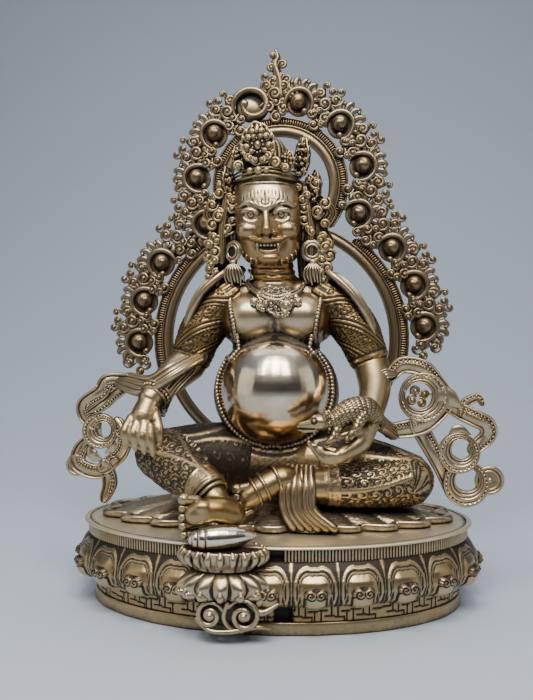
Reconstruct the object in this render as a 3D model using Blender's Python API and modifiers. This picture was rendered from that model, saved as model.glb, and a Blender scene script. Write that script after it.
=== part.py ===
"""A seated pot-bellied wealth deity in cast, silvered metal, on an oval lotus base with an openwork aureole.

Metres, +Z up, the figure faces -Y. The origin is the middle of the base's flat underside.
The pieces are the lotus base, the small lotus and conch under the hanging foot, the figure,
two scarf ends and the aureole that stands behind them all.
"""

import math

import bmesh
import bpy
import numpy as np
from mathutils import Matrix, Vector

# Gap between two pieces that touch
SEAT_GAP = 0.0003

# Lotus base: an oval, measured at its top edge
BASE_WIDTH = 0.230
BASE_DEPTH = 0.132
BASE_HEIGHT = 0.048
FOOT_RIM_HEIGHT = 0.0075
FOOT_RIM_SETBACK = 0.0095
FRET_BAND_HEIGHT = 0.0085
FRET_BAND_SETBACK = 0.0105
STAMEN_BAND_HEIGHT = 0.0085
STAMEN_SETBACK = 0.0020
PETAL_COUNT = 24
PETAL_BULGE = 0.0052
PETAL_GROOVE = 0.0034

# Small lotus that carries the hanging foot
FOOT_LOTUS_WIDTH = 0.047
FOOT_LOTUS_DEPTH = 0.026
FOOT_LOTUS_HEIGHT = 0.0245
FOOT_LOTUS_X = -0.0225
FOOT_LOTUS_PETALS = 14
SCROLL_RADIUS = 0.0085
CONCH_LENGTH = 0.035
CONCH_RADIUS = 0.0066

# Figure, from the base's top to the tip of the crown
FIGURE_HEIGHT = 0.232

# Aureole: a head ring and a body ring inside a border of scrolls and bosses
AUREOLE_STANDOFF = 0.0090
AUREOLE_THICKNESS = 0.0042
BODY_RING_RADIUS = 0.0793
BODY_RING_LIFT = 0.0257
HEAD_RING_RADIUS = 0.0392
RING_OVERLAP = 0.0155
RING_WIDTH = 0.0068
RING_THICKNESS = 0.0056
RIB_BAND_WIDTH = 0.0055
BODY_BOSSES = 3
BODY_BOSS_STEP = 17.0
HEAD_BOSSES = 8
HEAD_BOSS_STEP = 32.6
BORDER_TURN = 3.2
BOSS_RADIUS = 0.0132
CURL_RADIUS = 0.0054
FINIAL_HEIGHT = 0.0300
STAND_WIDTH = 0.062

# Scarf ends
SCARF_WIDTH = 0.0085
SCARF_THICKNESS = 0.0028

# Worked out from the sizes above
BASE_TOP = BASE_HEIGHT
PART = FIGURE_HEIGHT / 232

# On the figure's grid of parts
SEAT_HALF_WIDTH = 102.0
SEAT_HALF_DEPTH = 41.0
HEAD_X = -4.2
SCARF_BEHIND = -11.0
ELBOW_LEFT = 88.0
ELBOW_RIGHT = 68.5

AUREOLE_Y = SEAT_HALF_DEPTH * PART + AUREOLE_STANDOFF
BODY_RING_Z = BASE_TOP + BODY_RING_LIFT + BODY_RING_RADIUS
HEAD_RING_Z = BODY_RING_Z + BODY_RING_RADIUS + HEAD_RING_RADIUS - RING_OVERLAP

FIGURE_VOXEL = FIGURE_HEIGHT / 260
FIGURE_KEPT_SHARE = 0.0083
AUREOLE_KEPT_SHARE = 0.53
SCARF_KEPT_SHARE = 0.58

# Metal colours: linear base colour, roughness
SILVERED = ((0.62, 0.56, 0.44), 0.30)
AGED = ((0.50, 0.42, 0.29), 0.38)


def clear_scene():
    """Removes every object that Blender opens with."""
    for obj in list(bpy.data.objects):
        bpy.data.objects.remove(obj, do_unlink=True)


def make_collection(name, hidden=False):
    collection = bpy.data.collections.new(name)
    collection.hide_render = hidden
    bpy.context.scene.collection.children.link(collection)
    return collection


def metal(name, look):
    """A plain metal in the part's colour."""
    colour, roughness = look
    material = bpy.data.materials.new(name)
    material.use_nodes = True
    shader = material.node_tree.nodes["Principled BSDF"]
    shader.inputs["Base Color"].default_value = (*colour, 1.0)
    shader.inputs["Roughness"].default_value = roughness
    shader.inputs["Metallic"].default_value = 1.0
    return material


# Shapes


def mesh_object(name, points, faces):
    mesh = bpy.data.meshes.new(name)
    mesh.from_pydata([tuple(p) for p in points], [], faces)
    mesh.update()
    obj = bpy.data.objects.new(name, mesh)
    bpy.context.scene.collection.objects.link(obj)
    return obj


def loft(name, rings):
    """A closed solid through rings that have the same number of points, with flat ends."""
    count = len(rings[0])
    points = [point for ring in rings for point in ring]
    faces = []
    for row in range(len(rings) - 1):
        for col in range(count):
            after = (col + 1) % count
            faces.append(
                (
                    row * count + col,
                    row * count + after,
                    (row + 1) * count + after,
                    (row + 1) * count + col,
                )
            )
    last = (len(rings) - 1) * count
    faces.append(tuple(reversed(range(count))))
    faces.append(tuple(last + col for col in range(count)))
    obj = mesh_object(name, points, faces)
    face_outwards(obj)
    return obj


def face_outwards(obj):
    work = bmesh.new()
    work.from_mesh(obj.data)
    bmesh.ops.recalc_face_normals(work, faces=work.faces)
    work.to_mesh(obj.data)
    work.free()


def ball(centre, radii, turn=None, segments=16, rings=10):
    """An ellipsoid; turn is a rotation matrix."""
    work = bmesh.new()
    bmesh.ops.create_uvsphere(work, u_segments=segments, v_segments=rings, radius=1.0)
    mesh = bpy.data.meshes.new("ball")
    work.to_mesh(mesh)
    work.free()
    obj = bpy.data.objects.new("ball", mesh)
    bpy.context.scene.collection.objects.link(obj)
    place = Matrix.Translation(centre) @ (turn or Matrix()).to_4x4()
    mesh.transform(place @ Matrix.Diagonal((*radii, 1.0)))
    return obj


def disc(centre, radius, thickness, sides=12, turn=0.0):
    """A flat round plate that faces the front."""
    work = bmesh.new()
    bmesh.ops.create_cone(
        work, cap_ends=True, segments=sides, radius1=radius, radius2=radius, depth=thickness
    )
    mesh = bpy.data.meshes.new("disc")
    work.to_mesh(mesh)
    work.free()
    obj = bpy.data.objects.new("disc", mesh)
    bpy.context.scene.collection.objects.link(obj)
    upright = Matrix.Rotation(math.radians(90), 4, "X") @ Matrix.Rotation(turn, 4, "Z")
    mesh.transform(Matrix.Translation(centre) @ upright)
    return obj


def tube(points, radii, sides=3, cyclic=False):
    """A round bar through the points, as thick as each point's radius says."""
    curve = bpy.data.curves.new("tube", "CURVE")
    curve.dimensions = "3D"
    curve.bevel_depth = 1.0
    curve.bevel_resolution = sides - 2
    curve.use_fill_caps = True
    spline = curve.splines.new("POLY")
    spline.points.add(len(points) - 1)
    for spline_point, point, radius in zip(spline.points, points, radii):
        spline_point.co = (*point, 1.0)
        spline_point.radius = radius
    spline.use_cyclic_u = cyclic
    guide = bpy.data.objects.new("tube", curve)
    bpy.context.scene.collection.objects.link(guide)
    return made_mesh(guide)


def made_mesh(obj):
    """The object as a plain mesh with its modifiers applied and its doubles merged."""
    bpy.context.view_layer.update()
    graph = bpy.context.evaluated_depsgraph_get()
    mesh = bpy.data.meshes.new_from_object(obj.evaluated_get(graph))
    mesh.transform(obj.matrix_world)
    work = bmesh.new()
    work.from_mesh(mesh)
    bmesh.ops.remove_doubles(work, verts=work.verts, dist=1e-6)
    bmesh.ops.recalc_face_normals(work, faces=work.faces)
    work.to_mesh(mesh)
    work.free()
    name = obj.name
    bpy.data.objects.remove(obj, do_unlink=True)
    result = bpy.data.objects.new(name, mesh)
    bpy.context.scene.collection.objects.link(result)
    return result


def smooth_path(points, steps):
    """Points on a smooth curve through the given points."""
    given = [Vector(p) for p in points]
    ends = [given[0] * 2 - given[1], *given, given[-1] * 2 - given[-2]]
    path = []
    for i in range(1, len(ends) - 2):
        p0, p1, p2, p3 = ends[i - 1 : i + 3]
        for step in range(steps):
            t = step / steps
            path.append(
                0.5
                * (
                    2 * p1
                    + (p2 - p0) * t
                    + (2 * p0 - 5 * p1 + 4 * p2 - p3) * t**2
                    + (3 * p1 - p0 - 3 * p2 + p3) * t**3
                )
            )
    path.append(given[-1])
    return path


def ribbon(name, points, width, thickness, steps=3, taper=1.0, face=(0, -1, 0)):
    """A flat band whose broad side faces the given way, with a rounded six-sided section."""
    path = smooth_path(points, steps)
    outward = Vector(face).normalized()
    rings = []
    for i, point in enumerate(path):
        ahead = path[min(i + 1, len(path) - 1)] - path[max(i - 1, 0)]
        across = ahead.cross(outward).normalized()
        share = i / (len(path) - 1)
        half = width / 2 * (1 + (taper - 1) * share)
        deep = thickness / 2
        section = ((-1, 0), (-0.6, 1), (0.6, 1), (1, 0), (0.6, -1), (-0.6, -1))
        rings.append([point + across * (half * u) + outward * (deep * v) for u, v in section])
    return loft(name, rings)


def join(name, objects):
    """One object that holds the meshes of all the given ones, still overlapping."""
    work = bmesh.new()
    for obj in objects:
        work.from_mesh(obj.data)
        bpy.data.objects.remove(obj, do_unlink=True)
    mesh = bpy.data.meshes.new(name)
    work.to_mesh(mesh)
    work.free()
    obj = bpy.data.objects.new(name, mesh)
    bpy.context.scene.collection.objects.link(obj)
    return obj


def unite(name, objects):
    """One solid from overlapping closed solids."""
    first, rest = objects[0], objects[1:]
    group = bpy.data.collections.new(name + "_pieces")
    for obj in rest:
        group.objects.link(obj)
    first.name = name
    union = first.modifiers.new("Union", "BOOLEAN")
    union.operation = "UNION"
    union.operand_type = "COLLECTION"
    union.collection = group
    union.solver = "EXACT"
    union.use_self = True
    solid = made_mesh(first)
    for obj in rest:
        bpy.data.objects.remove(obj, do_unlink=True)
    bpy.data.collections.remove(group)
    return solid


def thin_out(obj, kept_share):
    """The solid with flat areas merged and its small facets collapsed to the share that is kept."""
    flat = obj.modifiers.new("Merge flats", "DECIMATE")
    flat.decimate_type = "DISSOLVE"
    flat.angle_limit = math.radians(2)
    facets = obj.modifiers.new("Triangulate", "TRIANGULATE")
    facets.quad_method = "BEAUTY"
    fewer = obj.modifiers.new("Collapse", "DECIMATE")
    fewer.ratio = kept_share
    return made_mesh(obj)


def cut(obj, cutter):
    """Takes the cutter out of the object, and keeps the cutter as a hidden helper."""
    difference = obj.modifiers.new("Cut", "BOOLEAN")
    difference.operation = "DIFFERENCE"
    difference.object = cutter
    difference.solver = "EXACT"
    cutter.hide_render = True
    cutter.display_type = "WIRE"
    return obj


def block(name, low, high):
    work = bmesh.new()
    bmesh.ops.create_cube(work, size=1.0)
    mesh = bpy.data.meshes.new(name)
    work.to_mesh(mesh)
    work.free()
    low, high = Vector(low), Vector(high)
    mesh.transform(Matrix.Translation((low + high) / 2) @ Matrix.Diagonal((*(high - low), 1.0)))
    obj = bpy.data.objects.new(name, mesh)
    bpy.context.scene.collection.objects.link(obj)
    return obj


# Lotus base


def oval_stations(count, half_width, half_depth):
    """Points evenly spaced round an oval from its front, each with its outward normal."""
    fine = np.linspace(-math.pi / 2, 3 * math.pi / 2, 2881)
    x, y = half_width * np.cos(fine), half_depth * np.sin(fine)
    length = np.concatenate([[0], np.cumsum(np.hypot(np.diff(x), np.diff(y)))])
    angles = np.interp(np.arange(count) / count * length[-1], length, fine)
    stations = []
    for angle in angles:
        point = Vector((half_width * math.cos(angle), half_depth * math.sin(angle), 0))
        normal = Vector((half_depth * math.cos(angle), half_width * math.sin(angle), 0))
        stations.append((point, normal.normalized()))
    return stations


def petal_relief(across, up):
    """How far a petal stands out, as a share of the groove beside it.

    across runs from 0 at the middle of a petal to 1 at its edge, up from 0 at its foot to 1 at its tip.
    """
    shoulder = 1 - 0.8 * max(0.0, up - 0.55) ** 2 / 0.2
    edge = max(0.0, 1 - (across / max(shoulder, 0.05)) ** 4)
    boss = math.exp(-((across / 0.5) ** 2) - ((up - 0.30) / 0.26) ** 2)
    return edge * (0.75 + 0.9 * boss)


def petal_band():
    """The heights of the petals' feet and tips."""
    return FOOT_RIM_HEIGHT + FRET_BAND_HEIGHT, BASE_HEIGHT - STAMEN_BAND_HEIGHT


def lotus_base():
    """The oval base: foot rim, fret band, a ring of petals, the stamen band and a flat top."""
    columns = 4
    petal_low, petal_high = petal_band()
    stations = oval_stations(PETAL_COUNT * columns, BASE_WIDTH / 2, BASE_DEPTH / 2)
    rows = [
        (-FOOT_RIM_SETBACK, 0.0, None),
        (-FOOT_RIM_SETBACK, FOOT_RIM_HEIGHT, None),
        (-FRET_BAND_SETBACK - 0.001, FOOT_RIM_HEIGHT + 0.0003, None),
        (-FRET_BAND_SETBACK, petal_low, None),
    ]
    for share in (0.06, 0.30, 0.62, 0.90):
        swell = PETAL_BULGE * math.sin(math.pi * (0.25 + 0.62 * (1 - share)))
        rows.append((swell, petal_low + (petal_high - petal_low) * share, share))
    rows += [
        (-STAMEN_SETBACK, petal_high, None),
        (-STAMEN_SETBACK, BASE_HEIGHT - 0.0012, None),
        (0.0, BASE_HEIGHT, None),
    ]
    rings = []
    for offset, height, share in rows:
        ring = []
        for i, (point, normal) in enumerate(stations):
            out = offset
            if share is not None:
                across = abs((i + columns / 2) % columns - columns / 2) / (columns / 2)
                out += PETAL_GROOVE * (petal_relief(across, share) - 1)
            ring.append(point + normal * out + Vector((0, 0, height)))
        rings.append(ring)
    return loft("lotus_base", rings)


# Small lotus under the hanging foot


def half_lotus_ring(centre, half_width, half_depth, height, wave, columns):
    ring = []
    for i in range(FOOT_LOTUS_PETALS * columns):
        angle = 2 * math.pi * i / (FOOT_LOTUS_PETALS * columns)
        lobe = 1 + wave * math.cos(angle * FOOT_LOTUS_PETALS)
        ring.append(
            Vector(
                (
                    centre.x + half_width * lobe * math.cos(angle),
                    centre.y + half_depth * lobe * math.sin(angle),
                    height,
                )
            )
        )
    return ring


def conch_axis():
    """Where the conch lies: its middle and the way its tip points."""
    wall = BASE_DEPTH / 2 * math.sqrt(1 - (FOOT_LOTUS_X / (BASE_WIDTH / 2)) ** 2)
    middle = Vector((FOOT_LOTUS_X, -wall - CONCH_RADIUS * 0.70, BASE_TOP + CONCH_RADIUS * 0.86))
    return middle, Vector((0.97, 0.20, 0.03)).normalized()


def conch_body(name, extra=0.0, sides=10):
    """The conch as a turned spindle with a rounded whorl end and a pointed tip."""
    middle, along = conch_axis()
    profile = ((0.0, 0.30), (0.07, 0.62), (0.20, 0.84), (0.42, 1.0), (0.68, 0.82), (0.88, 0.45), (1.0, 0.10))
    side = along.cross(Vector((0, 0, 1))).normalized()
    lift = side.cross(along).normalized()
    rings = []
    for share, swell in profile:
        length = CONCH_LENGTH + 2 * extra
        centre = middle + along * (length * (share - 0.5))
        radius = CONCH_RADIUS * swell + extra
        ring = []
        for i in range(sides):
            angle = 2 * math.pi * i / sides
            ring.append(centre + side * (radius * math.cos(angle)) + lift * (radius * math.sin(angle)))
        rings.append(ring)
    return loft(name, rings)


def volute(middle, radius, sides=9):
    """A scroll's round end: a raised rim round a boss."""
    profile = ((1.0, 0.6), (1.0, -0.4), (0.80, -0.75), (0.60, -0.40), (0.40, -0.95), (0.10, -1.15))
    rings = []
    for share, out in profile:
        ring = []
        for i in range(sides):
            angle = 2 * math.pi * i / sides
            away = Vector((math.cos(angle), 0, math.sin(angle)))
            ring.append(middle + away * (radius * share) + Vector((0, radius * 0.5 * out, 0)))
        rings.append(ring)
    return loft("volute", rings)


def foot_lotus(cutters):
    """A little double lotus on a scrolled stem, held against the front of the base, with the conch on it."""
    wall = BASE_DEPTH / 2 * math.sqrt(1 - (FOOT_LOTUS_X / (BASE_WIDTH / 2)) ** 2)
    centre = Vector((FOOT_LOTUS_X, -wall - PETAL_BULGE * 0.4, 0))
    half_width, half_depth = FOOT_LOTUS_WIDTH / 2, FOOT_LOTUS_DEPTH / 2
    foot = BASE_TOP - FOOT_LOTUS_HEIGHT
    levels = (
        (0.00, 0.52, 0.04),
        (0.14, 0.96, 0.06),
        (0.34, 0.98, 0.07),
        (0.54, 0.72, 0.03),
        (0.72, 0.86, 0.06),
        (0.97, 0.92, 0.05),
        (1.00, 0.84, 0.00),
    )
    rings = [
        half_lotus_ring(
            centre, half_width * size, half_depth * size, foot + FOOT_LOTUS_HEIGHT * share, wave, 2
        )
        for share, size, wave in levels
    ]
    cup = loft("foot_lotus", rings)
    pieces = [cup, conch_body("conch")]
    stem_y = -wall - PETAL_BULGE - SCROLL_RADIUS * 0.36
    scroll_z = foot - SCROLL_RADIUS * 0.95
    for shift, radius in ((-1.05, SCROLL_RADIUS * 0.85), (0.95, SCROLL_RADIUS * 1.1)):
        middle = Vector((centre.x + (0.35 + shift) * SCROLL_RADIUS, stem_y, scroll_z))
        pieces.append(volute(middle, radius))
    bud = (
        (centre.x + half_width * 0.4, stem_y, foot + SCROLL_RADIUS * 0.35),
        (centre.x + half_width * 1.0, stem_y, foot - SCROLL_RADIUS * 0.24),
        (centre.x + half_width * 1.25, stem_y, foot + SCROLL_RADIUS * 0.47),
    )
    bud_sizes = [SCROLL_RADIUS * share for share in (0.35, 0.40, 0.42, 0.40, 0.26)]
    pieces.append(tube(smooth_path(bud, 2), bud_sizes))
    back = -wall + PETAL_BULGE + half_depth
    stem_low = (centre.x - SCROLL_RADIUS * 0.7, stem_y - SCROLL_RADIUS * 0.14, scroll_z - SCROLL_RADIUS * 0.7)
    stem_high = (centre.x + SCROLL_RADIUS * 1.2, back, foot + SCROLL_RADIUS * 0.47)
    pieces.append(block("stem", stem_low, stem_high))
    solid = thin_out(unite("foot_lotus", pieces), 0.7)
    petal_low, petal_high = petal_band()
    petal_reach = PETAL_BULGE + PETAL_GROOVE * 0.65
    outline = (
        (-FOOT_RIM_SETBACK, -0.010),
        (-FOOT_RIM_SETBACK, FOOT_RIM_HEIGHT + SEAT_GAP),
        (-FRET_BAND_SETBACK, FOOT_RIM_HEIGHT + 2 * SEAT_GAP),
        (-FRET_BAND_SETBACK, petal_low - 2 * SEAT_GAP),
        (petal_reach, petal_low - SEAT_GAP),
        (petal_reach, petal_high + SEAT_GAP),
        (0.0, petal_high + 2 * SEAT_GAP),
        (0.0, BASE_TOP + SEAT_GAP),
    )
    stations = oval_stations(96, BASE_WIDTH / 2, BASE_DEPTH / 2)
    rings = []
    for offset, height in outline:
        lift = Vector((0, 0, height))
        rings.append([point + normal * (offset + SEAT_GAP) + lift for point, normal in stations])
    cutter = loft("base_clearance", rings)
    cutters.objects.link(cutter)
    return cut(solid, cutter)


# Figure


def fig(x, y, z):
    """A point on the figure. It is drawn on a grid of 232 parts from the base's top to the crown's tip."""
    return Vector((x * PART, y * PART, z * PART + BASE_TOP + SEAT_GAP))


def parts(*sizes):
    return tuple(size * PART for size in sizes)


def blob(centre, radii, tilt=(0, 0, 0)):
    turn = (
        Matrix.Rotation(math.radians(tilt[2]), 3, "Z")
        @ Matrix.Rotation(math.radians(tilt[1]), 3, "Y")
        @ Matrix.Rotation(math.radians(tilt[0]), 3, "X")
    )
    return ball(fig(*centre), parts(*radii), turn)


def limb(points, radii, steps=4):
    """A tapering limb through grid points, with a rounded end at each side."""
    path = smooth_path([fig(*p) for p in points], steps)
    shares = np.linspace(0, len(points) - 1, len(path))
    sizes = np.interp(shares, range(len(points)), radii) * PART
    ends = [
        ball(path[0], (sizes[0],) * 3, segments=12, rings=8),
        ball(path[-1], (sizes[-1],) * 3, segments=12, rings=8),
    ]
    return [tube(path, sizes, sides=5), *ends]


def band(points, width, thickness, face=(0, -1, 0), steps=4, taper=1.0):
    return ribbon("band", [fig(*p) for p in points], *parts(width, thickness), steps, taper, face)


def torso():
    """Pot belly, breasts, shoulders, back, neck and the beaded edge of the open vest."""
    pieces = [
        blob((0.5, -6, 75.5), (33, 33, 33)),
        blob((0.5, 0, 73), (37, 28, 35)),
        blob((-14, -7, 120), (18, 14, 13), (-8, 0, 0)),
        blob((15, -7, 120), (18, 14, 13), (-8, 0, 0)),
        blob((0.5, 3, 117), (34, 18, 19)),
        blob((0.5, 5, 133), (35, 14, 10)),
        blob((0, 6, 100), (26, 19, 22)),
        blob((0, 8, 30), (46, 27, 26)),
    ]
    pieces += limb(((0, 1, 132), (-2.5, -1, 150)), (15, 13))
    edge = (
        (-27, -14, 137),
        (-25, -18.5, 124),
        (-22.5, -18.5, 108),
        (-27, -18.5, 96),
        (-33, -18, 82),
        (-33.5, -19, 67),
        (-26, -25, 50),
        (-13, -30, 41.5),
        (2, -31, 39.5),
        (18, -29, 43.5),
        (30, -23, 56),
        (34, -18, 73),
        (32, -17.5, 86),
        (25, -18.5, 98),
        (23.5, -18.5, 108),
        (26, -18.5, 124),
        (28, -14, 137),
    )
    pieces += limb(edge, [2.0] * len(edge), steps=3)
    return pieces


def necklace():
    line = ((-18, -13, 141), (-10, -19, 134), (0.5, -21, 129), (11, -19, 134), (19, -13, 141))
    pieces = limb(line, [1.9] * 5)
    pieces.append(blob((0.5, -20.5, 128), (11, 3.2, 7)))
    pieces.append(blob((0.5, -21.5, 121), (5, 2.8, 5)))
    return pieces


def head_shell():
    """The block of the head: levels of height, half width, half depth and distance behind the axis."""
    levels = (
        (149.0, 7.0, 7.0, -9.0),
        (151.5, 12.0, 11.0, -6.5),
        (157.0, 16.0, 15.0, -4.0),
        (165.0, 18.8, 17.5, -2.0),
        (174.0, 20.0, 19.0, -0.5),
        (184.0, 20.5, 19.5, 0.0),
        (192.0, 20.3, 18.5, 1.0),
        (199.0, 18.5, 16.5, 2.0),
        (204.0, 12.0, 11.0, 3.0),
    )
    rings = []
    for height, wide, deep, back in levels:
        ring = []
        for i in range(28):
            angle = 2 * math.pi * i / 28
            across, along = math.cos(angle), math.sin(angle)
            x = HEAD_X + wide * math.copysign(abs(across) ** 0.75, across) - 0.06 * (height - 175)
            ring.append(fig(x, back + deep * math.copysign(abs(along) ** 0.75, along), height))
        rings.append(ring)
    return loft("head", rings)


def head():
    """The large head, tipped a little to its own right, with the fierce mask that such a deity wears."""
    x = HEAD_X
    pieces = [
        head_shell(),
        blob((x, -20.5, 170), (3.0, 4.0, 6.5)),
        blob((x, -20.5, 165.5), (6.4, 4.0, 3.2)),
        blob((x, -17.5, 154.0), (8.5, 3.6, 3.0)),
        blob((x, -17.5, 160.5), (10.5, 3.4, 2.0)),
    ]
    for side in (-1, 1):
        pieces.append(blob((x + side * 9.0, -18.3, 175.5), (4.6, 3.6, 3.4)))
        pieces.append(blob((x + side * 10.5, -17.4, 164.5), (7.2, 3.6, 5.2)))
        brow = ((x + side * 2, -20.6, 177), (x + side * 9, -19.8, 182.5), (x + side * 16, -15, 184.5))
        pieces += limb(brow, (2.4, 3.0, 2.0))
        ear = (x + side * 21, 0, 168)
        pieces.append(blob(ear, (2.8, 5.5, 12)))
        earring = (x + side * 23.5 + 2.2, -6, 157)
        pieces.append(blob(earring, (6.4, 2.6, 6.4), (0, 0, -35 if side < 0 else 0)))
        pieces.append(blob((x + side * 25.5 + 1.5, -8, 142), (5.0, 4.5, 8.5)))
    return pieces


def crown():
    """Crown band, leaves, hair bun and the ribbons and locks at each side of the head."""
    x = HEAD_X - 1
    line = ((x - 19, 0, 200), (x - 13, -12.5, 200), (x, -18, 201), (x + 13, -12.5, 200), (x + 19, 0, 200))
    pieces = limb(line, [2.6] * 5)
    pieces.append(blob((x - 1, 3, 211), (15.0, 12, 18)))
    pieces.append(blob((x - 3.5, -9, 213), (8, 8, 11)))
    pieces.append(blob((x + 1, 6, 196), (21, 17, 13)))
    leaves = (
        (-9.2, -16, 217, 10.5, 12.5, 0, -4),
        (-20.5, -10, 210, 5.5, 8, 40, -24),
        (7.5, -12, 208, 6.0, 6.5, -30, 18),
        (16.5, -8, 211, 7.0, 12.5, -50, 8),
        (23.5, -3, 194, 6.5, 10.5, -60, 16),
        (-28.0, -3, 197, 6.5, 10.5, 60, -20),
    )
    for leaf_x, y, z, wide, tall, turn, lean in leaves:
        pieces.append(blob((leaf_x, y, z), (wide, 3.2, tall), (0, lean, turn)))
        heart = (leaf_x, y - 1.8, z - tall * 0.2)
        pieces.append(blob(heart, (wide * 0.5, 3.4, tall * 0.45), (0, lean, turn)))
    for side in (-1, 1):
        loop = (
            (x + side * 21, 3, 192),
            (x + side * 30 + 1.5, 1, 186),
            (x + side * 36 + 1.5, 1, 180),
            (x + side * 30 + 1.5, 2, 171),
            (x + side * 35 + 1.5, 3, 162),
            (x + side * 30, 4, 152),
            (x + side * 34 + 1.5, 2, 142),
            (x + side * 30 + 1.5, -2, 134),
        )
        pieces += limb(loop, (4, 4.6, 4.2, 4.8, 4.4, 5.0, 4.2, 3.4))
        lock = ((x + side * 20, 4, 190), (x + side * 24, 4, 170), (x + side * 25, 2, 145))
        pieces += limb(lock, (7, 6.5, 4.5))
    return pieces


def finger(points, radius):
    return limb(points, [radius, radius * 0.95, radius * 0.8][: len(points)], steps=3)


def resting_arm():
    """The arm whose hand lies on the raised knee with a lemon in it, at the viewer's left."""
    pieces = limb(
        ((-28, 4, 130), (-37, 3, 122), (-46, 0, 107), (-52, -3, 91)),
        (13, 13.5, 12.5, 11),
    )
    pieces += limb(((-52, -3, 91), (-61, -14, 82), (-70, -27, 72)), (11, 9.6, 7.0))
    pieces += limb(((-70, -27, 71), (-72.5, -33, 62)), (6.2, 7.2))
    pieces.append(blob((-74, -35, 52), (6, 6, 7)))
    for step in range(4):
        across = -78.5 + 3.9 * step
        knuckle = (across, -36 - 1.2 * step, 62 - 1.5 * step)
        middle = (across - 2.2 + step, -42, 55 - 1.6 * step)
        tip = (across - 1.2 + 1.2 * step, -41, 47 - 1.6 * step)
        pieces += finger((knuckle, middle, tip), 2.5)
    pieces += finger(((-66, -31, 65), (-62.5, -37, 56), (-62, -38, 47)), 2.7)
    cuff = [fig(-50.5, -3, 96), fig(-54, -3, 88)]
    pieces.append(tube(cuff, parts(12, 12), sides=5))
    bangle = [fig(-66.5, -22, 75.5), fig(-69, -25.5, 72)]
    pieces.append(tube(bangle, parts(8.6, 8.6), sides=5))
    return pieces


def holding_arm():
    """The arm whose hand holds the mongoose, at the viewer's right."""
    pieces = limb(
        ((29, 4, 130), (40, 3, 122), (50, 0, 107), (57, -2, 90)),
        (13, 13.5, 12.5, 10.5),
    )
    pieces += limb(((57, -2, 90), (58, -14, 77), (54, -29, 63)), (10.5, 9.2, 7.4))
    pieces += limb(((54, -29, 62), (48, -36, 50), (38, -44, 44)), (6.6, 6.5, 4.2))
    for step in range(3):
        start = (46 - 2 * step, -38 - 2 * step, 47 - 2.5 * step)
        bend = (36 - 3 * step, -46, 43.5 - 1.2 * step)
        tip = (28 - 3.5 * step, -45, 46.5 + 1.6 * step)
        pieces += finger((start, bend, tip), 2.3)
    pieces += finger(((53, -34, 57), (46, -44, 56), (37, -46, 54)), 2.6)
    cuff = [fig(53.5, -1, 97), fig(57, -2, 88)]
    pieces.append(tube(cuff, parts(12, 12), sides=5))
    return pieces


def mongoose():
    """The jewel-spitting mongoose: a humped body over the hand and its head across the belly."""
    pieces = limb(
        ((54, -38, 60), (47, -41, 66), (38, -42, 62), (30, -42, 57), (24, -41, 59), (17, -39.5, 61)),
        (5.5, 8.6, 6.8, 4.6, 4.6, 2.6),
    )
    pieces.append(blob((27, -41, 63.5), (1.4, 1.6, 1.8)))
    pieces += limb(((36, -43, 58), (34, -46, 52), (30, -47, 48)), (3, 2.2, 1.8))
    return pieces


def hanging_leg():
    """The leg whose foot hangs down to the conch, at the viewer's left."""
    pieces = limb(((-20, 4, 32), (-45, -8, 36), (-65, -22, 39)), (23, 19, 14))
    pieces += limb(((-65, -23, 40), (-50, -38, 33), (-33, -53, 27)), (14, 13, 9.5))
    pieces += limb(((-33, -54, 27), (-27, -59, 21)), (7.5, 7))
    pieces += limb(((-19.5, -62, 16.5), (-28, -66, 17), (-38, -68.5, 17.5)), (7.2, 7, 6.4))
    for step in range(5):
        reach = 1.6 * math.sin(math.pi * (step + 1) / 6)
        size = 3.1 if step == 0 else 2.3
        pieces += finger(
            (
                (-37, -66.5 + 0.6 * step, 23.5 - 3.4 * step),
                (-42.5 - reach, -68 + 0.6 * step, 22.8 - 3.4 * step),
            ),
            size,
        )
    cuff = [fig(-34.5, -52, 27.5), fig(-31, -55.5, 25.5)]
    pieces.append(tube(cuff, parts(10.5, 10.5), sides=5))
    return pieces


def folded_leg():
    """The leg that lies folded along the seat, at the viewer's right, with its skirt folds."""
    pieces = limb(((22, 2, 30), (52, -4, 28), (76, -9, 25)), (23, 19, 14.5))
    pieces += limb(((77, -11, 24), (52, -20, 23), (20, -27, 23)), (14.5, 12.5, 10))
    pieces += limb(((16, -28, 25), (6, -32, 29), (-4, -36, 25), (-13, -39, 20)), (6.5, 7.5, 6.4, 4.6))
    for step in range(4):
        pieces += finger(((-12, -38, 24 - 2.6 * step), (-18.5, -40, 21.5 - 2.4 * step)), 2.2)
    for step in range(4):
        x = 12 + 5.2 * step
        pieces += limb(
            ((x, -29 - 1.2 * step, 32), (x - 2, -36 - 0.6 * step, 20), (x + 3 + step, -38, 6)),
            (3.2, 3.4, 3.4),
        )
    return pieces


def seat_cloth():
    """The spread skirt that the figure sits on, with its lobed edge flat on the base."""
    lobes, columns = 15, 6
    half_width, half_depth = SEAT_HALF_WIDTH, SEAT_HALF_DEPTH
    rings = []
    for size, height in ((1.0, -4.0), (1.0, 2.2), (0.93, 3.6), (0.76, 8.5), (0.55, 12.5)):
        ring = []
        for i in range(lobes * columns):
            angle = 2 * math.pi * i / (lobes * columns)
            scallop = 1 - 0.065 * (1 - abs(math.sin(angle * lobes / 2))) * (1 if size > 0.9 else 0.3)
            ring.append(
                fig(
                    half_width * size * scallop * math.cos(angle),
                    half_depth * size * scallop * math.sin(angle),
                    height,
                )
            )
        rings.append(ring)
    return [loft("cloth", rings)]


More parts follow.
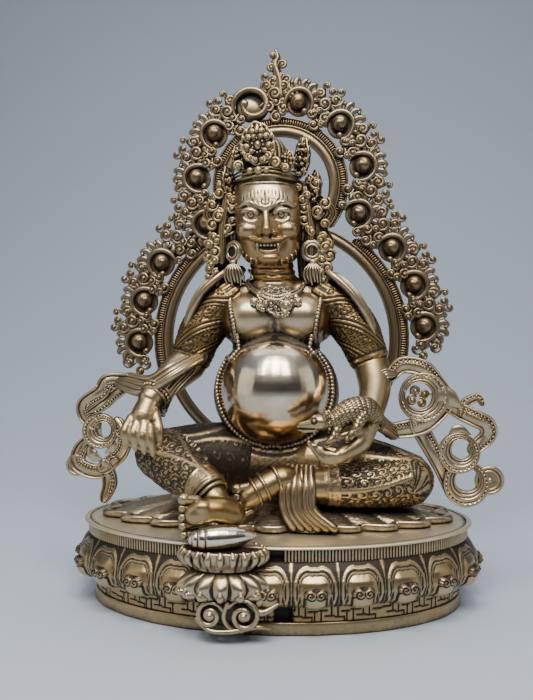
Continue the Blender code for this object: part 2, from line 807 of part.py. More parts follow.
def shoulder_scarf():
    """Scarf over the back and both shoulders, and the part that wraps each forearm."""
    pieces = []
    for side, points in (
        (-1, ((-22, 8, 146), (-31, -5, 143), (-41, -10, 132), (-49, -11, 117), (-54, -9, 104))),
        (1, ((23, 8, 146), (33, -5, 143), (43, -10, 132), (52, -11, 117), (58, -8, 104))),
    ):
        pieces.append(band(points, 10, 5, face=(side * 0.8, -0.6, 0.2)))
    left = ((-45, -12, 94), (-57, -24, 86), (-72, -22, 77), (-ELBOW_LEFT, -13, 80))
    pieces.append(band(left, 11, 5, face=(-0.3, -0.6, 0.7)))
    low_right = ((50, -18, 66), (57, -25, 60), (ELBOW_RIGHT, -12, 51.5))
    pieces.append(band(low_right, 9, 5, face=(0.2, -0.7, 0.6)))
    high_right = ((60, -10, 78), (63, -14, 84), (ELBOW_RIGHT, -12, 85))
    pieces.append(band(high_right, 7, 4, face=(0.2, -1, 0.1)))
    return pieces


def figure(cutters):
    """The whole seated figure as one casting, cut flat below and hollowed where the conch touches it."""
    pieces = [
        *torso(),
        *necklace(),
        *head(),
        *crown(),
        *resting_arm(),
        *holding_arm(),
        *mongoose(),
        *hanging_leg(),
        *folded_leg(),
        *seat_cloth(),
        *shoulder_scarf(),
    ]
    body = join("figure", pieces)
    fuse = body.modifiers.new("Fuse", "REMESH")
    fuse.mode = "VOXEL"
    fuse.voxel_size = FIGURE_VOXEL
    ease = body.modifiers.new("Ease", "SMOOTH")
    ease.factor = 0.5
    ease.iterations = 2
    reduce = body.modifiers.new("Reduce", "DECIMATE")
    reduce.ratio = FIGURE_KEPT_SHARE
    body = made_mesh(body)
    trims = (
        block("under_seat", fig(-200, -56, -60), fig(200, 100, 0)),
        block("left_joint", fig(-200, -90, 47.5), fig(-ELBOW_LEFT, 90, 100)),
        block("right_joint", fig(ELBOW_RIGHT, -90, 47.5), fig(200, 90, 100)),
    )
    for trim in trims:
        cutters.objects.link(trim)
        cut(body, trim)
    conch_clearance = conch_body("conch_clearance", extra=SEAT_GAP)
    cutters.objects.link(conch_clearance)
    return cut(body, conch_clearance)


# Scarf ends


def hoop(x, z, radius, width):
    """A closed round loop of scarf."""
    sides, count = 4, 12
    rings = []
    for i in range(count):
        angle = 2 * math.pi * i / count
        away = Vector((math.cos(angle), 0, math.sin(angle)))
        centre = fig(x, SCARF_BEHIND, z) + away * (radius * PART)
        half, deep = width / 2, SCARF_THICKNESS / 2
        corners = ((-1, -1), (1, -1), (1, 1), (-1, 1))
        rings.append([centre + away * (half * u) + Vector((0, deep * v, 0)) for u, v in corners])
    points = [point for ring in rings for point in ring]
    faces = []
    for row in range(count):
        after_row = (row + 1) % count
        for col in range(sides):
            after = (col + 1) % sides
            quad = (row, col), (row, after), (after_row, after), (after_row, col)
            faces.append(tuple(r * sides + c for r, c in quad))
    obj = mesh_object("hoop", points, faces)
    face_outwards(obj)
    return obj


def streamer(points, width, taper=1.0, steps=2):
    """A flat length of scarf through points of its upright plane."""
    path = [fig(x, SCARF_BEHIND, z) for x, z in points]
    return ribbon("scarf", path, width, SCARF_THICKNESS, steps, taper)


def rosette(x, z, radius, thick):
    """A round boss of scarf, as thick as the given share of the band."""
    return disc(fig(x, SCARF_BEHIND, z), radius * PART, SCARF_THICKNESS * thick, 8)


def scarf_end_left(cutters):
    """The scarf end at the viewer's left: an S curl, a rosette and a broad tail that turns back to the seat."""
    edge = -ELBOW_LEFT
    wide = SCARF_WIDTH
    curl = ((edge, 79.7), (-100.0, 80.2), (-102.2, 72.2), (-114.0, 66.7), (-112.5, 58.7), (-107.0, 54.7))
    tail = ((-108.5, 47.7), (-116.0, 38.7), (-117.0, 29.7), (-106.0, 26.2), (-96.0, 32.7))
    back = ((-101.0, 29.2), (-91.5, 38.2), (-89.0, 46.7), (-93.5, 55.7))
    drop = ((-101.0, 29.7), (-98.5, 19.7), (-101.0, 6.9))
    pieces = [
        streamer(curl, wide * 0.75),
        hoop(-102.3, 51.4, 6.8, wide * 0.55),
        rosette(-102.3, 51.4, 6.2, 0.7),
        streamer(tail, wide * 1.05),
        rosette(-118.5, 30.2, 6.2, 1.2),
        streamer(back, wide * 0.8),
        streamer(drop, wide * 0.7),
    ]
    scarf = thin_out(unite("scarf_end_left", pieces), SCARF_KEPT_SHARE)
    side_gap = Vector((SEAT_GAP, 0, 0))
    trim = block("left_scarf_trim", fig(edge, -80, 62) - side_gap, fig(0, 80, 150))
    cutters.objects.link(trim)
    return cut(scarf, trim)


def scarf_end_right(cutters):
    """The scarf end at the viewer's right: a great loop by the elbow, a leaf, a curl and a looped tail."""
    edge = ELBOW_RIGHT
    wide = SCARF_WIDTH
    over = ((edge - 2, 82.7), (74.5, 91.2), (86.0, 89.2), (93.5, 80.7), (99.0, 73.7))
    under = ((edge - 1, 52.2), (79.0, 53.5), (88.0, 57.2), (98.5, 66.7))
    curl = ((99.0, 68.7), (108.5, 62.9), (114.9, 58.7), (122.5, 56.7), (123.5, 49.7), (115.0, 42.2))
    tip = ((107.8, 62.2), (110.4, 68.2), (116.6, 71.7), (119.2, 67.7))
    hang = ((83.0, 54.7), (90.5, 41.7), (97.5, 28.7), (101.5, 17.7))
    pieces = [
        hoop(84.2, 72.6, 10.2, wide * 0.80),
        streamer(over, wide * 0.8),
        streamer(under, wide * 0.9),
        rosette(99.0, 71.7, 8.5, 0.8),
        streamer(curl, wide * 0.7),
        streamer(tip, wide * 0.5, 0.6),
        hoop(107.0, 41.7, 7.8, wide * 0.75),
        hoop(110.5, 24.2, 9.0, wide * 0.85),
        rosette(124.0, 24.7, 8.5, 0.8),
        streamer(hang, wide * 0.8),
    ]
    scarf = thin_out(unite("scarf_end_right", pieces), SCARF_KEPT_SHARE)
    side_gap = Vector((SEAT_GAP, 0, 0))
    trim = block("right_scarf_trim", fig(0, -80, 0), fig(edge, 80, 150) + side_gap)
    cutters.objects.link(trim)
    return cut(scarf, trim)


# Aureole


def ring_band(ring_z, radius, width, thickness, start, end, count, ring_x=0.0, ring_y=AUREOLE_Y):
    """Part of an upright flat ring of square section; the angles are in degrees from +X."""
    rings = []
    half, deep = width / 2, thickness / 2
    for i in range(count):
        angle = math.radians(start + (end - start) * i / (count - 1))
        away = Vector((math.cos(angle), 0, math.sin(angle)))
        centre = Vector((ring_x, ring_y, ring_z)) + away * (radius - half)
        corners = ((-1, -1), (1, -1), (1, 1), (-1, 1))
        rings.append([centre + away * (half * u) + Vector((0, deep * v, 0)) for u, v in corners])
    return loft("ring", rings)


def boss_centres():
    """The middle of each boss, from the lower left end over the top to the lower right end."""
    body_radius = BODY_RING_RADIUS + RIB_BAND_WIDTH + BOSS_RADIUS * 0.80
    head_radius = HEAD_RING_RADIUS + RIB_BAND_WIDTH + BOSS_RADIUS * 0.84
    climb = [2.0 + BODY_BOSS_STEP * i for i in range(BODY_BOSSES)]
    round_head = [(i - (HEAD_BOSSES - 1) / 2) * HEAD_BOSS_STEP for i in range(HEAD_BOSSES)]
    left = [upright(BODY_RING_Z, body_radius, 180 + BORDER_TURN - turn) for turn in climb]
    top = [upright(HEAD_RING_Z, head_radius, 90 + BORDER_TURN - turn) for turn in round_head]
    right = [upright(BODY_RING_Z, body_radius, BORDER_TURN + turn) for turn in reversed(climb)]
    return left + top + right


def upright(ring_z, radius, turn):
    """The point of the aureole's plane at an angle round a ring, in degrees from +X."""
    angle = math.radians(turn)
    return Vector((math.cos(angle) * radius, AUREOLE_Y, ring_z + math.sin(angle) * radius))


def boss(centre, radius, sides=8):
    """A round jewel in a dish with a raised rim."""
    profile = (
        (1.00, 0.40),
        (1.00, -0.55),
        (0.84, -0.85),
        (0.68, -0.35),
        (0.50, -0.60),
        (0.34, -1.25),
        (0.08, -1.50),
    )
    rings = []
    for share, out in profile:
        ring = []
        for i in range(sides):
            angle = 2 * math.pi * (i + 0.5) / sides
            away = Vector((math.cos(angle), 0, math.sin(angle)))
            ring.append(centre + away * (radius * share) + Vector((0, AUREOLE_THICKNESS * out, 0)))
        rings.append(ring)
    return loft("boss", rings)


def border(centres):
    """The bosses with the curls that join them and stand along the border's outer edge."""
    middle = Vector((0, AUREOLE_Y, (BODY_RING_Z + HEAD_RING_Z) / 2))
    pieces = [boss(centre, BOSS_RADIUS) for centre in centres]
    web = AUREOLE_THICKNESS * 0.6
    pieces.append(ribbon("web", centres, BOSS_RADIUS * 0.9, web, steps=2))
    curls = []
    for i, centre in enumerate(centres):
        before = centres[max(i - 1, 0)]
        after = centres[min(i + 1, len(centres) - 1)]
        along = (after - before).normalized()
        out = Vector((-along.z, 0, along.x))
        out *= math.copysign(1, out.dot(centre - middle))
        curls.append((centre + out * (BOSS_RADIUS - 0.0008), CURL_RADIUS))
        if i == 0:
            curls.append((centre - along * BOSS_RADIUS + out * BOSS_RADIUS * 0.3, CURL_RADIUS))
        if centre == after:
            curls.append((centre + along * BOSS_RADIUS + out * BOSS_RADIUS * 0.3, CURL_RADIUS))
            continue
        along = (after - centre).normalized()
        out = Vector((-along.z, 0, along.x))
        out *= math.copysign(1, out.dot(centre - middle))
        between = (centre + after) / 2
        curls.append((between + out * BOSS_RADIUS * 0.70, CURL_RADIUS * 1.25))
        curls.append((between - out * BOSS_RADIUS * 0.56, CURL_RADIUS))
    for centre, radius in curls:
        pieces.append(disc(centre, radius, AUREOLE_THICKNESS * 0.85, 6, centre.x * 60))
    return pieces


def aureole():
    """Two rings inside a border of bosses and curls, with a pointed top and a plain foot behind."""
    body_low, head_low = crossing_angles()
    full = 360 - 2 * (90 - body_low)
    ring_deep = RING_THICKNESS
    rib_deep = AUREOLE_THICKNESS * 0.7
    body_rib = BODY_RING_RADIUS + RIB_BAND_WIDTH
    head_rib = HEAD_RING_RADIUS + RIB_BAND_WIDTH
    rib_wide = RIB_BAND_WIDTH * 1.5
    pieces = [
        ring_band(BODY_RING_Z, BODY_RING_RADIUS, RING_WIDTH, ring_deep, body_low, body_low - full, 36),
        ring_band(HEAD_RING_Z, HEAD_RING_RADIUS, RING_WIDTH, ring_deep, head_low, 180 - head_low, 24),
        ring_band(BODY_RING_Z, body_rib, rib_wide, rib_deep, -10, 50, 8),
        ring_band(BODY_RING_Z, body_rib, rib_wide, rib_deep, 130, 190, 8),
        ring_band(HEAD_RING_Z, head_rib, rib_wide, rib_deep, -36, 216, 16),
        stand_plate(),
        *border(boss_centres()),
        *finial(),
    ]
    return thin_out(unite("aureole", pieces), AUREOLE_KEPT_SHARE)


def crossing_angles():
    """Where the two rings cross: the angle on the body ring and the one on the head ring, in degrees."""
    apart = HEAD_RING_Z - BODY_RING_Z
    body, head = BODY_RING_RADIUS - RING_WIDTH / 2, HEAD_RING_RADIUS - RING_WIDTH / 2
    along = (apart**2 + body**2 - head**2) / (2 * apart)
    aside = math.sqrt(body**2 - along**2)
    return math.degrees(math.atan2(along, aside)), math.degrees(math.atan2(along - apart, aside))


def finial():
    """The pointed top, which leans a little."""
    foot = HEAD_RING_Z + HEAD_RING_RADIUS + RIB_BAND_WIDTH + BOSS_RADIUS * 1.25
    rise = FINIAL_HEIGHT
    line = ((0.0, 0.0), (-0.03, 0.3), (-0.11, 0.62), (-0.10, 1.0))
    stalk = [(rise * x, AUREOLE_Y, foot + rise * share) for x, share in line]
    widths = (0.165, 0.155, 0.135, 0.125, 0.110, 0.095, 0.055)
    pieces = [tube(smooth_path(stalk, 2), [rise * width for width in widths])]
    for side, share, size in ((-1, 0.22, 0.145), (1, 0.34, 0.14), (-1, 0.60, 0.12), (1, 0.72, 0.10)):
        centre = Vector((rise * (side * size - 0.15 * share), AUREOLE_Y, foot + rise * share))
        pieces.append(disc(centre, rise * size, AUREOLE_THICKNESS * 0.85, 6))
    return pieces


def stand_plate():
    """The plain flat foot hidden behind the figure, from the body ring down to the base's top."""
    low = BASE_TOP + SEAT_GAP
    high = BODY_RING_Z - BODY_RING_RADIUS + RING_WIDTH
    deep = RING_THICKNESS / 2
    rings = []
    levels = (
        (low, STAND_WIDTH / 2),
        (low + STAND_WIDTH * 0.08, STAND_WIDTH / 2),
        (high, STAND_WIDTH / 3),
    )
    for height, half in levels:
        corners = ((-1, -1), (1, -1), (1, 1), (-1, 1))
        rings.append([Vector((u * half, AUREOLE_Y + v * deep, height)) for u, v in corners])
    return loft("stand", rings)


def finish_piece(obj, collection, material):
    """Files a piece under the object's collection, with its metal and smooth round faces."""
    for owner in list(obj.users_collection):
        owner.objects.unlink(obj)
    collection.objects.link(obj)
    obj.data.materials.clear()
    obj.data.materials.append(material)
    obj.data.shade_smooth()
    obj.data.set_sharp_from_angle(angle=math.radians(35))


def main():
    clear_scene()
    statue = make_collection("Kubera statue")
    cutters = make_collection("Cutters", hidden=True)
    silvered = metal("silvered brass", SILVERED)
    darkened = metal("darkened brass", AGED)
    pieces = (
        (lotus_base(), silvered),
        (foot_lotus(cutters), silvered),
        (figure(cutters), silvered),
        (scarf_end_left(cutters), silvered),
        (scarf_end_right(cutters), silvered),
        (aureole(), darkened),
    )
    for obj, material in pieces:
        finish_piece(obj, statue, material)
    for helper in list(bpy.context.scene.collection.objects):
        if helper.hide_render:
            bpy.context.scene.collection.objects.unlink(helper)


main()
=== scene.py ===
"""Dresses a seated pot-bellied wealth deity in silvered brass: cast forms, chased relief and patina.

Shapes are worked out in millimetres, X to the viewer's right, Y to the back and Z up from the floor, and
turned to metres when a mesh is made. The figure is drawn on a grid whose zero lies on the base's top.
"""

import enum
import logging
import math
from collections.abc import Sequence
from dataclasses import dataclass

import bmesh
import bpy
import numpy as np
from mathutils import Matrix, Vector
from mathutils.bvhtree import BVHTree


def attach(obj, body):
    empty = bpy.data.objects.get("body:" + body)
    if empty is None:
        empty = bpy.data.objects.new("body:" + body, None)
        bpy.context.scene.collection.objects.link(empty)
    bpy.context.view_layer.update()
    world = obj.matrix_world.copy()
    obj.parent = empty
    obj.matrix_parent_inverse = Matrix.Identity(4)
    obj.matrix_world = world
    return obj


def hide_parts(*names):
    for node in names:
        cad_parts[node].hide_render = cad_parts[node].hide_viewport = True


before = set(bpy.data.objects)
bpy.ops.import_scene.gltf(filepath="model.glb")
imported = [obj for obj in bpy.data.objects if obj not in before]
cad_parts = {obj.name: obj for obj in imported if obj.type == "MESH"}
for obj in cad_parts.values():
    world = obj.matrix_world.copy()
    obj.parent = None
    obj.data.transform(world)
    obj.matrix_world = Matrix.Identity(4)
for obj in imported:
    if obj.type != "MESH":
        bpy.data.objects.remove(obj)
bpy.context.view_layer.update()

LOG = logging.getLogger("kubera statue")

MM = 0.001
FLOOR_TO_SEAT = 48.3
FRONT = np.array([0.0, -1.0, 0.0])
# How many worn clouds lie on a metre, and how far off a wall the painted shade in sheltered places reaches
CLOUDS_PER_METRE = 48.0
SHADE_REACH = 16.0 * MM


class Slot(enum.Enum):
    """The record's material slots."""

    SILVERED = "silvered_brass"
    DARKENED = "darkened_brass"


# Meshes worked out as arrays


@dataclass
class Shell:
    """A closed surface in the making.

    points are in millimetres; gilt says how golden and dark how blackened each point is, both from 0 to 1.
    Some of the blackening is painted shade and some of the gold a painted reflection.
    """

    points: np.ndarray
    quads: np.ndarray
    tris: np.ndarray
    gilt: np.ndarray
    dark: np.ndarray

    def corners(self) -> np.ndarray:
        """Every facet as triangles, one row of three point numbers each."""
        halves = [self.tris, self.quads[:, [0, 1, 2]], self.quads[:, [0, 2, 3]]]
        return np.concatenate(halves)

    def outward(self) -> "Shell":
        """The same shell with its facets turned to face out."""
        a, b, c = (self.points[self.corners()[:, i]] for i in range(3))
        if np.einsum("ij,ij->i", a, np.cross(b, c)).sum() < 0:
            self.quads = self.quads[:, ::-1]
            self.tris = self.tris[:, ::-1]
        return self

    def normals(self) -> np.ndarray:
        """The outward direction at each point."""
        tris = self.corners()
        a, b, c = (self.points[tris[:, i]] for i in range(3))
        flat = np.cross(b - a, c - a)
        total = np.zeros_like(self.points)
        for corner in range(3):
            for axis in range(3):
                total[:, axis] += np.bincount(tris[:, corner], flat[:, axis], len(self.points))
        return total / np.maximum(np.linalg.norm(total, axis=1, keepdims=True), 1e-12)

    def pressed(self, height: np.ndarray) -> "Shell":
        """The shell with each point moved out by its height in millimetres."""
        self.points = self.points + self.normals() * height[:, None]
        return self

    def hollowness(self, rounds: int) -> np.ndarray:
        """How deep each point lies below the shell's own smoothed form, in millimetres."""
        sides = [self.tris[:, [i, (i + 1) % 3]] for i in range(3)]
        sides += [self.quads[:, [i, (i + 1) % 4]] for i in range(4)]
        edges = np.unique(np.sort(np.concatenate(sides), axis=1), axis=0)
        a, b = edges[:, 0], edges[:, 1]
        size = len(self.points)
        count = np.maximum(np.bincount(a, minlength=size) + np.bincount(b, minlength=size), 1)
        soft = self.points.copy()
        for _ in range(rounds):
            for axis in range(3):
                around = np.bincount(a, soft[b, axis], size) + np.bincount(b, soft[a, axis], size)
                soft[:, axis] = (soft[:, axis] + around / count) / 2
        return np.einsum("ij,ij->i", soft - self.points, self.normals())


def shell(
    points: np.ndarray, quads: object, tris: object, gilt: object = 0.0, dark: object = 0.0
) -> Shell:
    """A shell from its points and facets, facing out.

    Args:
        points: the points in millimetres.
        quads: four point numbers a row.
        tris: three point numbers a row.
        gilt: how golden the points are, one number or one for each.
        dark: how blackened they are, likewise.

    Returns:
        The shell.
    """
    points = np.asarray(points, dtype=float)
    made = Shell(
        points,
        np.asarray(quads, dtype=np.int64).reshape(-1, 4),
        np.asarray(tris, dtype=np.int64).reshape(-1, 3),
        np.broadcast_to(np.asarray(gilt, dtype=float), (len(points),)).copy(),
        np.broadcast_to(np.asarray(dark, dtype=float), (len(points),)).copy(),
    )
    return made.outward()


def merged(shells: Sequence[Shell]) -> Shell:
    """All the shells as one, still separate surfaces."""
    starts = np.cumsum([0] + [len(s.points) for s in shells[:-1]])
    return Shell(
        np.concatenate([s.points for s in shells]),
        np.concatenate([s.quads + start for s, start in zip(shells, starts)]),
        np.concatenate([s.tris + start for s, start in zip(shells, starts)]),
        np.concatenate([s.gilt for s in shells]),
        np.concatenate([s.dark for s in shells]),
    )


def lattice(points: np.ndarray, gilt: object = 0.0, dark: object = 0.0) -> Shell:
    """A closed shell from rings of points, with a pole at each end.

    Args:
        points: rings by points by three.
        gilt: how golden the points are, one number or one for each point of each ring.
        dark: how blackened they are, likewise.

    Returns:
        The shell, with its first and last ring closed by a middle point.
    """
    rows, cols = points.shape[:2]
    index = np.arange(rows * cols).reshape(rows, cols)
    after = np.roll(index, -1, axis=1)
    quads = np.stack([index[:-1], after[:-1], after[1:], index[1:]], axis=-1).reshape(-1, 4)
    first, last = rows * cols, rows * cols + 1
    start = np.stack([np.full(cols, first), after[0], index[0]], axis=-1)
    end = np.stack([np.full(cols, last), index[-1], after[-1]], axis=-1)
    flat = np.concatenate([points.reshape(-1, 3), points[:1].mean(axis=1), points[-1:].mean(axis=1)])
    spread = []
    for value in (gilt, dark):
        value = np.broadcast_to(np.asarray(value, dtype=float), (rows, cols))
        ends = [value[0].mean(), value[-1].mean()]
        spread.append(np.concatenate([value.reshape(-1), ends]))
    return shell(flat, quads, np.concatenate([start, end]), *spread)


def smooth_path(points: Sequence[Sequence[float]], steps: int) -> np.ndarray:
    """Points on a smooth curve through the given points, steps to each stretch."""
    given = np.asarray(points, dtype=float)
    ends = np.concatenate([[given[0] * 2 - given[1]], given, [given[-1] * 2 - given[-2]]])
    t = (np.arange(steps) / steps)[:, None]
    path = []
    for i in range(1, len(ends) - 2):
        p0, p1, p2, p3 = ends[i - 1 : i + 3]
        bend = 2 * p0 - 5 * p1 + 4 * p2 - p3
        path.append(0.5 * (2 * p1 + (p2 - p0) * t + bend * t**2 + (3 * p1 - p0 - 3 * p2 + p3) * t**3))
    return np.concatenate([*path, given[-1:]])


def unit(vectors: np.ndarray) -> np.ndarray:
    """The vectors at length one."""
    return vectors / np.maximum(np.linalg.norm(vectors, axis=-1, keepdims=True), 1e-12)


def run_along(path: np.ndarray) -> np.ndarray:
    """The distance of each point of a path from its start."""
    return np.concatenate([[0], np.cumsum(np.linalg.norm(np.diff(path, axis=0), axis=1))])


def circle(
    centre: np.ndarray, first: np.ndarray, second: np.ndarray, radius: float, count: int
) -> np.ndarray:
    """A closed ring of points.

    Args:
        centre: its middle.
        first: the direction in which it starts.
        second: the direction it turns towards.
        radius: its radius.
        count: how many points, the last on the first.

    Returns:
        The points.
    """
    turn = np.linspace(0, 2 * math.pi, count)
    return centre + first * (np.cos(turn) * radius)[:, None] + second * (np.sin(turn) * radius)[:, None]


def frames_along(path: np.ndarray, hint: np.ndarray) -> tuple[np.ndarray, np.ndarray, np.ndarray]:
    """The direction along a path, and two directions across it that turn as little as they can.

    Args:
        path: the points of the path.
        hint: the way the second direction starts out, roughly.

    Returns:
        Three arrays of directions: along, across and out, where out starts near the hint.
    """
    along = unit(np.gradient(path, axis=0))
    out = np.zeros_like(path)
    current = np.asarray(hint, dtype=float)
    if abs(float(current @ along[0])) > 0.95:
        current = np.array([0.3, 0.2, 1.0])
    for i, way in enumerate(along):
        current = current - way * float(current @ way)
        current = current / max(float(np.linalg.norm(current)), 1e-9)
        out[i] = current
    return along, np.cross(along, out), out


def tube(
    path: np.ndarray,
    radii: Sequence[float],
    sides: int = 10,
    squash: float = 1.0,
    hint: np.ndarray = FRONT,
    gilt: object = 0.0,
    dark: object = 0.0,
    grooves: tuple[int, float] = (0, 0.0),
) -> Shell:
    """A tapering bar with rounded ends.

    Args:
        path: points along its middle.
        radii: its radius at even shares of the path.
        sides: points round it.
        squash: its thickness towards the hint, as a share of its width.
        hint: the way its thickness is measured.
        gilt: how golden it is.
        dark: how blackened it is.
        grooves: how many furrows run along it, and how deep they are as a share of the radius.

    Returns:
        The closed bar.
    """
    radii = np.interp(np.linspace(0, 1, len(path)), np.linspace(0, 1, len(radii)), radii)
    along, across, out = frames_along(path, hint)
    caps = np.radians([80, 55, 28])
    middles = [path[0] - along[0] * radii[0] * math.sin(a) for a in caps]
    middles += [*path] + [path[-1] + along[-1] * radii[-1] * math.sin(a) for a in caps[::-1]]
    sizes = (
        [radii[0] * math.cos(a) for a in caps] + [*radii] + [radii[-1] * math.cos(a) for a in caps[::-1]]
    )
    row = np.clip(np.arange(len(middles)) - 3, 0, len(path) - 1)
    turn = np.linspace(0, 2 * math.pi, sides, endpoint=False)
    wave = 1 + grooves[1] * np.cos(turn * grooves[0]) if grooves[0] else np.ones(sides)
    ring = across[row][:, None] * (np.cos(turn) * wave)[:, None] + out[row][:, None] * (
        np.sin(turn) * wave * squash
    )[:, None]
    points = np.asarray(middles)[:, None] + ring * np.asarray(sizes)[:, None, None]
    furrow = np.broadcast_to(np.clip(1 - wave, 0, 1) * 2.5, points.shape[:2])
    return lattice(points, gilt, np.clip(np.asarray(dark) + furrow, 0, 1))


def strap(
    path: np.ndarray,
    width: Sequence[float],
    section: Sequence[tuple[float, float, float]],
    face: np.ndarray = FRONT,
    thickness: float = 2.4,
    gilt: object = 0.0,
) -> Shell:
    """A flat band whose broad side faces the given way.

    Args:
        path: points along its middle.
        width: its width at even shares of the path.
        section: across from -1 to 1, height of the front as a share of the thickness, and blackening.
        face: the way the band faces, one direction or one for each point.
        thickness: how thick it is in millimetres.
        gilt: how golden it is.

    Returns:
        The closed band with rounded ends and a flat back.
    """
    width = np.interp(np.linspace(0, 1, len(path)), np.linspace(0, 1, len(width)), width)
    along = unit(np.gradient(path, axis=0))
    across = unit(np.cross(along, np.broadcast_to(face, path.shape)))
    out = np.cross(across, along)
    profile = [(u, v, d) for u, v, d in section] + [(0.9, -1.0, 0.6), (-0.9, -1.0, 0.6)]
    u, v, d = (np.array([row[i] for row in profile]) for i in range(3))
    caps = np.radians([75, 45])
    rows = []
    for angle in caps:
        rows.append((0, math.cos(angle), -math.sin(angle)))
    rows += [(i, 1.0, 0.0) for i in range(len(path))]
    for angle in caps[::-1]:
        rows.append((len(path) - 1, math.cos(angle), math.sin(angle)))
    points = []
    for i, size, reach in rows:
        middle = path[i] + along[i] * width[i] * 0.5 * reach
        ring = across[i] * (u * width[i] * 0.5 * size)[:, None]
        points.append(middle + ring + out[i] * (v * thickness * 0.5 * (0.5 + 0.5 * size))[:, None])
    return lattice(np.array(points), gilt, np.broadcast_to(d, (len(points), len(profile))))


RIDGED = (
    (-1.0, 0.0, 0.2),
    (-0.93, 0.85, 0.0),
    (-0.80, 1.0, 0.0),
    (-0.68, 0.75, 0.1),
    (-0.60, 0.42, 0.6),
    (-0.52, 0.70, 0.1),
    (-0.38, 0.85, 0.0),
    (-0.22, 0.72, 0.05),
    (-0.15, 0.42, 0.55),
    (-0.06, 0.70, 0.05),
    (0.12, 0.85, 0.0),
    (0.32, 0.78, 0.05),
    (0.44, 0.42, 0.6),
    (0.54, 0.78, 0.1),
    (0.74, 1.0, 0.0),
    (0.92, 0.85, 0.0),
    (1.0, 0.0, 0.2),
)
HEMMED = (
    (-1.0, -0.2, 0.3),
    (-0.95, 0.8, 0.0),
    (-0.84, 1.0, 0.0),
    (-0.70, 0.8, 0.1),
    (-0.62, 0.30, 0.7),
    (-0.50, 0.42, 0.15),
    (-0.25, 0.62, 0.0),
    (0.0, 0.70, 0.0),
    (0.25, 0.62, 0.0),
    (0.50, 0.42, 0.15),
    (0.62, 0.30, 0.7),
    (0.70, 0.8, 0.1),
    (0.84, 1.0, 0.0),
    (0.95, 0.8, 0.0),
    (1.0, -0.2, 0.3),
)
HALF_ROUND = (
    (-1.0, -0.2, 0.3),
    (-0.93, 0.35, 0.1),
    (-0.72, 0.72, 0.0),
    (-0.4, 0.95, 0.0),
    (0.0, 1.0, 0.0),
    (0.4, 0.95, 0.0),
    (0.72, 0.72, 0.0),
    (0.93, 0.35, 0.1),
    (1.0, -0.2, 0.3),
)


def ball(
    centre: Sequence[float],
    radii: Sequence[float] | float,
    tilt: Sequence[float] = (0, 0, 0),
    segments: int = 24,
    rings: int = 14,
    gilt: object = 0.0,
    dark: object = 0.0,
) -> Shell:
    """An ellipsoid, turned by its tilt in degrees about X, then Y, then Z."""
    radii = np.broadcast_to(np.asarray(radii, dtype=float), (3,))
    up = np.linspace(-math.pi / 2, math.pi / 2, rings + 2)[1:-1]
    turn = np.linspace(0, 2 * math.pi, segments, endpoint=False)
    points = np.stack(
        [
            np.cos(up)[:, None] * np.cos(turn),
            np.cos(up)[:, None] * np.sin(turn),
            np.broadcast_to(np.sin(up)[:, None], (len(up), len(turn))),
        ],
        axis=-1,
    )
    x, y, z = (math.radians(a) for a in tilt)
    rotate = np.array(
        Matrix.Rotation(z, 3, "Z") @ Matrix.Rotation(y, 3, "Y") @ Matrix.Rotation(x, 3, "X")
    )
    return lattice((points * radii) @ rotate.T + np.asarray(centre, dtype=float), gilt, dark)


def curl(
    centre: Sequence[float],
    radius: float,
    start: float,
    turns: float = 1.35,
    hand: int = 1,
    thick: float = 1.1,
    rise: float = 0.0,
    tail: Sequence[Sequence[float]] = (),
    gilt: float = 0.15,
    plane: tuple[np.ndarray, np.ndarray] | None = None,
) -> list[Shell]:
    """A tendril that winds into a spiral with a round bud at its middle.

    Args:
        centre: the middle of the spiral.
        radius: its outer radius.
        start: the angle where its outer end lies, in degrees from the plane's first direction.
        turns: how often it goes round.
        hand: 1 winds anticlockwise as seen from the front, -1 clockwise.
        thick: the radius of the tendril at its outer end.
        rise: how far the middle stands out.
        tail: points that lead up to the outer end.
        gilt: how golden it is.
        plane: the two directions it lies in, which are X and Z unless given.

    Returns:
        The tendril and its bud.
    """
    first, second = plane or (np.array([1.0, 0, 0]), np.array([0, 0, 1.0]))
    out = np.cross(first, second)
    share = np.linspace(0, 1, max(10, int(15 * turns)))
    angle = math.radians(start) + hand * 2 * math.pi * turns * share
    reach = radius * (1 - 0.74 * share)
    middle = np.asarray(centre, dtype=float)
    wind = (
        middle
        + first * (np.cos(angle) * reach)[:, None]
        + second * (np.sin(angle) * reach)[:, None]
        + out * (rise * share)[:, None]
    )
    if len(tail):
        lead = smooth_path([*tail, wind[0], wind[2]], 6)[:-7]
        wind = np.concatenate([lead, wind])
    bar = tube(wind, (thick * 0.75, thick, thick * 0.95, thick * 0.7), 8, gilt=gilt, hint=out)
    bud = ball(middle + out * rise * 1.1, thick * 1.35, segments=10, rings=6, gilt=gilt * 0.6)
    return [bar, bud]


# Chased patterns: each gives the height of the relief from 0, the ground, to 1, the ridge


def scrollwork(u: np.ndarray, v: np.ndarray, cell: float) -> np.ndarray:
    """Spiral tendrils in staggered round cells, with small leaves between them.

    Args:
        u: distance along the surface in millimetres.
        v: distance across it.
        cell: the width of one cell.

    Returns:
        The height at each point.
    """
    row = np.floor(v / (cell * 0.87))
    shifted = u + (row % 2) * cell / 2
    column = np.floor(shifted / cell)
    dx = shifted - (column + 0.5) * cell
    dy = v - (row + 0.5) * cell * 0.87
    hand = np.where((row + column) % 2 == 0, 1.0, -1.0)
    reach = np.hypot(dx, dy) / (cell * 0.44)
    angle = np.arctan2(dy * hand, dx) / (2 * math.pi)
    wind = (angle + 1.35 * reach) % 1.0
    arm = bell(wind, 0.5, 0.20) * np.clip((1.02 - reach) / 0.1, 0, 1)
    eye = bell(reach, 0.0, 0.22)
    leaf = np.clip((reach - 1.02) / 0.14, 0, 1) * (0.5 + 0.5 * np.cos(angle * 2 * math.pi * 6))
    return np.clip(arm + eye + leaf * 0.9, 0, 1)


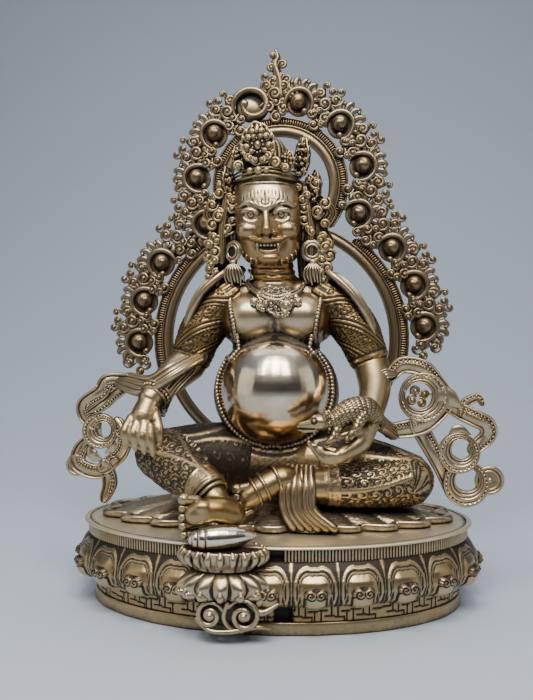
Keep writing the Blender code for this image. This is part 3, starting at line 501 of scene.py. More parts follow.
def pearls(u: np.ndarray, v: np.ndarray, pitch: float) -> np.ndarray:
    """A ground of small round punch marks in staggered rows."""
    row = np.floor(v / pitch)
    dx = (u + (row % 2) * pitch / 2) % pitch - pitch / 2
    dy = v % pitch - pitch / 2
    return np.clip(1.25 - np.hypot(dx, dy) / (pitch * 0.42), 0, 1)


def ridges(w: np.ndarray, pitch: float) -> np.ndarray:
    """Rounded ridges a pitch apart."""
    return 0.5 + 0.5 * np.cos(w / pitch * 2 * math.pi)


def step(value: np.ndarray, low: float, high: float) -> np.ndarray:
    """A soft step from 0 at low to 1 at high."""
    t = np.clip((value - low) / (high - low), 0, 1)
    return t * t * (3 - 2 * t)


def bell(value: np.ndarray, middle: float, width: float) -> np.ndarray:
    """A soft bump that is 1 at the middle and fades away within two widths on both sides."""
    return np.exp(-(((value - middle) / width) ** 2))


def limb_coordinates(points: np.ndarray, path: np.ndarray, hint: np.ndarray) -> tuple[np.ndarray, ...]:
    """Where points lie on a limb.

    Args:
        points: the points.
        path: the middle line of the limb.
        hint: the direction from which the angle round the limb is measured.

    Returns:
        Distance along the limb, angle round it in radians, and distance from the middle line.
    """
    a, b = path[:-1], path[1:]
    span = b - a
    length = np.linalg.norm(span, axis=1)
    before = np.concatenate([[0], np.cumsum(length)[:-1]])
    offset = points[:, None] - a[None]
    share = np.clip(np.einsum("nij,ij->ni", offset, span) / length**2, 0, 1)
    away = offset - span[None] * share[:, :, None]
    gap = np.linalg.norm(away, axis=2)
    near = gap.argmin(axis=1)
    pick = np.arange(len(points))
    _, across, out = frames_along(path, hint)
    rel = away[pick, near]
    angle = np.arctan2(np.einsum("ij,ij->i", rel, across[near]), np.einsum("ij,ij->i", rel, out[near]))
    return before[near] + share[pick, near] * length[near], angle, gap[pick, near]


# Finishes


def linear(code: str) -> tuple[float, float, float, float]:
    """An sRGB hex colour as linear numbers."""
    values = [int(code[i : i + 2], 16) / 255 for i in (1, 3, 5)]
    return (*(v / 12.92 if v <= 0.04045 else ((v + 0.055) / 1.055) ** 2.4 for v in values), 1.0)


def add_node(
    tree: bpy.types.NodeTree,
    kind: str,
    links: dict | None = None,
    values: dict | None = None,
    **settings: object,
) -> bpy.types.Node:
    """Adds a node.

    Args:
        tree: the node tree.
        kind: the node's type name.
        links: the sockets that feed its inputs, by input name or number.
        values: plain values for its inputs, by input name or number.
        settings: its own properties.

    Returns:
        The node.
    """
    node = tree.nodes.new(kind)
    for name, value in settings.items():
        setattr(node, name, value)
    for name, value in (values or {}).items():
        node.inputs[name].default_value = value
    for name, socket in (links or {}).items():
        tree.links.new(socket, node.inputs[name])
    return node


def remap(
    tree: bpy.types.NodeTree,
    value: bpy.types.NodeSocket,
    source: tuple[float, float],
    target: tuple[float, float],
    **settings: object,
) -> bpy.types.NodeSocket:
    """A value stretched from one range onto another and held inside it.

    Args:
        tree: the node tree.
        value: the value.
        source: the range it comes from.
        target: the range it goes to.
        settings: the node's own properties.

    Returns:
        The result's socket.
    """
    ends = {"From Min": source[0], "From Max": source[1], "To Min": target[0], "To Max": target[1]}
    return add_node(tree, "ShaderNodeMapRange", {"Value": value}, ends, **settings).outputs[0]


def maths(
    tree: bpy.types.NodeTree,
    operation: str,
    first: bpy.types.NodeSocket,
    second: bpy.types.NodeSocket | float,
    **settings: object,
) -> bpy.types.NodeSocket:
    """A sum with two terms, the second of which may be a plain number.

    Args:
        tree: the node tree.
        operation: what is done with them.
        first: the first term.
        second: the second term.
        settings: the node's own properties.

    Returns:
        The result's socket.
    """
    plain = isinstance(second, (int, float))
    links = {0: first} if plain else {0: first, 1: second}
    values = {1: second} if plain else {}
    return add_node(tree, "ShaderNodeMath", links, values, operation=operation, **settings).outputs[0]


def noise(
    tree: bpy.types.NodeTree, place: bpy.types.NodeSocket, scale: float, detail: float, roughness: float
) -> bpy.types.NodeSocket:
    """Cloudy noise with so many cells a metre."""
    values = {"Scale": scale, "Detail": detail, "Roughness": roughness}
    return add_node(tree, "ShaderNodeTexNoise", {"Vector": place}, values).outputs["Fac"]


@dataclass(frozen=True)
class SilveredBrass:
    """Brass with a thin silver wash, rubbed bright on its high places and blackened in its hollows; painted
    shade darkens deep places, where light hardly reaches.

    name is the finish; bright, golden and black its three colours; polish and matt its roughness on the
    bright metal and in the hollows; grain the size in millimetres of the casting's skin and depth how much
    it shows; age how far the blackening spreads; warmth how much gold comes through everywhere; shade how
    dark the painted shade in sheltered places goes; stain how blotched the open ones are.
    """

    name: str
    bright: str = "#BFAA86"
    golden: str = "#94784A"
    black: str = "#1D1510"
    polish: float = 0.22
    matt: float = 0.55
    grain: float = 1.1
    depth: float = 0.05
    age: float = 1.0
    warmth: float = 0.12
    shade: float = 0.75
    stain: float = 0.24

    def build(self) -> bpy.types.Material:
        """Makes the material."""
        material = bpy.data.materials.new(self.name)
        material.use_nodes = True
        tree = material.node_tree
        shader = tree.nodes["Principled BSDF"]
        coordinates = add_node(tree, "ShaderNodeTexCoord").outputs["Object"]
        gilt = add_node(tree, "ShaderNodeAttribute", attribute_name="gilt").outputs["Fac"]
        hollow = add_node(tree, "ShaderNodeAttribute", attribute_name="hollow").outputs["Fac"]
        # Clouds about 20 mm wide where the silver is rubbed thin and the brass shows
        clouds = noise(tree, coordinates, CLOUDS_PER_METRE, 3.0, 0.6)
        # The casting's skin and fine scratches, a little coarser than life so that they show
        skin = noise(tree, coordinates, 1.0 / MM / self.grain / 2, 5.0, 0.65)
        spread = remap(tree, clouds, (0.35, 0.72), (-0.15, 0.35))
        warm = maths(tree, "ADD", gilt, spread)
        warmer = maths(tree, "ADD", warm, self.warmth, use_clamp=True)
        tones = {6: linear(self.bright), 7: linear(self.golden)}
        metal = add_node(tree, "ShaderNodeMix", {"Factor": warmer}, tones, data_type="RGBA").outputs[2]
        # Painted shade: ambient occlusion darkens deep places, where light hardly reaches, and stands also
        # for the soot and polish left there
        shut = add_node(
            tree, "ShaderNodeAmbientOcclusion", values={"Distance": SHADE_REACH}, samples=6, only_local=False
        ).outputs["AO"]
        closed = remap(tree, shut, (0.12, 0.80), (self.shade, 0.0))
        # Patina and the painted shade marked on each piece, joined with the painted shade above and then
        # with stains
        patina_and_marked_shade = maths(tree, "MULTIPLY", hollow, self.age)
        both = maths(tree, "MAXIMUM", patina_and_marked_shade, closed)
        ragged = remap(tree, skin, (0.3, 0.7), (-0.12, 0.16))
        stained = remap(tree, clouds, (0.30, 0.62), (self.stain, 0.0))
        stains_patina_and_shade = maths(tree, "ADD", both, stained)
        rough_edge = maths(tree, "ADD", stains_patina_and_shade, ragged)
        # How black each place is: patina, stains and painted shade together
        patina_and_shade = remap(tree, rough_edge, (0.16, 0.78), (0.0, 0.97), interpolation_type="SMOOTHSTEP")
        colour = add_node(
            tree, "ShaderNodeMix", {"Factor": patina_and_shade, 6: metal}, {7: linear(self.black)}, data_type="RGBA"
        ).outputs[2]
        rough = remap(tree, patina_and_shade, (0.0, 1.0), (self.polish, self.matt))
        worn = remap(tree, clouds, (0.3, 0.7), (-0.03, 0.05))
        roughness = maths(tree, "ADD", rough, worn, use_clamp=True)
        metallic = remap(tree, patina_and_shade, (0.0, 1.0), (1.0, 0.55))
        bump = add_node(
            tree, "ShaderNodeBump", {"Height": skin}, {"Strength": self.depth, "Distance": 0.6 * MM}
        ).outputs["Normal"]
        tree.links.new(colour, shader.inputs["Base Color"])
        tree.links.new(roughness, shader.inputs["Roughness"])
        tree.links.new(metallic, shader.inputs["Metallic"])
        tree.links.new(bump, shader.inputs["Normal"])
        return material


class Finishes:
    """The statue's finishes, each made once when it is first asked for."""

    # Rubbed bright by hands: almost white silver, soft reflections of the windows and hardly any dirt
    POLISHED = SilveredBrass(
        "polished silvered brass",
        bright="#E9DDC6",
        golden="#B58A50",
        polish=0.19,
        depth=0.03,
        warmth=0.05,
        grain=1.6,
        stain=0.04,
    )
    # Skin that is touched less: broad, gentle highlights, a warmer tone and dark creases
    SATIN = SilveredBrass(
        "satin silvered brass", bright="#CDBA98", golden="#967242", polish=0.31, depth=0.08, stain=0.10
    )
    # Worked with punches: the lines catch the light and the ground between them stays nearly black
    CHASED = SilveredBrass("chased silvered brass", polish=0.32, depth=0.16, age=1.3, warmth=0.12)
    # As it left the mould and was lightly rubbed: broken, slightly grainy highlights
    CAST = SilveredBrass(
        "cast silvered brass", bright="#C3B092", polish=0.30, depth=0.13, warmth=0.08, stain=0.20
    )
    # Silver long gone: dull grey-brown brass that stays back behind the figure
    AUREOLE = SilveredBrass(
        "darkened brass",
        bright="#978870",
        golden="#786040",
        polish=0.34,
        depth=0.14,
        age=1.25,
        warmth=0.2,
        shade=0.6,
    )
    # Sanded flat and dry: a pale, even sheet that mirrors nothing
    PLATE = SilveredBrass(
        "matt brass plate",
        bright="#EBDEC4",
        golden="#C8B388",
        polish=0.48,
        matt=0.6,
        depth=0.14,
        warmth=0.1,
        shade=0.6,
        stain=0.16,
    )

    def __init__(self) -> None:
        """Starts with no material made."""
        self.made: dict[str, bpy.types.Material] = {}

    def get(self, finish: SilveredBrass) -> bpy.types.Material:
        """The material of a finish."""
        if finish.name not in self.made:
            self.made[finish.name] = finish.build()
        return self.made[finish.name]


FINISHES = Finishes()


# From arrays to Blender


def bare_mesh(name: str, form: Shell) -> bpy.types.Object:
    """The shell as a mesh object in metres."""
    mesh = bpy.data.meshes.new(name)
    mesh.from_pydata((form.points * MM).tolist(), [], form.quads.tolist() + form.tris.tolist())
    mesh.update()
    obj = bpy.data.objects.new(name, mesh)
    bpy.context.scene.collection.objects.link(obj)
    return obj


def arrays_of(obj: bpy.types.Object) -> Shell:
    """The evaluated object as a shell, and the object is removed."""
    graph = bpy.context.evaluated_depsgraph_get()
    mesh = obj.evaluated_get(graph).to_mesh()
    points = np.empty(len(mesh.vertices) * 3)
    mesh.vertices.foreach_get("co", points)
    starts = np.empty(len(mesh.polygons), dtype=np.int64)
    sizes = np.empty(len(mesh.polygons), dtype=np.int64)
    corners = np.empty(len(mesh.loops), dtype=np.int64)
    mesh.polygons.foreach_get("loop_start", starts)
    mesh.polygons.foreach_get("loop_total", sizes)
    mesh.loops.foreach_get("vertex_index", corners)
    quads = corners[starts[sizes == 4][:, None] + np.arange(4)]
    tris = corners[starts[sizes == 3][:, None] + np.arange(3)]
    obj.to_mesh_clear()
    bpy.data.objects.remove(obj, do_unlink=True)
    return shell(points.reshape(-1, 3) / MM, quads, tris)


def fused(shells: Sequence[Shell], voxel: float, ease: int = 2) -> Shell:
    """Overlapping shells run together into one casting.

    Args:
        shells: the shells.
        voxel: how fine the casting's mesh is, in millimetres.
        ease: how often it is smoothed.

    Returns:
        One even shell.
    """
    obj = bare_mesh("rough", merged(shells))
    remesh = obj.modifiers.new("Fuse", "REMESH")
    remesh.mode = "VOXEL"
    remesh.voxel_size = voxel * MM
    smooth = obj.modifiers.new("Ease", "SMOOTH")
    smooth.factor = 0.5
    smooth.iterations = ease
    return arrays_of(obj)


def cast(
    name: str,
    form: Shell,
    finish: SilveredBrass,
    nodes: Sequence[str] = (),
    hollow: tuple[float, float] = (2.2, 0.9),
    rounds: tuple[int, int] = (3, 14),
    recalculate: bool = False,
) -> bpy.types.Object:
    """Makes a finished piece of a shell.

    Args:
        name: the piece's name.
        form: its shell.
        finish: its finish.
        nodes: the CAD nodes that it stands for.
        hollow: blackening for each millimetre of fine and of broad hollow.
        rounds: how wide a fine and a broad hollow are.
        recalculate: turns the facets out once more where surfaces cross.

    Returns:
        The object, riding on the root body.
    """
    fine, broad = (form.hollowness(n) for n in rounds)
    shade = np.clip(form.dark + np.clip(fine, 0, 1) * hollow[0] + np.clip(broad, 0, 1) * hollow[1], 0, 1)
    obj = bare_mesh(name, form)
    if recalculate:
        work = bmesh.new()
        work.from_mesh(obj.data)
        bmesh.ops.recalc_face_normals(work, faces=work.faces)
        work.to_mesh(obj.data)
        work.free()
    for key, values in (("hollow", shade), ("gilt", np.clip(form.gilt, 0, 1))):
        layer = obj.data.attributes.new(key, "FLOAT", "POINT")
        layer.data.foreach_set("value", values.astype(np.float32))
    obj.data.shade_smooth()
    obj.data.materials.append(FINISHES.get(finish))
    return filed(obj, nodes)


def filed(obj: bpy.types.Object, nodes: Sequence[str] = ()) -> bpy.types.Object:
    """Hands a finished piece to the frame and reports it."""
    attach(obj, "root")
    if nodes:
        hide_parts(*nodes)
    triangles = sum(len(p.vertices) - 2 for p in obj.data.polygons)
    LOG.info("%s: %d triangles", obj.name, triangles)
    return obj


@dataclass
class Row:
    """A small shape repeated along a path by Geometry Nodes.

    The path is in millimetres; count copies stand evenly on it. Where a centre is given, the shape's Z
    points away from it. jitter is the most that a copy's size may differ, as a share.
    """

    name: str
    path: np.ndarray
    count: int
    shape: Shell
    finish: SilveredBrass
    centre: Sequence[float] | None = None
    jitter: float = 0.06
    seed: int = 3
    hollow: float = 0.0
    gilt: float = 0.1

    def tree(self) -> tuple[bpy.types.NodeTree, dict[str, str]]:
        """The node tree, and its inputs' identifiers by name."""
        tree = bpy.data.node_groups.new(self.name, "GeometryNodeTree")
        face = tree.interface
        face.new_socket("Geometry", in_out="INPUT", socket_type="NodeSocketGeometry")
        kinds = {
            "Count": "NodeSocketInt",
            "Shape": "NodeSocketObject",
            "Centre": "NodeSocketVector",
            "Aim": "NodeSocketBool",
            "Smallest": "NodeSocketFloat",
            "Largest": "NodeSocketFloat",
            "Seed": "NodeSocketInt",
            "Finish": "NodeSocketMaterial",
        }
        ids = {}
        for label, kind in kinds.items():
            ids[label] = face.new_socket(label, in_out="INPUT", socket_type=kind).identifier
        face.new_socket("Geometry", in_out="OUTPUT", socket_type="NodeSocketGeometry")
        given = add_node(tree, "NodeGroupInput").outputs
        curve = add_node(tree, "GeometryNodeMeshToCurve", {"Mesh": given["Geometry"]}).outputs["Curve"]
        spaced = add_node(
            tree, "GeometryNodeResampleCurve", {"Curve": curve, "Count": given["Count"]}
        ).outputs["Curve"]
        small = add_node(tree, "GeometryNodeObjectInfo", {"Object": given["Shape"]}).outputs["Geometry"]
        place = add_node(tree, "GeometryNodeInputPosition").outputs[0]
        away = add_node(
            tree, "ShaderNodeVectorMath", {0: place, 1: given["Centre"]}, operation="SUBTRACT"
        ).outputs[0]
        aimed = add_node(tree, "FunctionNodeAlignRotationToVector", {"Vector": away}, axis="Z").outputs[0]
        plain = add_node(tree, "FunctionNodeEulerToRotation").outputs[0]
        turn = add_node(
            tree,
            "GeometryNodeSwitch",
            {"Switch": given["Aim"], "False": plain, "True": aimed},
            input_type="ROTATION",
        ).outputs[0]
        size = add_node(
            tree,
            "FunctionNodeRandomValue",
            {2: given["Smallest"], 3: given["Largest"], "Seed": given["Seed"]},
            data_type="FLOAT",
        ).outputs[1]
        copies = add_node(
            tree,
            "GeometryNodeInstanceOnPoints",
            {"Points": spaced, "Instance": small, "Rotation": turn, "Scale": size},
        ).outputs[0]
        solid = add_node(tree, "GeometryNodeRealizeInstances", {"Geometry": copies}).outputs[0]
        dressed = add_node(
            tree, "GeometryNodeSetMaterial", {"Geometry": solid, "Material": given["Finish"]}
        ).outputs[0]
        add_node(tree, "NodeGroupOutput", {0: dressed})
        return tree, ids

    def build(self, slot: Slot = Slot.SILVERED) -> bpy.types.Object:
        """Makes the row as one plain mesh."""
        stamp = bare_mesh(self.name + "_stamp", self.shape)
        stamp.data.shade_smooth()
        mesh = bpy.data.meshes.new(self.name)
        edges = [(i, i + 1) for i in range(len(self.path) - 1)]
        mesh.from_pydata((self.path * MM).tolist(), edges, [])
        guide = bpy.data.objects.new(self.name, mesh)
        bpy.context.scene.collection.objects.link(guide)
        tree, ids = self.tree()
        nodes = guide.modifiers.new("Row", "NODES")
        nodes.node_group = tree
        centre = self.centre if self.centre is not None else (0, 0, 0)
        nodes[ids["Count"]] = self.count
        nodes[ids["Shape"]] = stamp
        nodes[ids["Centre"]] = [float(c) * MM for c in centre]
        nodes[ids["Aim"]] = self.centre is not None
        nodes[ids["Smallest"]] = 1 - self.jitter
        nodes[ids["Largest"]] = 1 + self.jitter
        nodes[ids["Seed"]] = self.seed
        nodes[ids["Finish"]] = FINISHES.get(self.finish)
        graph = bpy.context.evaluated_depsgraph_get()
        plain = bpy.data.meshes.new_from_object(guide.evaluated_get(graph))
        bpy.data.objects.remove(guide, do_unlink=True)
        bpy.data.objects.remove(stamp, do_unlink=True)
        bpy.data.node_groups.remove(tree)
        obj = bpy.data.objects.new(self.name, plain)
        bpy.context.scene.collection.objects.link(obj)
        for key, value in (("hollow", self.hollow), ("gilt", self.gilt)):
            layer = plain.attributes.new(key, "FLOAT", "POINT")
            layer.data.foreach_set("value", np.full(len(plain.vertices), value, dtype=np.float32))
        plain.shade_smooth()
        return filed(obj)


# Lotus base


@dataclass
class LotusBase:
    """The oval base: foot rim, fret band, a ring of petals, the ribbed band and a matt top."""

    width: float = 230.0
    depth: float = 132.0
    height: float = 48.0
    petals: int = 24
    columns: int = 816
    plate_columns: int = 360
    rib_stations: int = 1200
    rib_count: int = 292
    rim_length: float = 589.0
    keys: int = 66
    band_height: float = 7.0
    foot_height: float = 6.2
    fret_top: float = 16.2
    petal_top: float = 39.5
    foot_setback: float = 5.6
    fret_setback: float = 6.6

    def stations(self, count: int) -> tuple[np.ndarray, np.ndarray, np.ndarray]:
        """Points evenly spaced round the oval from its front, their outward directions, and distances."""
        fine = np.linspace(-math.pi / 2, 3 * math.pi / 2, 5761)
        x, y = self.width / 2 * np.cos(fine), self.depth / 2 * np.sin(fine)
        run = np.concatenate([[0], np.cumsum(np.hypot(np.diff(x), np.diff(y)))])
        distance = np.arange(count) / count * run[-1]
        angle = np.interp(distance, run, fine)
        flat = np.zeros(count)
        points = np.stack([self.width / 2 * np.cos(angle), self.depth / 2 * np.sin(angle), flat], axis=-1)
        ways = np.stack([self.depth / 2 * np.cos(angle), self.width / 2 * np.sin(angle), flat], axis=-1)
        return points, unit(ways), distance

    def petal_relief(
        self, x: np.ndarray, y: np.ndarray, half: float
    ) -> tuple[np.ndarray, np.ndarray, np.ndarray]:
        """The relief of one petal.

        Args:
            x: distance from the petal's middle line.
            y: height above the petal's foot.
            half: half the distance between two petals.

        Returns:
            Height in millimetres, blackening and gilding.
        """
        side = np.abs(x)
        top = 22.3 - 1.5 * bell(x, 0.0, 3.4) + 0.5 * bell(x, 0.0, 1.0)
        waist = 11.1 - 0.16 * np.clip(9 - y, 0, 9)
        above = np.clip((y - 8.0) / (top - 8.0), 0, None)
        reach = ((side / waist) ** 2.7 + above**2.7) ** (1 / 2.7)
        rim = bell(reach, 0.93, 0.075)
        inner = bell(reach, 0.79, 0.04)
        dome = np.sqrt(np.clip(1 - (reach / 0.74) ** 2.2, 0, 1))
        height = -3.4 + step(1.03 - reach, 0.0, 0.06) * 2.7 + rim * 1.3 + inner * 0.5 + dome * 2.3
        dark = step(reach, 1.0, 1.05) * 0.9 + bell(reach, 0.845, 0.025) * 0.7
        dark += bell(reach, 0.745, 0.022) * 0.6
        gilt = 0.30 * dome + 0.1
        jewel = (side / 5.4) ** 2.3 + (np.abs(y - 3.5) / 7.6) ** 2.3
        inside = np.clip(1 - jewel, 0, 1)
        height = np.where(jewel < 1.0, np.maximum(height, 0.9) + 2.9 * np.sqrt(inside), height)
        dark = np.where(jewel < 1.0, 0, dark) + bell(jewel, 1.16, 0.14) * 0.9
        gilt = np.where(jewel < 1.1, -0.4, gilt)
        dx, dy = side - 2.5, y - 9.0
        away = np.hypot(dx, dy)
        turn = (np.arctan2(dy, dx) / (2 * math.pi) + away / 1.7) % 1.0
        volute = step(3.0 - away, 0.0, 0.5)
        height = np.maximum(height, volute * (3.2 + 1.0 * bell(turn, 0.5, 0.24)))
        dark = dark * (1 - volute) + volute * np.clip(np.abs(turn - 0.5) * 2.8 - 0.45, 0, 0.85)
        gap = half - side
        tip = np.clip((y - 13.0) / 8.0, 0, 1) * 2.6 + 0.3
        fin = np.clip(1 - gap / tip, 0, 1)
        height = np.maximum(height, -3.2 + 3.4 * np.sqrt(fin) * step(y, 1.0, 16.0) * (reach > 1.0))
        dark = np.where((reach > 1.03) & (fin > 0.3), dark * (1.1 - fin), dark)
        return height, np.clip(dark, 0, 1), gilt

    def body(self) -> Shell:
        """The whole base as one relief."""
        points, ways, distance = self.stations(self.columns)
        pitch = distance[1] * self.columns / self.petals
        x = (distance + pitch / 2) % pitch - pitch / 2
        rows: list[tuple[np.ndarray, float, np.ndarray, np.ndarray]] = []
        none = np.zeros(self.columns)
        front = step(-points[:, 1], 40, 60) * np.exp(-(((points[:, 0] - 3.0) / 7.5) ** 8))

        def add(
            offset: np.ndarray | float, z: float, dark: np.ndarray | float = 0.0, gilt: object = 0.2
        ) -> None:
            """Adds one ring of the relief."""
            rows.append((none + offset, z, none + dark, none + gilt))

        wobble = 0.12 * np.sin(distance * 0.31) + 0.10 * np.sin(distance * 0.123 + 1.0)
        for z, out in (
            (0.0, -0.9), (0.4, -0.2), (1.2, 0.0), (3.0, -0.1), (5.0, -0.35), (6.4, -0.5), (7.1, -0.9)
        ):
            add(-self.foot_setback + out + wobble, z, 0.0, 0.12)
        add(-self.fret_setback - 0.9, self.foot_height + 0.3, 0.9)
        for z in np.linspace(self.foot_height + 0.9, self.fret_top - 0.6, 15):
            tall = self.fret_top - self.foot_height - 1.5
            fret, cut = self.fret(distance, (z - self.foot_height - 0.9) * self.band_height / tall)
            hole = np.exp(-(((points[:, 0] - 8.0) / 5.0) ** 6)) * step(-points[:, 1], 40, 60)
            add(-self.fret_setback + fret - 3.0 * hole, z, np.clip(cut + hole, 0, 1), 0.35)
        add(-self.fret_setback + 0.2, self.fret_top - 0.3, 0.5)
        for share in np.linspace(0.0, 1.0, 46):
            y = share * (self.petal_top - self.fret_top)
            swell = float(
                np.interp(share, (0, 0.14, 0.36, 0.62, 0.84, 1), (-2.2, 1.6, 3.6, 2.7, 0.2, -2.6))
            )
            height, dark, gilt = self.petal_relief(x, np.full_like(x, y), pitch / 2)
            foot = (1 - step(np.float64(share), 0.0, 0.05)) * -1.0
            add(swell + height * 0.95 + foot - 0.2, self.fret_top + y, dark, gilt)
        add(-4.2, self.petal_top + 0.4, 1.0)
        add(-3.6 - 2.5 * front, self.petal_top + 0.9, 1.0)
        add(-3.4 - 2.5 * front, self.height - 1.5, 0.9)
        add(-1.2, self.height - 1.6, 0.6)
        rings = [points + ways * offset[:, None] + np.array([0, 0, z]) for offset, z, _, _ in rows]
        dark = [row[2] for row in rows]
        gilt = [row[3] for row in rows]
        under = rings[0] * np.array([0.5, 0.5, 1.0])
        return lattice(np.array([under, *rings]), np.array([none, *gilt]), np.array([none, *dark]))

    def plate(self) -> Shell:
        """The matt plate that closes the base's top, with a thin bright edge."""
        points, ways, _ = self.stations(self.plate_columns)
        rings = [points * 0.5 + np.array([0, 0, self.height - 1.7])]
        for offset, z in (
            (-1.0, -1.7),
            (-0.1, -1.4),
            (0.25, -0.9),
            (0.1, -0.35),
            (-0.6, 0.0),
            (-2.2, 0.0),
            (-2.8, -0.25),
        ):
            rings.append(points + ways * offset + np.array([0, 0, self.height + z]))
        edge = points + ways * -2.8
        for share in (0.97, 0.9, 0.8, 0.65, 0.5, 0.3, 0.12):
            rings.append(edge * np.array([share, share, 1.0]) + np.array([0, 0, self.height - 0.1]))
        dark = np.zeros((len(rings), self.plate_columns))
        dark[7] = 0.5
        return lattice(np.array(rings), 0.15, dark)

    def fret(self, distance: np.ndarray, z: float) -> tuple[np.ndarray, np.ndarray]:
        """A key fret cut into the band above the foot.

        Args:
            distance: distance round the base.
            z: height above the band's lower edge; the band is about 7 mm high.

        Returns:
            Height and blackening.
        """
        key_wide = self.rim_length / self.keys
        t = (distance / key_wide) % 1.0
        cell = np.floor(distance / key_wide)
        flip = np.where(cell % 2 == 0, z, self.band_height - z)
        line = np.zeros_like(distance)
        for low, high, level in ((0.0, 0.62, 2.1), (0.38, 1.0, 4.7)):
            line = np.maximum(
                line, ((t >= low) & (t <= high) & (np.abs(flip - level) < 0.26)).astype(float)
            )
        for at, low, high in ((0.20, 2.1, 7.0), (0.62, 0.0, 2.1), (0.80, 0.0, 4.7)):
            near = (np.abs(t - at) * key_wide < 0.30) & (flip >= low) & (flip <= high)
            line = np.maximum(line, near.astype(float))
        edge = 1.0 if z < 0.35 or z > 6.7 else 0.0
        line = np.maximum(line, edge * 0.7)
        return -0.5 * line, 0.62 * line

    def ribs(self) -> Row:
        """The fine upright ribs of the band under the top edge."""
        points, ways, _ = self.stations(self.rib_stations)
        path = points + ways * -2.7 + np.array([0, 0, (self.petal_top + self.height) / 2 - 0.2])
        keep = ~((points[:, 1] < -40) & (points[:, 0] > -46) & (points[:, 0] < 9))
        first = int(np.argmax(~keep[::-1]))
        order = np.roll(np.arange(self.rib_stations), first)
        kept = path[order][keep[order]]
        rib = tube(np.array([[0, 0, -3.3], [0, 0, 0], [0, 0, 3.3]]), (0.74, 0.74, 0.74), 6)
        return Row(
            "Base_ribs", kept, self.rib_count, rib, Finishes.CAST, jitter=0.03, hollow=0.12, gilt=0.3
        )

    def build(self) -> None:
        """Makes the base's pieces."""
        cast(
            "Lotus_base",
            self.body(),
            Finishes.CHASED,
            nodes=["lotus_base"],
            hollow=(1.6, 0.35),
            rounds=(3, 20),
        )
        cast("Base_plate", self.plate(), Finishes.PLATE, hollow=(1.0, 0.3))
        self.ribs().build()


# Small lotus under the hanging foot


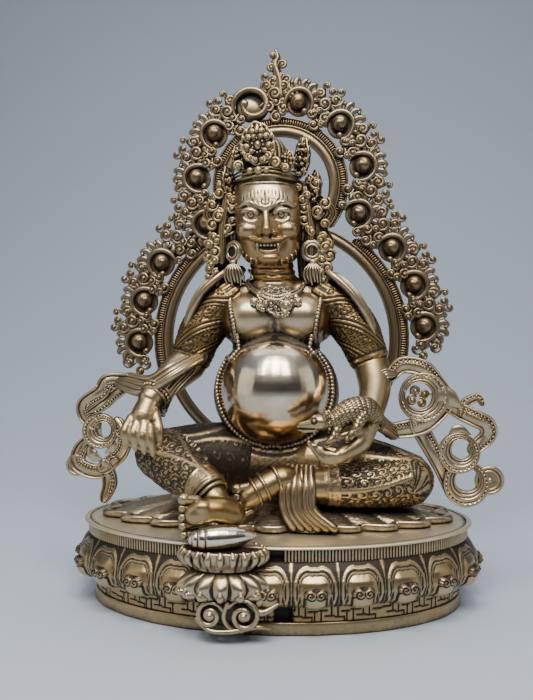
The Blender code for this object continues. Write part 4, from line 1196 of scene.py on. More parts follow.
@dataclass
class FootLotus:
    """The little double lotus on a scrolled stem, with the conch that the foot rests on."""

    x: float = -22.5
    wall: float = 64.7
    width: float = 47.0
    depth: float = 26.0
    foot: float = 23.5
    height: float = 24.5
    petals: int = 14

    def cup(self) -> Shell:
        """Upturned petals over a ring of full, down-turned ones."""
        columns = self.petals * 16
        angle = np.linspace(0, 2 * math.pi, columns, endpoint=False)
        phase = (angle * self.petals / (2 * math.pi)) % 1.0 - 0.5
        upper = (angle * self.petals / (2 * math.pi) + 0.5) % 1.0 - 0.5
        rings, dark, gilt = [], [], []
        for share in np.linspace(0, 1, 52):
            if share < 0.56:
                t = share / 0.56
                arch = np.clip(1 - (np.abs(phase) * 2 * (1.0 + 0.2 * (1 - t))) ** 2.6, 0, 1)
                size = 0.62 + 0.40 * math.sin(math.pi * min(1.0, 0.12 + 0.92 * t)) ** 0.8
                tip = np.clip((arch**0.5 - (0.42 - 1.4 * t)) / 0.25, 0, 1)
                seed = np.exp(-((phase / 0.17) ** 2) - (((t - 0.42) / 0.24) ** 2))
                rim = bell(arch, 0.30, 0.16) * step(np.float64(t), 0.05, 0.3)
                lobe = size * (0.80 + 0.16 * np.sqrt(arch) * tip + 0.055 * seed + 0.02 * rim)
                lobe *= 1 - 0.10 * step(np.float64(t), 0.8, 1.0)
                shade = np.clip(0.9 - arch * 3.2, 0, 0.9)
            else:
                t = (share - 0.56) / 0.44
                arch = np.clip(1 - (np.abs(upper) * 2) ** 2.2, 0, 1)
                bead = np.exp(-((upper / 0.20) ** 2) - (((t - 0.62) / 0.22) ** 2))
                lobe = (
                    0.66
                    + 0.24 * t**1.2
                    + 0.08 * np.sqrt(arch) * step(np.float64(t), 0.1, 0.5)
                    + 0.05 * bead
                )
                lobe *= 1 - 0.06 * step(np.float64(t), 0.92, 1.0)
                shade = np.clip(0.95 - arch * 2.6, 0, 0.95) * (1 - 0.5 * t) + 0.35 * (1 - t)
            x = self.x + self.width / 2 * lobe * np.cos(angle)
            y = -self.wall - 2.0 + self.depth / 2 * lobe * np.sin(angle)
            rings.append(np.stack([x, y, np.full(columns, self.foot + self.height * share)], axis=-1))
            dark.append(shade)
            gilt.append(np.full(columns, 0.02))
        rings.append(rings[-1] * np.array([0.9, 0.9, 1.0]) + np.array([self.x * 0.1, -6.6, -0.3]))
        dark.append(np.full(columns, 0.25))
        gilt.append(np.full(columns, 0.5))
        return lattice(np.array(rings), np.array(gilt), np.array(dark))

    def scrolls(self) -> list[Shell]:
        """The stem, its two volutes and the leaf bud beside them."""
        y = -self.wall - 8.2
        pieces = [ball((self.x + 2, y + 5, 17), (15, 6.5, 9), dark=0.6)]
        low = 15.4
        for cx, radius, hand, start in ((self.x - 6.2, 7.2, 1, 20.0), (self.x + 11.0, 8.7, -1, 150.0)):
            pieces += curl((cx, y - 0.6, low), radius, start, 1.5, hand, 1.45, 1.0, gilt=0.1)
            pieces.append(ball((cx, y - 1.0, low), (2.9, 2.2, 2.9), gilt=0.05))
            pieces.append(ball((cx, y + 2.5, low), (radius * 0.95, 3.0, radius * 0.95), dark=0.75))
        sweep = [
            (self.x - 13, y, 13),
            (self.x - 6, y - 1, 7.8),
            (self.x + 5, y - 1, 7.6),
            (self.x + 17, y, 9.8),
        ]
        sweep.append((self.x + 24.0, y + 1.5, 8.4))
        pieces.append(tube(smooth_path(sweep, 8), (0.9, 1.3, 1.5, 1.3, 0.7), 8, gilt=0.2))
        edge = [
            (self.x + 3, y - 0.6, 22),
            (self.x + 1, y - 1, 15),
            (self.x + 4, y - 1, 9.5),
            (self.x + 10, y, 7),
        ]
        pieces.append(tube(smooth_path(edge, 8), (1.2, 1.3, 1.2, 0.7), 8, gilt=0.2))
        for shift, tall in ((0.0, 4.0), (3.1, 3.4), (6.0, 2.9)):
            centre = (self.x + 18.5 + shift, y + 2.0 + shift * 0.25, 22.4 + shift * 0.35)
            pieces.append(ball(centre, (2.6, 2.7, tall), (0, 28, 0), dark=0.0))
        leaf = [(self.x + 13, y + 1.5, 21), (self.x + 20, y + 0.8, 16.9), (self.x + 28, y + 3, 20.5)]
        pieces.append(tube(smooth_path(leaf, 8), (1.6, 2.0, 0.8), 8, gilt=0.1))
        return pieces

    def fringe(self) -> list[Shell]:
        """Full drops that hang from the cup's lip, and a curled tip on each large petal."""
        pieces = []
        middle = np.array([self.x, -self.wall - 2.0, 0])
        for k in range(22):
            turn = 2 * math.pi * (k + 0.5) / 22
            way = np.array([math.cos(turn) * self.width / 2, math.sin(turn) * self.depth / 2, 0])
            top = middle + way * 0.90 + np.array([0, 0, self.foot + self.height - 0.9])
            low = middle + way * 0.86 + np.array([0, 0, self.foot + self.height - 7.4])
            bulge = middle + way * 0.955 + np.array([0, 0, self.foot + self.height - 4.0])
            pieces.append(tube(smooth_path([top, bulge, low], 5), (1.5, 1.9, 1.6, 0.9), 10, gilt=0.0))
        for k in range(self.petals):
            turn = 2 * math.pi * (k + 0.5) / self.petals
            way = np.array([math.cos(turn) * self.width / 2, math.sin(turn) * self.depth / 2, 0])
            foot = middle + way * 0.80 + np.array([0, 0, self.foot + 1.8])
            out = middle + way * 0.99 + np.array([0, 0, self.foot + 2.6])
            tip = middle + way * 0.985 + np.array([0, 0, self.foot + 4.8])
            pieces.append(tube(smooth_path([foot, out, tip], 5), (2.2, 2.0, 1.1), 10, gilt=0.0))
        return pieces

    def conch(self) -> Shell:
        """The shell: a smooth spindle with a ringed whorl at its blunt end."""
        share = np.linspace(0, 1, 60)
        profile = np.interp(
            share,
            (0, 0.03, 0.07, 0.13, 0.2, 0.3, 0.42, 0.56, 0.7, 0.82, 0.92, 1.0),
            (0.28, 0.42, 0.6, 0.74, 0.86, 0.96, 1.0, 0.97, 0.84, 0.62, 0.36, 0.08),
        )
        groove = bell(share, 0.13, 0.012) + bell(share, 0.245, 0.012)
        groove += 0.7 * bell(share, 0.055, 0.010)
        radius = 6.6 * profile * (1 - 0.11 * groove)
        way = unit(np.array([0.97, 0.20, 0.03]))
        middle = np.array([self.x, -self.wall - 4.6, 48.0 + 6.6 * 0.86])
        path = middle + way * ((share - 0.5) * 35.0)[:, None]
        _, across, out = frames_along(path, np.array([0, 0, 1.0]))
        turn = np.linspace(0, 2 * math.pi, 40, endpoint=False)
        ring = across[:, None] * np.cos(turn)[:, None] + out[:, None] * np.sin(turn)[:, None]
        points = path[:, None] + ring * radius[:, None, None]
        below = np.clip(-ring[:, :, 2], 0, 1) * 0.9
        return lattice(points, below, np.broadcast_to(np.clip(groove, 0, 1)[:, None], points.shape[:2]))

    def build(self) -> None:
        """Makes the small lotus and the conch."""
        cast(
            "Foot_lotus",
            merged([self.cup(), *self.fringe(), *self.scrolls()]),
            Finishes.CAST,
            nodes=["foot_lotus"],
        )
        cast("Conch", self.conch(), Finishes.POLISHED, hollow=(0.6, 0.0))


# Figure, drawn on its own grid


def on_seat(x: float, y: float, z: float) -> tuple[float, float, float]:
    """A point of the figure's grid, measured from the floor instead of from the base's top."""
    return (x, y, z + FLOOR_TO_SEAT)


def placed(points: Sequence[Sequence[float]]) -> list[tuple[float, float, float]]:
    """Grid points measured from the floor."""
    return [on_seat(*p) for p in points]


def grid_path(points: Sequence[Sequence[float]], steps: int) -> np.ndarray:
    """A smooth curve through grid points, measured from the floor."""
    return smooth_path(placed(points), steps)


def limb(
    points: Sequence[Sequence[float]],
    radii: Sequence[float],
    sides: int = 20,
    steps: int = 8,
    gilt: float = 0.0,
) -> Shell:
    """A tapering, round-ended limb through grid points."""
    return tube(grid_path(points, steps), radii, sides, gilt=gilt)


def lump(
    centre: Sequence[float],
    radii: Sequence[float] | float,
    tilt: Sequence[float] = (0, 0, 0),
    gilt: float = 0.0,
) -> Shell:
    """An ellipsoid at a grid point."""
    return ball(on_seat(*centre), radii, tilt, 40, 24, gilt)


@dataclass
class Torso:
    """Pot belly, breasts, neck, the open vest with its beaded edge, and the necklace."""

    voxel: float = 1.05
    edge: tuple[tuple[float, float, float], ...] = (
        (-27, -14, 137),
        (-25, -18.5, 124),
        (-22.5, -18.5, 108),
        (-27, -18.5, 96),
        (-33, -18, 82),
        (-32.0, -14, 68),
        (-24.8, -14, 54.4),
        (-13.4, -14, 46.0),
        (0.5, -14, 43.1),
        (14.4, -14, 46.0),
        (25.8, -14, 54.4),
        (33.0, -14, 70),
        (32, -17.5, 86),
        (25, -18.5, 98),
        (23.5, -18.5, 108),
        (26, -18.5, 124),
        (28, -14, 137),
    )

    def skin(self) -> Shell:
        """The body's own surface."""
        shells = [
            lump((0.5, -6, 75.5), 33),
            lump((0.5, 0, 73), (37, 28, 35)),
            lump((-14.0, -7, 118.5), (16.5, 14.5, 14.0), (-8, 0, 10)),
            lump((15.0, -7, 118.5), (16.5, 14.5, 14.0), (-8, 0, -10)),
            lump((0.5, -4.0, 122), (12, 11.5, 12)),
            lump((0.5, 3, 117), (35.5, 18, 20)),
            lump((0.5, 5, 133), (35, 14, 10)),
            lump((0, 6, 100), (26, 19, 22)),
            lump((0, 8, 30), (46, 27, 26)),
            limb(((0, 1, 132), (-2.5, -1, 150)), (15, 13)),
        ]
        return fused(shells, self.voxel, 5)

    def seam(self, count: int = 400) -> np.ndarray:
        """The vest's edge as evenly spaced points."""
        path = grid_path(self.edge, 12)
        run = run_along(path)
        even = np.linspace(0, run[-1], count)
        return np.stack([np.interp(even, run, path[:, i]) for i in range(3)], axis=-1)

    def vested(self, form: Shell, seam: np.ndarray) -> tuple[Shell, np.ndarray]:
        """Raises the vest beside the bare front and folds the neck.

        Args:
            form: the body's surface.
            seam: the vest's edge.

        Returns:
            The changed surface, and how much each point is covered by the vest.
        """
        p = form.points
        outline = np.concatenate([seam[:, [0, 2]], [[seam[-1, 0], 240.0], [seam[0, 0], 240.0]]])
        inside = np.zeros(len(p), dtype=bool)
        a, b = outline, np.roll(outline, -1, axis=0)
        for (ax, az), (bx, bz) in zip(a, b):
            if az != bz:
                crosses = (az > p[:, 2]) != (bz > p[:, 2])
                inside ^= crosses & (p[:, 0] < (bx - ax) * (p[:, 2] - az) / (bz - az) + ax)
        gap = np.full(len(p), 99.0)
        for start in range(0, len(seam), 50):
            block = seam[start : start + 50, [0, 2]]
            gap = np.minimum(
                gap, np.hypot(*(p[:, None, [0, 2]] - block[None]).transpose(2, 0, 1)).min(axis=1)
            )
        bare = inside & (p[:, 1] < 0)
        gap = np.where(p[:, 1] > 4, 99.0, gap)
        signed = np.where(bare, -gap, gap)
        cover = step(signed, -0.3, 1.0)
        z = p[:, 2] - FLOOR_TO_SEAT
        neck = step(z, 136.5, 139.5)
        folds = np.zeros(len(p))
        for at in (139.0, 142.5, 146.0):
            folds -= np.exp(-(((z - at - 0.25 * np.abs(p[:, 0] + 1) ** 1.1 * 0.35) / 0.6) ** 2)) * 0.9
        cover = cover * (1 - neck)
        weave = ridges(p[:, 0] * 0.6 + p[:, 2] * 0.8, 2.4) * ridges(p[:, 0] * 0.6 - p[:, 2] * 0.8, 2.4)
        under = (z < 112) & (np.abs(p[:, 0]) < 37)
        relief = cover * 0.75 + weave * 0.16 * cover * under + folds * neck
        hem = bell(signed, 5.0, 0.8) * (z < 112)
        relief -= hem * 0.35 * cover
        form.pressed(relief)
        form.dark = np.clip(hem * 0.7 * cover + np.clip(-folds, 0, 1) * 0.5 * neck, 0, 1)
        # Painted shade over the vest's lower front, deeper in the low places of its weave
        form.dark += cover * (0.22 + 0.2 * (1 - weave)) * (p[:, 1] < 8) * (z < 104)
        form.dark += bell(signed, 0.8, 1.3) * 0.75 * (p[:, 1] < 5)
        # Painted shade: a line under the breasts, a line down between them, and the lowest part of the
        # torso darkened
        under_breast = np.abs(z - (106.0 - 0.30 * np.abs(p[:, 0] - 0.5)))
        form.dark += bell(under_breast, 0.0, 1.6) * 0.65 * (1 - cover) * (np.abs(p[:, 0]) < 25)
        cleft = bell(p[:, 0], 0.5, 1.5) * step(z, 101, 106) * (1 - step(z, 110, 117))
        form.dark += cleft * 0.5 * (1 - cover)
        form.dark += step(-z, -38, -25) * 0.5
        # Painted reflection: the lower belly tinted amber, like the darker, warmer reflection on its lower
        # half
        lower_belly_reflection = bell(z, 52, 16) * 0.75 * (1 - cover)
        side = step(np.abs(p[:, 0]), 22, 34) * (z > 100) * 0.75
        form.gilt = np.clip(neck * 0.9 + lower_belly_reflection + side + 0.45 * cover, 0, 1)
        return form, cover

    def beads(self, seam: np.ndarray, tree: BVHTree) -> Row:
        """The row of pearls along the vest's edge, laid on the body."""
        path = laid_on(tree, seam[6:-6], 0.8)
        return Row(
            "Vest_beads", path, 150, ball((0, 0, 0), 1.3, segments=10, rings=6), Finishes.CAST, gilt=0.05
        )

    def hung(self, tree: BVHTree, points: np.ndarray, lift: float) -> np.ndarray:
        """Points laid on the chest, but straight across the dip between the breasts."""
        laid = laid_on(tree, points, lift)
        above = np.maximum(laid[:, 2] - FLOOR_TO_SEAT - 127.5, 0)
        bridge = -20.4 - lift + 0.018 * (laid[:, 0] - 2.3) ** 2 + 0.09 * above**2
        laid[:, 1] = np.minimum(laid[:, 1], bridge)
        return laid

    def pendant(self, tree: BVHTree) -> Shell:
        """The dense filigree plate under the cords: a wide V with lobed edges."""
        columns = 140
        angle = np.linspace(0, 2 * math.pi, columns, endpoint=False)
        fold = np.degrees(np.arctan2(np.sin(angle), np.abs(np.cos(angle))))
        reach = np.interp(
            fold, (-90, -60, -30, 0, 25, 45, 68, 90), (10.6, 8.8, 9.6, 11.6, 13.0, 11.2, 8.2, 6.8)
        )
        reach = reach * (1 + 0.045 * np.cos(angle * 15))
        rings, dark = [], []
        for share, floor in (
            *((t, 1.1) for t in np.linspace(0.03, 0.98, 24)), (1.01, 0.4), (1.02, -0.8), (0.5, -1.6)
        ):
            u, v = np.cos(angle) * reach * share, np.sin(angle) * reach * share
            inner = floor == 1.1
            pattern = scrollwork(u + 0.6 * v, np.abs(v - 0.3 * u), 3.6) * (share < 0.86)
            pattern = np.maximum(pattern, bell(share, 0.93, 0.06))
            place = np.stack([2.3 + u, np.full(columns, -24.0), 128.4 + v + FLOOR_TO_SEAT], axis=-1)
            laid = self.hung(tree, place, 0.0)
            rings.append(laid + np.array([0, -1.0, 0]) * (floor + 0.75 * pattern * inner)[:, None])
            dark.append(np.clip((0.75 - pattern) * 0.8 * inner, 0, 1))
        return lattice(np.array(rings), 0.1, np.array(dark))

    def necklace(self, tree: BVHTree) -> list[Shell]:
        """Two cords, the filigree plate, its rosettes and scrolls."""
        pieces = [self.pendant(tree)]
        ends = (
            (-23, -6, 147),
            (-17.5, -14, 140.5),
            (-10, -20, 134),
            (2.3, -24, 130),
            (13.5, -20, 134),
            (18, -14, 140.5),
            (23, -6, 147),
        )
        line = grid_path(ends, 8)
        for drop, thick in ((0.0, 0.75), (2.5, 0.95)):
            path = self.hung(tree, line - np.array([0, 0, drop]), 0.8)
            pieces.append(tube(path, (thick, thick), 8, gilt=0.1))
        studs = ((-8.6, 132.6, 2.6), (13.2, 132.6, 2.6), (2.3, 129.4, 3.6))
        studs += ((2.3, 122.0, 2.5), (-4.2, 127.8, 1.9), (8.8, 127.8, 1.9))
        for x, z, size in studs:
            at = self.hung(tree, np.array([on_seat(x, -30, z)]), 1.9)[0]
            pieces.append(ball(at, (size, 1.4, size), segments=18, rings=10, gilt=0.1))
            pieces.append(ball(at - np.array([0, 1.3, 0]), size * 0.42, segments=12, rings=8))
            for k in range(8):
                turn = 2 * math.pi * k / 8
                bead = at + np.array([math.cos(turn) * size * 0.85, -0.8, math.sin(turn) * size * 0.85])
                pieces.append(ball(bead, 0.66, segments=8, rings=5))
        for side in (-1, 1):
            for x, z, r, start, hand in (
                (4.6, 133.2, 2.2, 90, 1),
                (3.6, 124.8, 2.1, 200, -1),
                (7.6, 124.6, 1.7, 120, -1),
                (1.8, 119.0, 1.4, 60, 1),
            ):
                at = self.hung(tree, np.array([on_seat(2.3 + side * x, -30, z)]), 2.0)[0]
                begin = start if side > 0 else 180 - start
                pieces += curl(at, r, begin, 1.2, hand * side, 0.7, 0.7, gilt=0.1)
        return pieces

    def build(self) -> BVHTree:
        """Makes the torso, its beads and the necklace, and returns the surface that they lie on."""
        form = self.skin()
        seam = self.seam()
        seam = laid_on(surface_of(form), seam, 0.0)
        form, cover = self.vested(form, seam)
        tree = surface_of(form)
        obj = cast("Torso", form, Finishes.SATIN, nodes=["figure"], hollow=(1.2, 0.55), rounds=(4, 40))
        obj.data.materials.append(FINISHES.get(Finishes.POLISHED))
        belly = (cover < 0.5) & (form.points[:, 2] < FLOOR_TO_SEAT + 104) & (form.points[:, 1] < 0)
        faces = np.concatenate([belly[form.quads].all(axis=1), belly[form.tris].all(axis=1)])
        obj.data.polygons.foreach_set("material_index", faces.astype(np.int32))
        self.beads(seam, tree).build()
        cast("Necklace", merged(self.necklace(tree)), Finishes.CAST, hollow=(1.2, 0.6))
        return tree


def surface_of(form: Shell) -> BVHTree:
    """The shell as a surface that points can be laid on."""
    return BVHTree.FromPolygons(form.points.tolist(), form.quads.tolist() + form.tris.tolist())


def laid_on(tree: BVHTree, points: np.ndarray, lift: float) -> np.ndarray:
    """Points moved along Y onto the front of a surface, or to its nearest place.

    Args:
        tree: the surface.
        points: the points.
        lift: how far above the surface they end, in millimetres.

    Returns:
        The moved points.
    """
    moved = []
    for point in points:
        at = Vector((float(point[0]), -200.0, float(point[2])))
        hit, normal, _, _ = tree.ray_cast(at, Vector((0, 1, 0)))
        if hit is None or abs(hit.y - point[1]) > 14:
            hit, normal, _, _ = tree.find_nearest(Vector([float(c) for c in point]))
        moved.append(np.array(hit + normal * lift))
    return np.array(moved)


@dataclass
class Head:
    """The large head with a wrathful guardian's mask on traditional thirds, its hair, ears and earrings."""

    x: float = -4.2
    chin: float = 149.0
    hairline: float = 196.0
    pivot: float = 175.0
    lean: float = 0.06
    voxel: float = 0.5

    def at(self, x: float, y: float, share: float) -> tuple[float, float, float]:
        """A place on the face.

        Args:
            x: distance from the face's middle line.
            y: distance behind the head's axis, so the front is negative.
            share: height as a share of the face from the chin to the hairline.

        Returns:
            The grid point, with the head's lean.
        """
        z = self.chin + share * (self.hairline - self.chin)
        return (self.x + x - self.lean * (z - self.pivot), y, z)

    def skull(self) -> Shell:
        """The block of the head."""
        levels = np.array(
            [
                (148.6, 6.5, 6.5, -9.5),
                (150.5, 12.5, 11.0, -6.6),
                (154.0, 16.0, 14.2, -4.4),
                (160.0, 18.4, 16.6, -2.9),
                (168.0, 19.3, 18.2, -1.4),
                (177.0, 20.3, 19.3, -0.2),
                (186.0, 20.6, 19.4, 0.4),
                (193.0, 20.0, 18.2, 1.2),
                (199.0, 17.8, 15.8, 2.2),
                (204.0, 12.0, 10.6, 3.0),
            ]
        )
        path = smooth_path(levels, 5)
        angle = np.linspace(0, 2 * math.pi, 72, endpoint=False)
        power = 0.96
        across = np.sign(np.cos(angle)) * np.abs(np.cos(angle)) ** power
        along = np.sign(np.sin(angle)) * np.abs(np.sin(angle)) ** power
        rings = []
        for z, wide, deep, back in path:
            x = self.x - self.lean * (z - self.pivot) + wide * across
            rings.append(np.stack([x, back + deep * along, np.full_like(x, z + FLOOR_TO_SEAT)], axis=-1))
        return lattice(np.array(rings))

    def features(self) -> list[Shell]:
        """Brows, bulging eyes, broad nose, full cheeks and an open mouth, by rule."""
        brow, nose, mouth = 2 / 3, 1 / 3, 2 / 9
        eye = brow - 0.085
        pieces = [
            limb(
                (
                    self.at(0, -19.4, brow + 0.02),
                    self.at(0, -21.6, 0.52),
                    self.at(0, -24.0, nose + 0.055),
                ),
                (1.7, 2.0, 3.1),
            ),
            lump(self.at(0, -23.4, nose + 0.035), (3.5, 3.0, 2.7)),
            limb(
                (
                    self.at(-3.6, -20.2, brow + 0.06),
                    self.at(0, -20.6, brow - 0.005),
                    self.at(3.6, -20.2, brow + 0.06),
                ),
                (1.3, 1.9, 1.3),
            ),
            lump(self.at(0, -15.4, 0.062), (7.2, 4.6, 3.6)),
        ]
        for side in (-1, 1):
            pieces.append(lump(self.at(side * 3.9, -21.6, nose + 0.02), (2.3, 2.6, 2.0)))
            pieces.append(lump(self.at(side * 8.7, -16.0, eye), (4.6, 4.0, 3.1)))
            lid = []
            for a in np.linspace(0.05, 3.05, 9):
                out, up = math.cos(a), math.sin(a)
                lid.append(
                    self.at(side * (8.7 + 5.2 * out), -18.2 - 2.0 * up, eye + 0.052 * up + 0.022 * out)
                )
            pieces.append(limb(lid, (0.8, 1.5, 1.8, 1.5, 0.8), 12, 4))
            bag = []
            for a in np.linspace(0.2, 2.9, 7):
                out, up = math.cos(a), math.sin(a)
                bag.append(self.at(side * (8.7 + 4.8 * out), -17.7 - 1.0 * up, eye - 0.082 * up))
            pieces.append(limb(bag, (0.5, 0.85, 0.9, 0.8, 0.5), 12, 4))
            arch = (
                self.at(side * 2.2, -20.4, brow - 0.005),
                self.at(side * 6.5, -20.6, brow + 0.045),
                self.at(side * 11.5, -19.2, brow + 0.065),
                self.at(side * 16.0, -15.2, brow + 0.035),
                self.at(side * 17.6, -13.4, brow + 0.075),
            )
            pieces.append(limb(arch, (1.6, 2.1, 1.8, 1.3, 0.7), 16, 6))
            pieces.append(lump(self.at(side * 11.2, -13.6, 0.41), (7.2, 6.4, 6.0)))
            moustache = (
                self.at(side * 0.9, -20.9, 0.292),
                self.at(side * 5.0, -20.4, 0.275),
                self.at(side * 9.2, -18.9, 0.30),
                self.at(side * 12.4, -16.8, 0.345),
            )
            pieces.append(limb(moustache, (1.0, 1.35, 1.1, 0.6), 12, 6))
        upper = [
            self.at(x, -19.9 + 0.028 * x * x, mouth + 0.028 - 0.00045 * x * x)
            for x in (-7, -3.5, 0, 3.5, 7)
        ]
        lower = [
            self.at(x, -18.9 + 0.036 * x * x, mouth - 0.080 + 0.00125 * x * x)
            for x in (-7.2, -3.6, 0, 3.6, 7.2)
        ]
        pieces.append(limb(upper, (0.7, 1.15, 1.0, 1.15, 0.7), 12, 6))
        pieces.append(limb(lower, (0.8, 1.35, 1.6, 1.35, 0.8), 12, 6))
        return pieces

    def mask(self) -> Shell:
        """The face fused to the head, with chased brow hair, pupils, and painted shade in the mouth and
        round the eyes and nose.
        """
        form = fused([self.skull(), *self.features()], self.voxel, 4)
        p = form.points
        tall = self.hairline - self.chin
        height = p[:, 2] - FLOOR_TO_SEAT
        share = (height - self.chin) / tall
        x = p[:, 0] - self.x + self.lean * (height - self.pivot)
        front = step(-p[:, 1], 9, 14)
        relief = np.zeros(len(p))
        dark = np.zeros(len(p))
        fan = np.arctan2(x, (share - 0.55) * tall)
        reach = np.hypot(x, (share - 0.55) * tall)
        flames = (share > 0.70) & (np.abs(x) < 13.5)
        length = 1 - step(reach, 10.0 + 2.2 * np.cos(fan * 9), 14.5 + 2.2 * np.cos(fan * 9))
        lines = np.clip(np.cos(fan * 30) - 0.1, 0, 1)
        relief -= 0.34 * lines * flames * length * front
        dark += 0.75 * lines * flames * length * front
        hair_edge = bell(share, 0.985, 0.012) * front
        relief -= 0.4 * hair_edge
        dark += hair_edge * 0.7
        # Painted shade: the open mouth is a shallow dip painted black
        mouth = np.exp(-((x / 7.0) ** 4) - (((share - 0.198 - 0.0004 * x * x) / 0.033) ** 2)) * front
        relief -= 1.5 * mouth
        dark += mouth
        for side in (-1, 1):
            dx, dz = x - side * 8.7, (share - 2 / 3 + 0.085) * tall
            away = np.hypot(dx, dz)
            iris = bell(away, 1.75, 0.32) * front
            relief -= 0.35 * iris
            dark += 0.8 * iris + 0.8 * bell(away, 0.0, 0.6) * front
            # Painted shade in the eye corners and in the sockets above the eyes
            corner = np.exp(-(((np.abs(dx) - 4.7) / 0.9) ** 2) - ((dz / 1.3) ** 2)) * front
            socket = bell(away, 5.6, 1.5) * front * 0.45 * step(dz - 0.2 * side * dx, 0.0, 3.0)
            dark += corner * 0.6 + socket * (share < 0.70)
            # Painted shade in the nostrils
            nostril = np.exp(-(((x - side * 2.9) / 1.0) ** 2) - (((share - 1 / 3 + 0.005) / 0.016) ** 2))
            nostril = nostril * step(-p[:, 1], 19.5, 21)
            relief -= 0.5 * nostril
            dark += nostril
        # Painted shade beside the nose, between it and the cheeks
        beside = np.exp(-(((np.abs(x) - 4.6) / 1.3) ** 2) - (((share - 0.44) / 0.07) ** 2)) * front
        strokes = np.clip(np.cos(x * 2.9) - 0.2, 0, 1) * bell(share - 0.87 + 0.0004 * x * x, 0.0, 0.040)
        strokes = strokes * (np.abs(x) < 15)
        relief -= 0.3 * strokes * front
        dark += beside * 0.5 + 0.75 * strokes * front
        form.pressed(relief)
        form.dark = np.clip(dark, 0, 1)
        form.gilt = np.clip(0.15 + 0.5 * step(-share, -0.62, -0.3) + 0.2 * step(np.abs(x), 12, 19), 0, 1)
        return form

    def teeth(self) -> list[Shell]:
        """A row of upper teeth with a fang at each corner."""
        pieces = []
        for i in range(-2, 3):
            pieces.append(lump(self.at(i * 2.0, -18.8 + 0.06 * i * i, 0.224), (0.96, 0.9, 1.25)))
        for side in (-1, 1):
            fang = (
                self.at(side * 5.8, -18.6, 0.235),
                self.at(side * 6.1, -19.1, 0.185),
                self.at(side * 5.8, -19.1, 0.150),
            )
            pieces.append(limb(fang, (1.0, 0.75, 0.25), 10, 3))
        return pieces

    def beard(self) -> list[Shell]:
        """Small pointed locks along the jaw."""
        pieces = []
        for angle in np.linspace(-76, 76, 13):
            turn = math.radians(angle)
            x = 17.0 * math.sin(turn)
            share = 0.03 + 0.31 * (1 - math.cos(turn)) ** 1.3
            y = -4.0 - 11.6 * abs(math.cos(turn)) ** 0.8
            root = np.array(on_seat(*self.at(x * 0.93, y, share + 0.01)))
            middle = np.array(on_seat(*self.at(x * 1.01, y - 0.8, share - 0.02)))
            tip = np.array(on_seat(*self.at(x * 1.05, y - 1.2, share - 0.055)))
            pieces.append(tube(smooth_path([root, middle, tip], 4), (1.2, 0.9, 0.25), 10, gilt=0.6))
        return pieces

    def ears(self) -> list[Shell]:
        """Long ears, ring earrings and their tassels."""
        pieces = []
        for side in (-1, 1):
            pieces.append(
                lump(self.at(side * 20.6, 1, 0.44), (2.2, 4.8, 10.5), (0, side * 4, 0), gilt=0.3)
            )
            rim = [
                self.at(side * 21.8, -2.5, 0.30),
                self.at(side * 23.2, -3.5, 0.50),
                self.at(side * 22.8, 0.5, 0.66),
                self.at(side * 21.6, 4, 0.55),
            ]
            pieces.append(limb(rim, (0.9, 1.2, 1.2, 0.9), 10, 6, gilt=0.3))
            turn = np.radians(-38 if side < 0 else 4)
            ex, ez = np.array([math.cos(turn), math.sin(turn), 0]), np.array([0, 0, 1.0])
            centre = np.array(on_seat(self.x + side * 23.5 + 2.6, -6.5, 157.2))
            out = np.cross(ex, ez)
            for radius, thick, ahead in ((5.4, 0.95, 0.0), (3.7, 0.75, 0.5), (6.3, 0.5, -0.6)):
                path = circle(centre + out * ahead, ex, ez, radius, 40)
                pieces.append(tube(path, (thick, thick), 8, gilt=0.0))
            plate = ball((0, 0, 0), (5.6, 1.0, 5.6), segments=24, rings=12, dark=0.75)
            plate.points = plate.points @ np.array([ex, -out, ez]) + centre - out * 1.0
            pieces.append(plate)
            top = centre + np.array([0.5, 0, -6.0])
            pieces.append(ball(top + np.array([0, -0.3, -0.4]), (2.4, 2.2, 1.9), gilt=0.1))
            pieces.append(ball(top + np.array([0, 0.4, -7.5]), (3.6, 2.4, 6.2), dark=0.85))
            for k in range(7):
                spread = (k - 3) / 3
                low = -12.6 + 1.3 * math.sin(k * 2.3)
                strand = [
                    top + np.array([spread * 1.2, -1.4 + abs(spread), -1.0]),
                    top + np.array([spread * 4.4, -2.8 + 1.8 * abs(spread), -4.6]),
                    top + np.array([spread * 5.6 + 0.5, -2.6 + 1.8 * abs(spread), -8.6]),
                    top + np.array([spread * 5.0 + 1.2, -1.8 + 1.6 * abs(spread), low]),
                ]
                pieces.append(tube(smooth_path(strand, 5), (0.5, 0.74, 0.80, 0.6), 8, gilt=0.05))
        return pieces

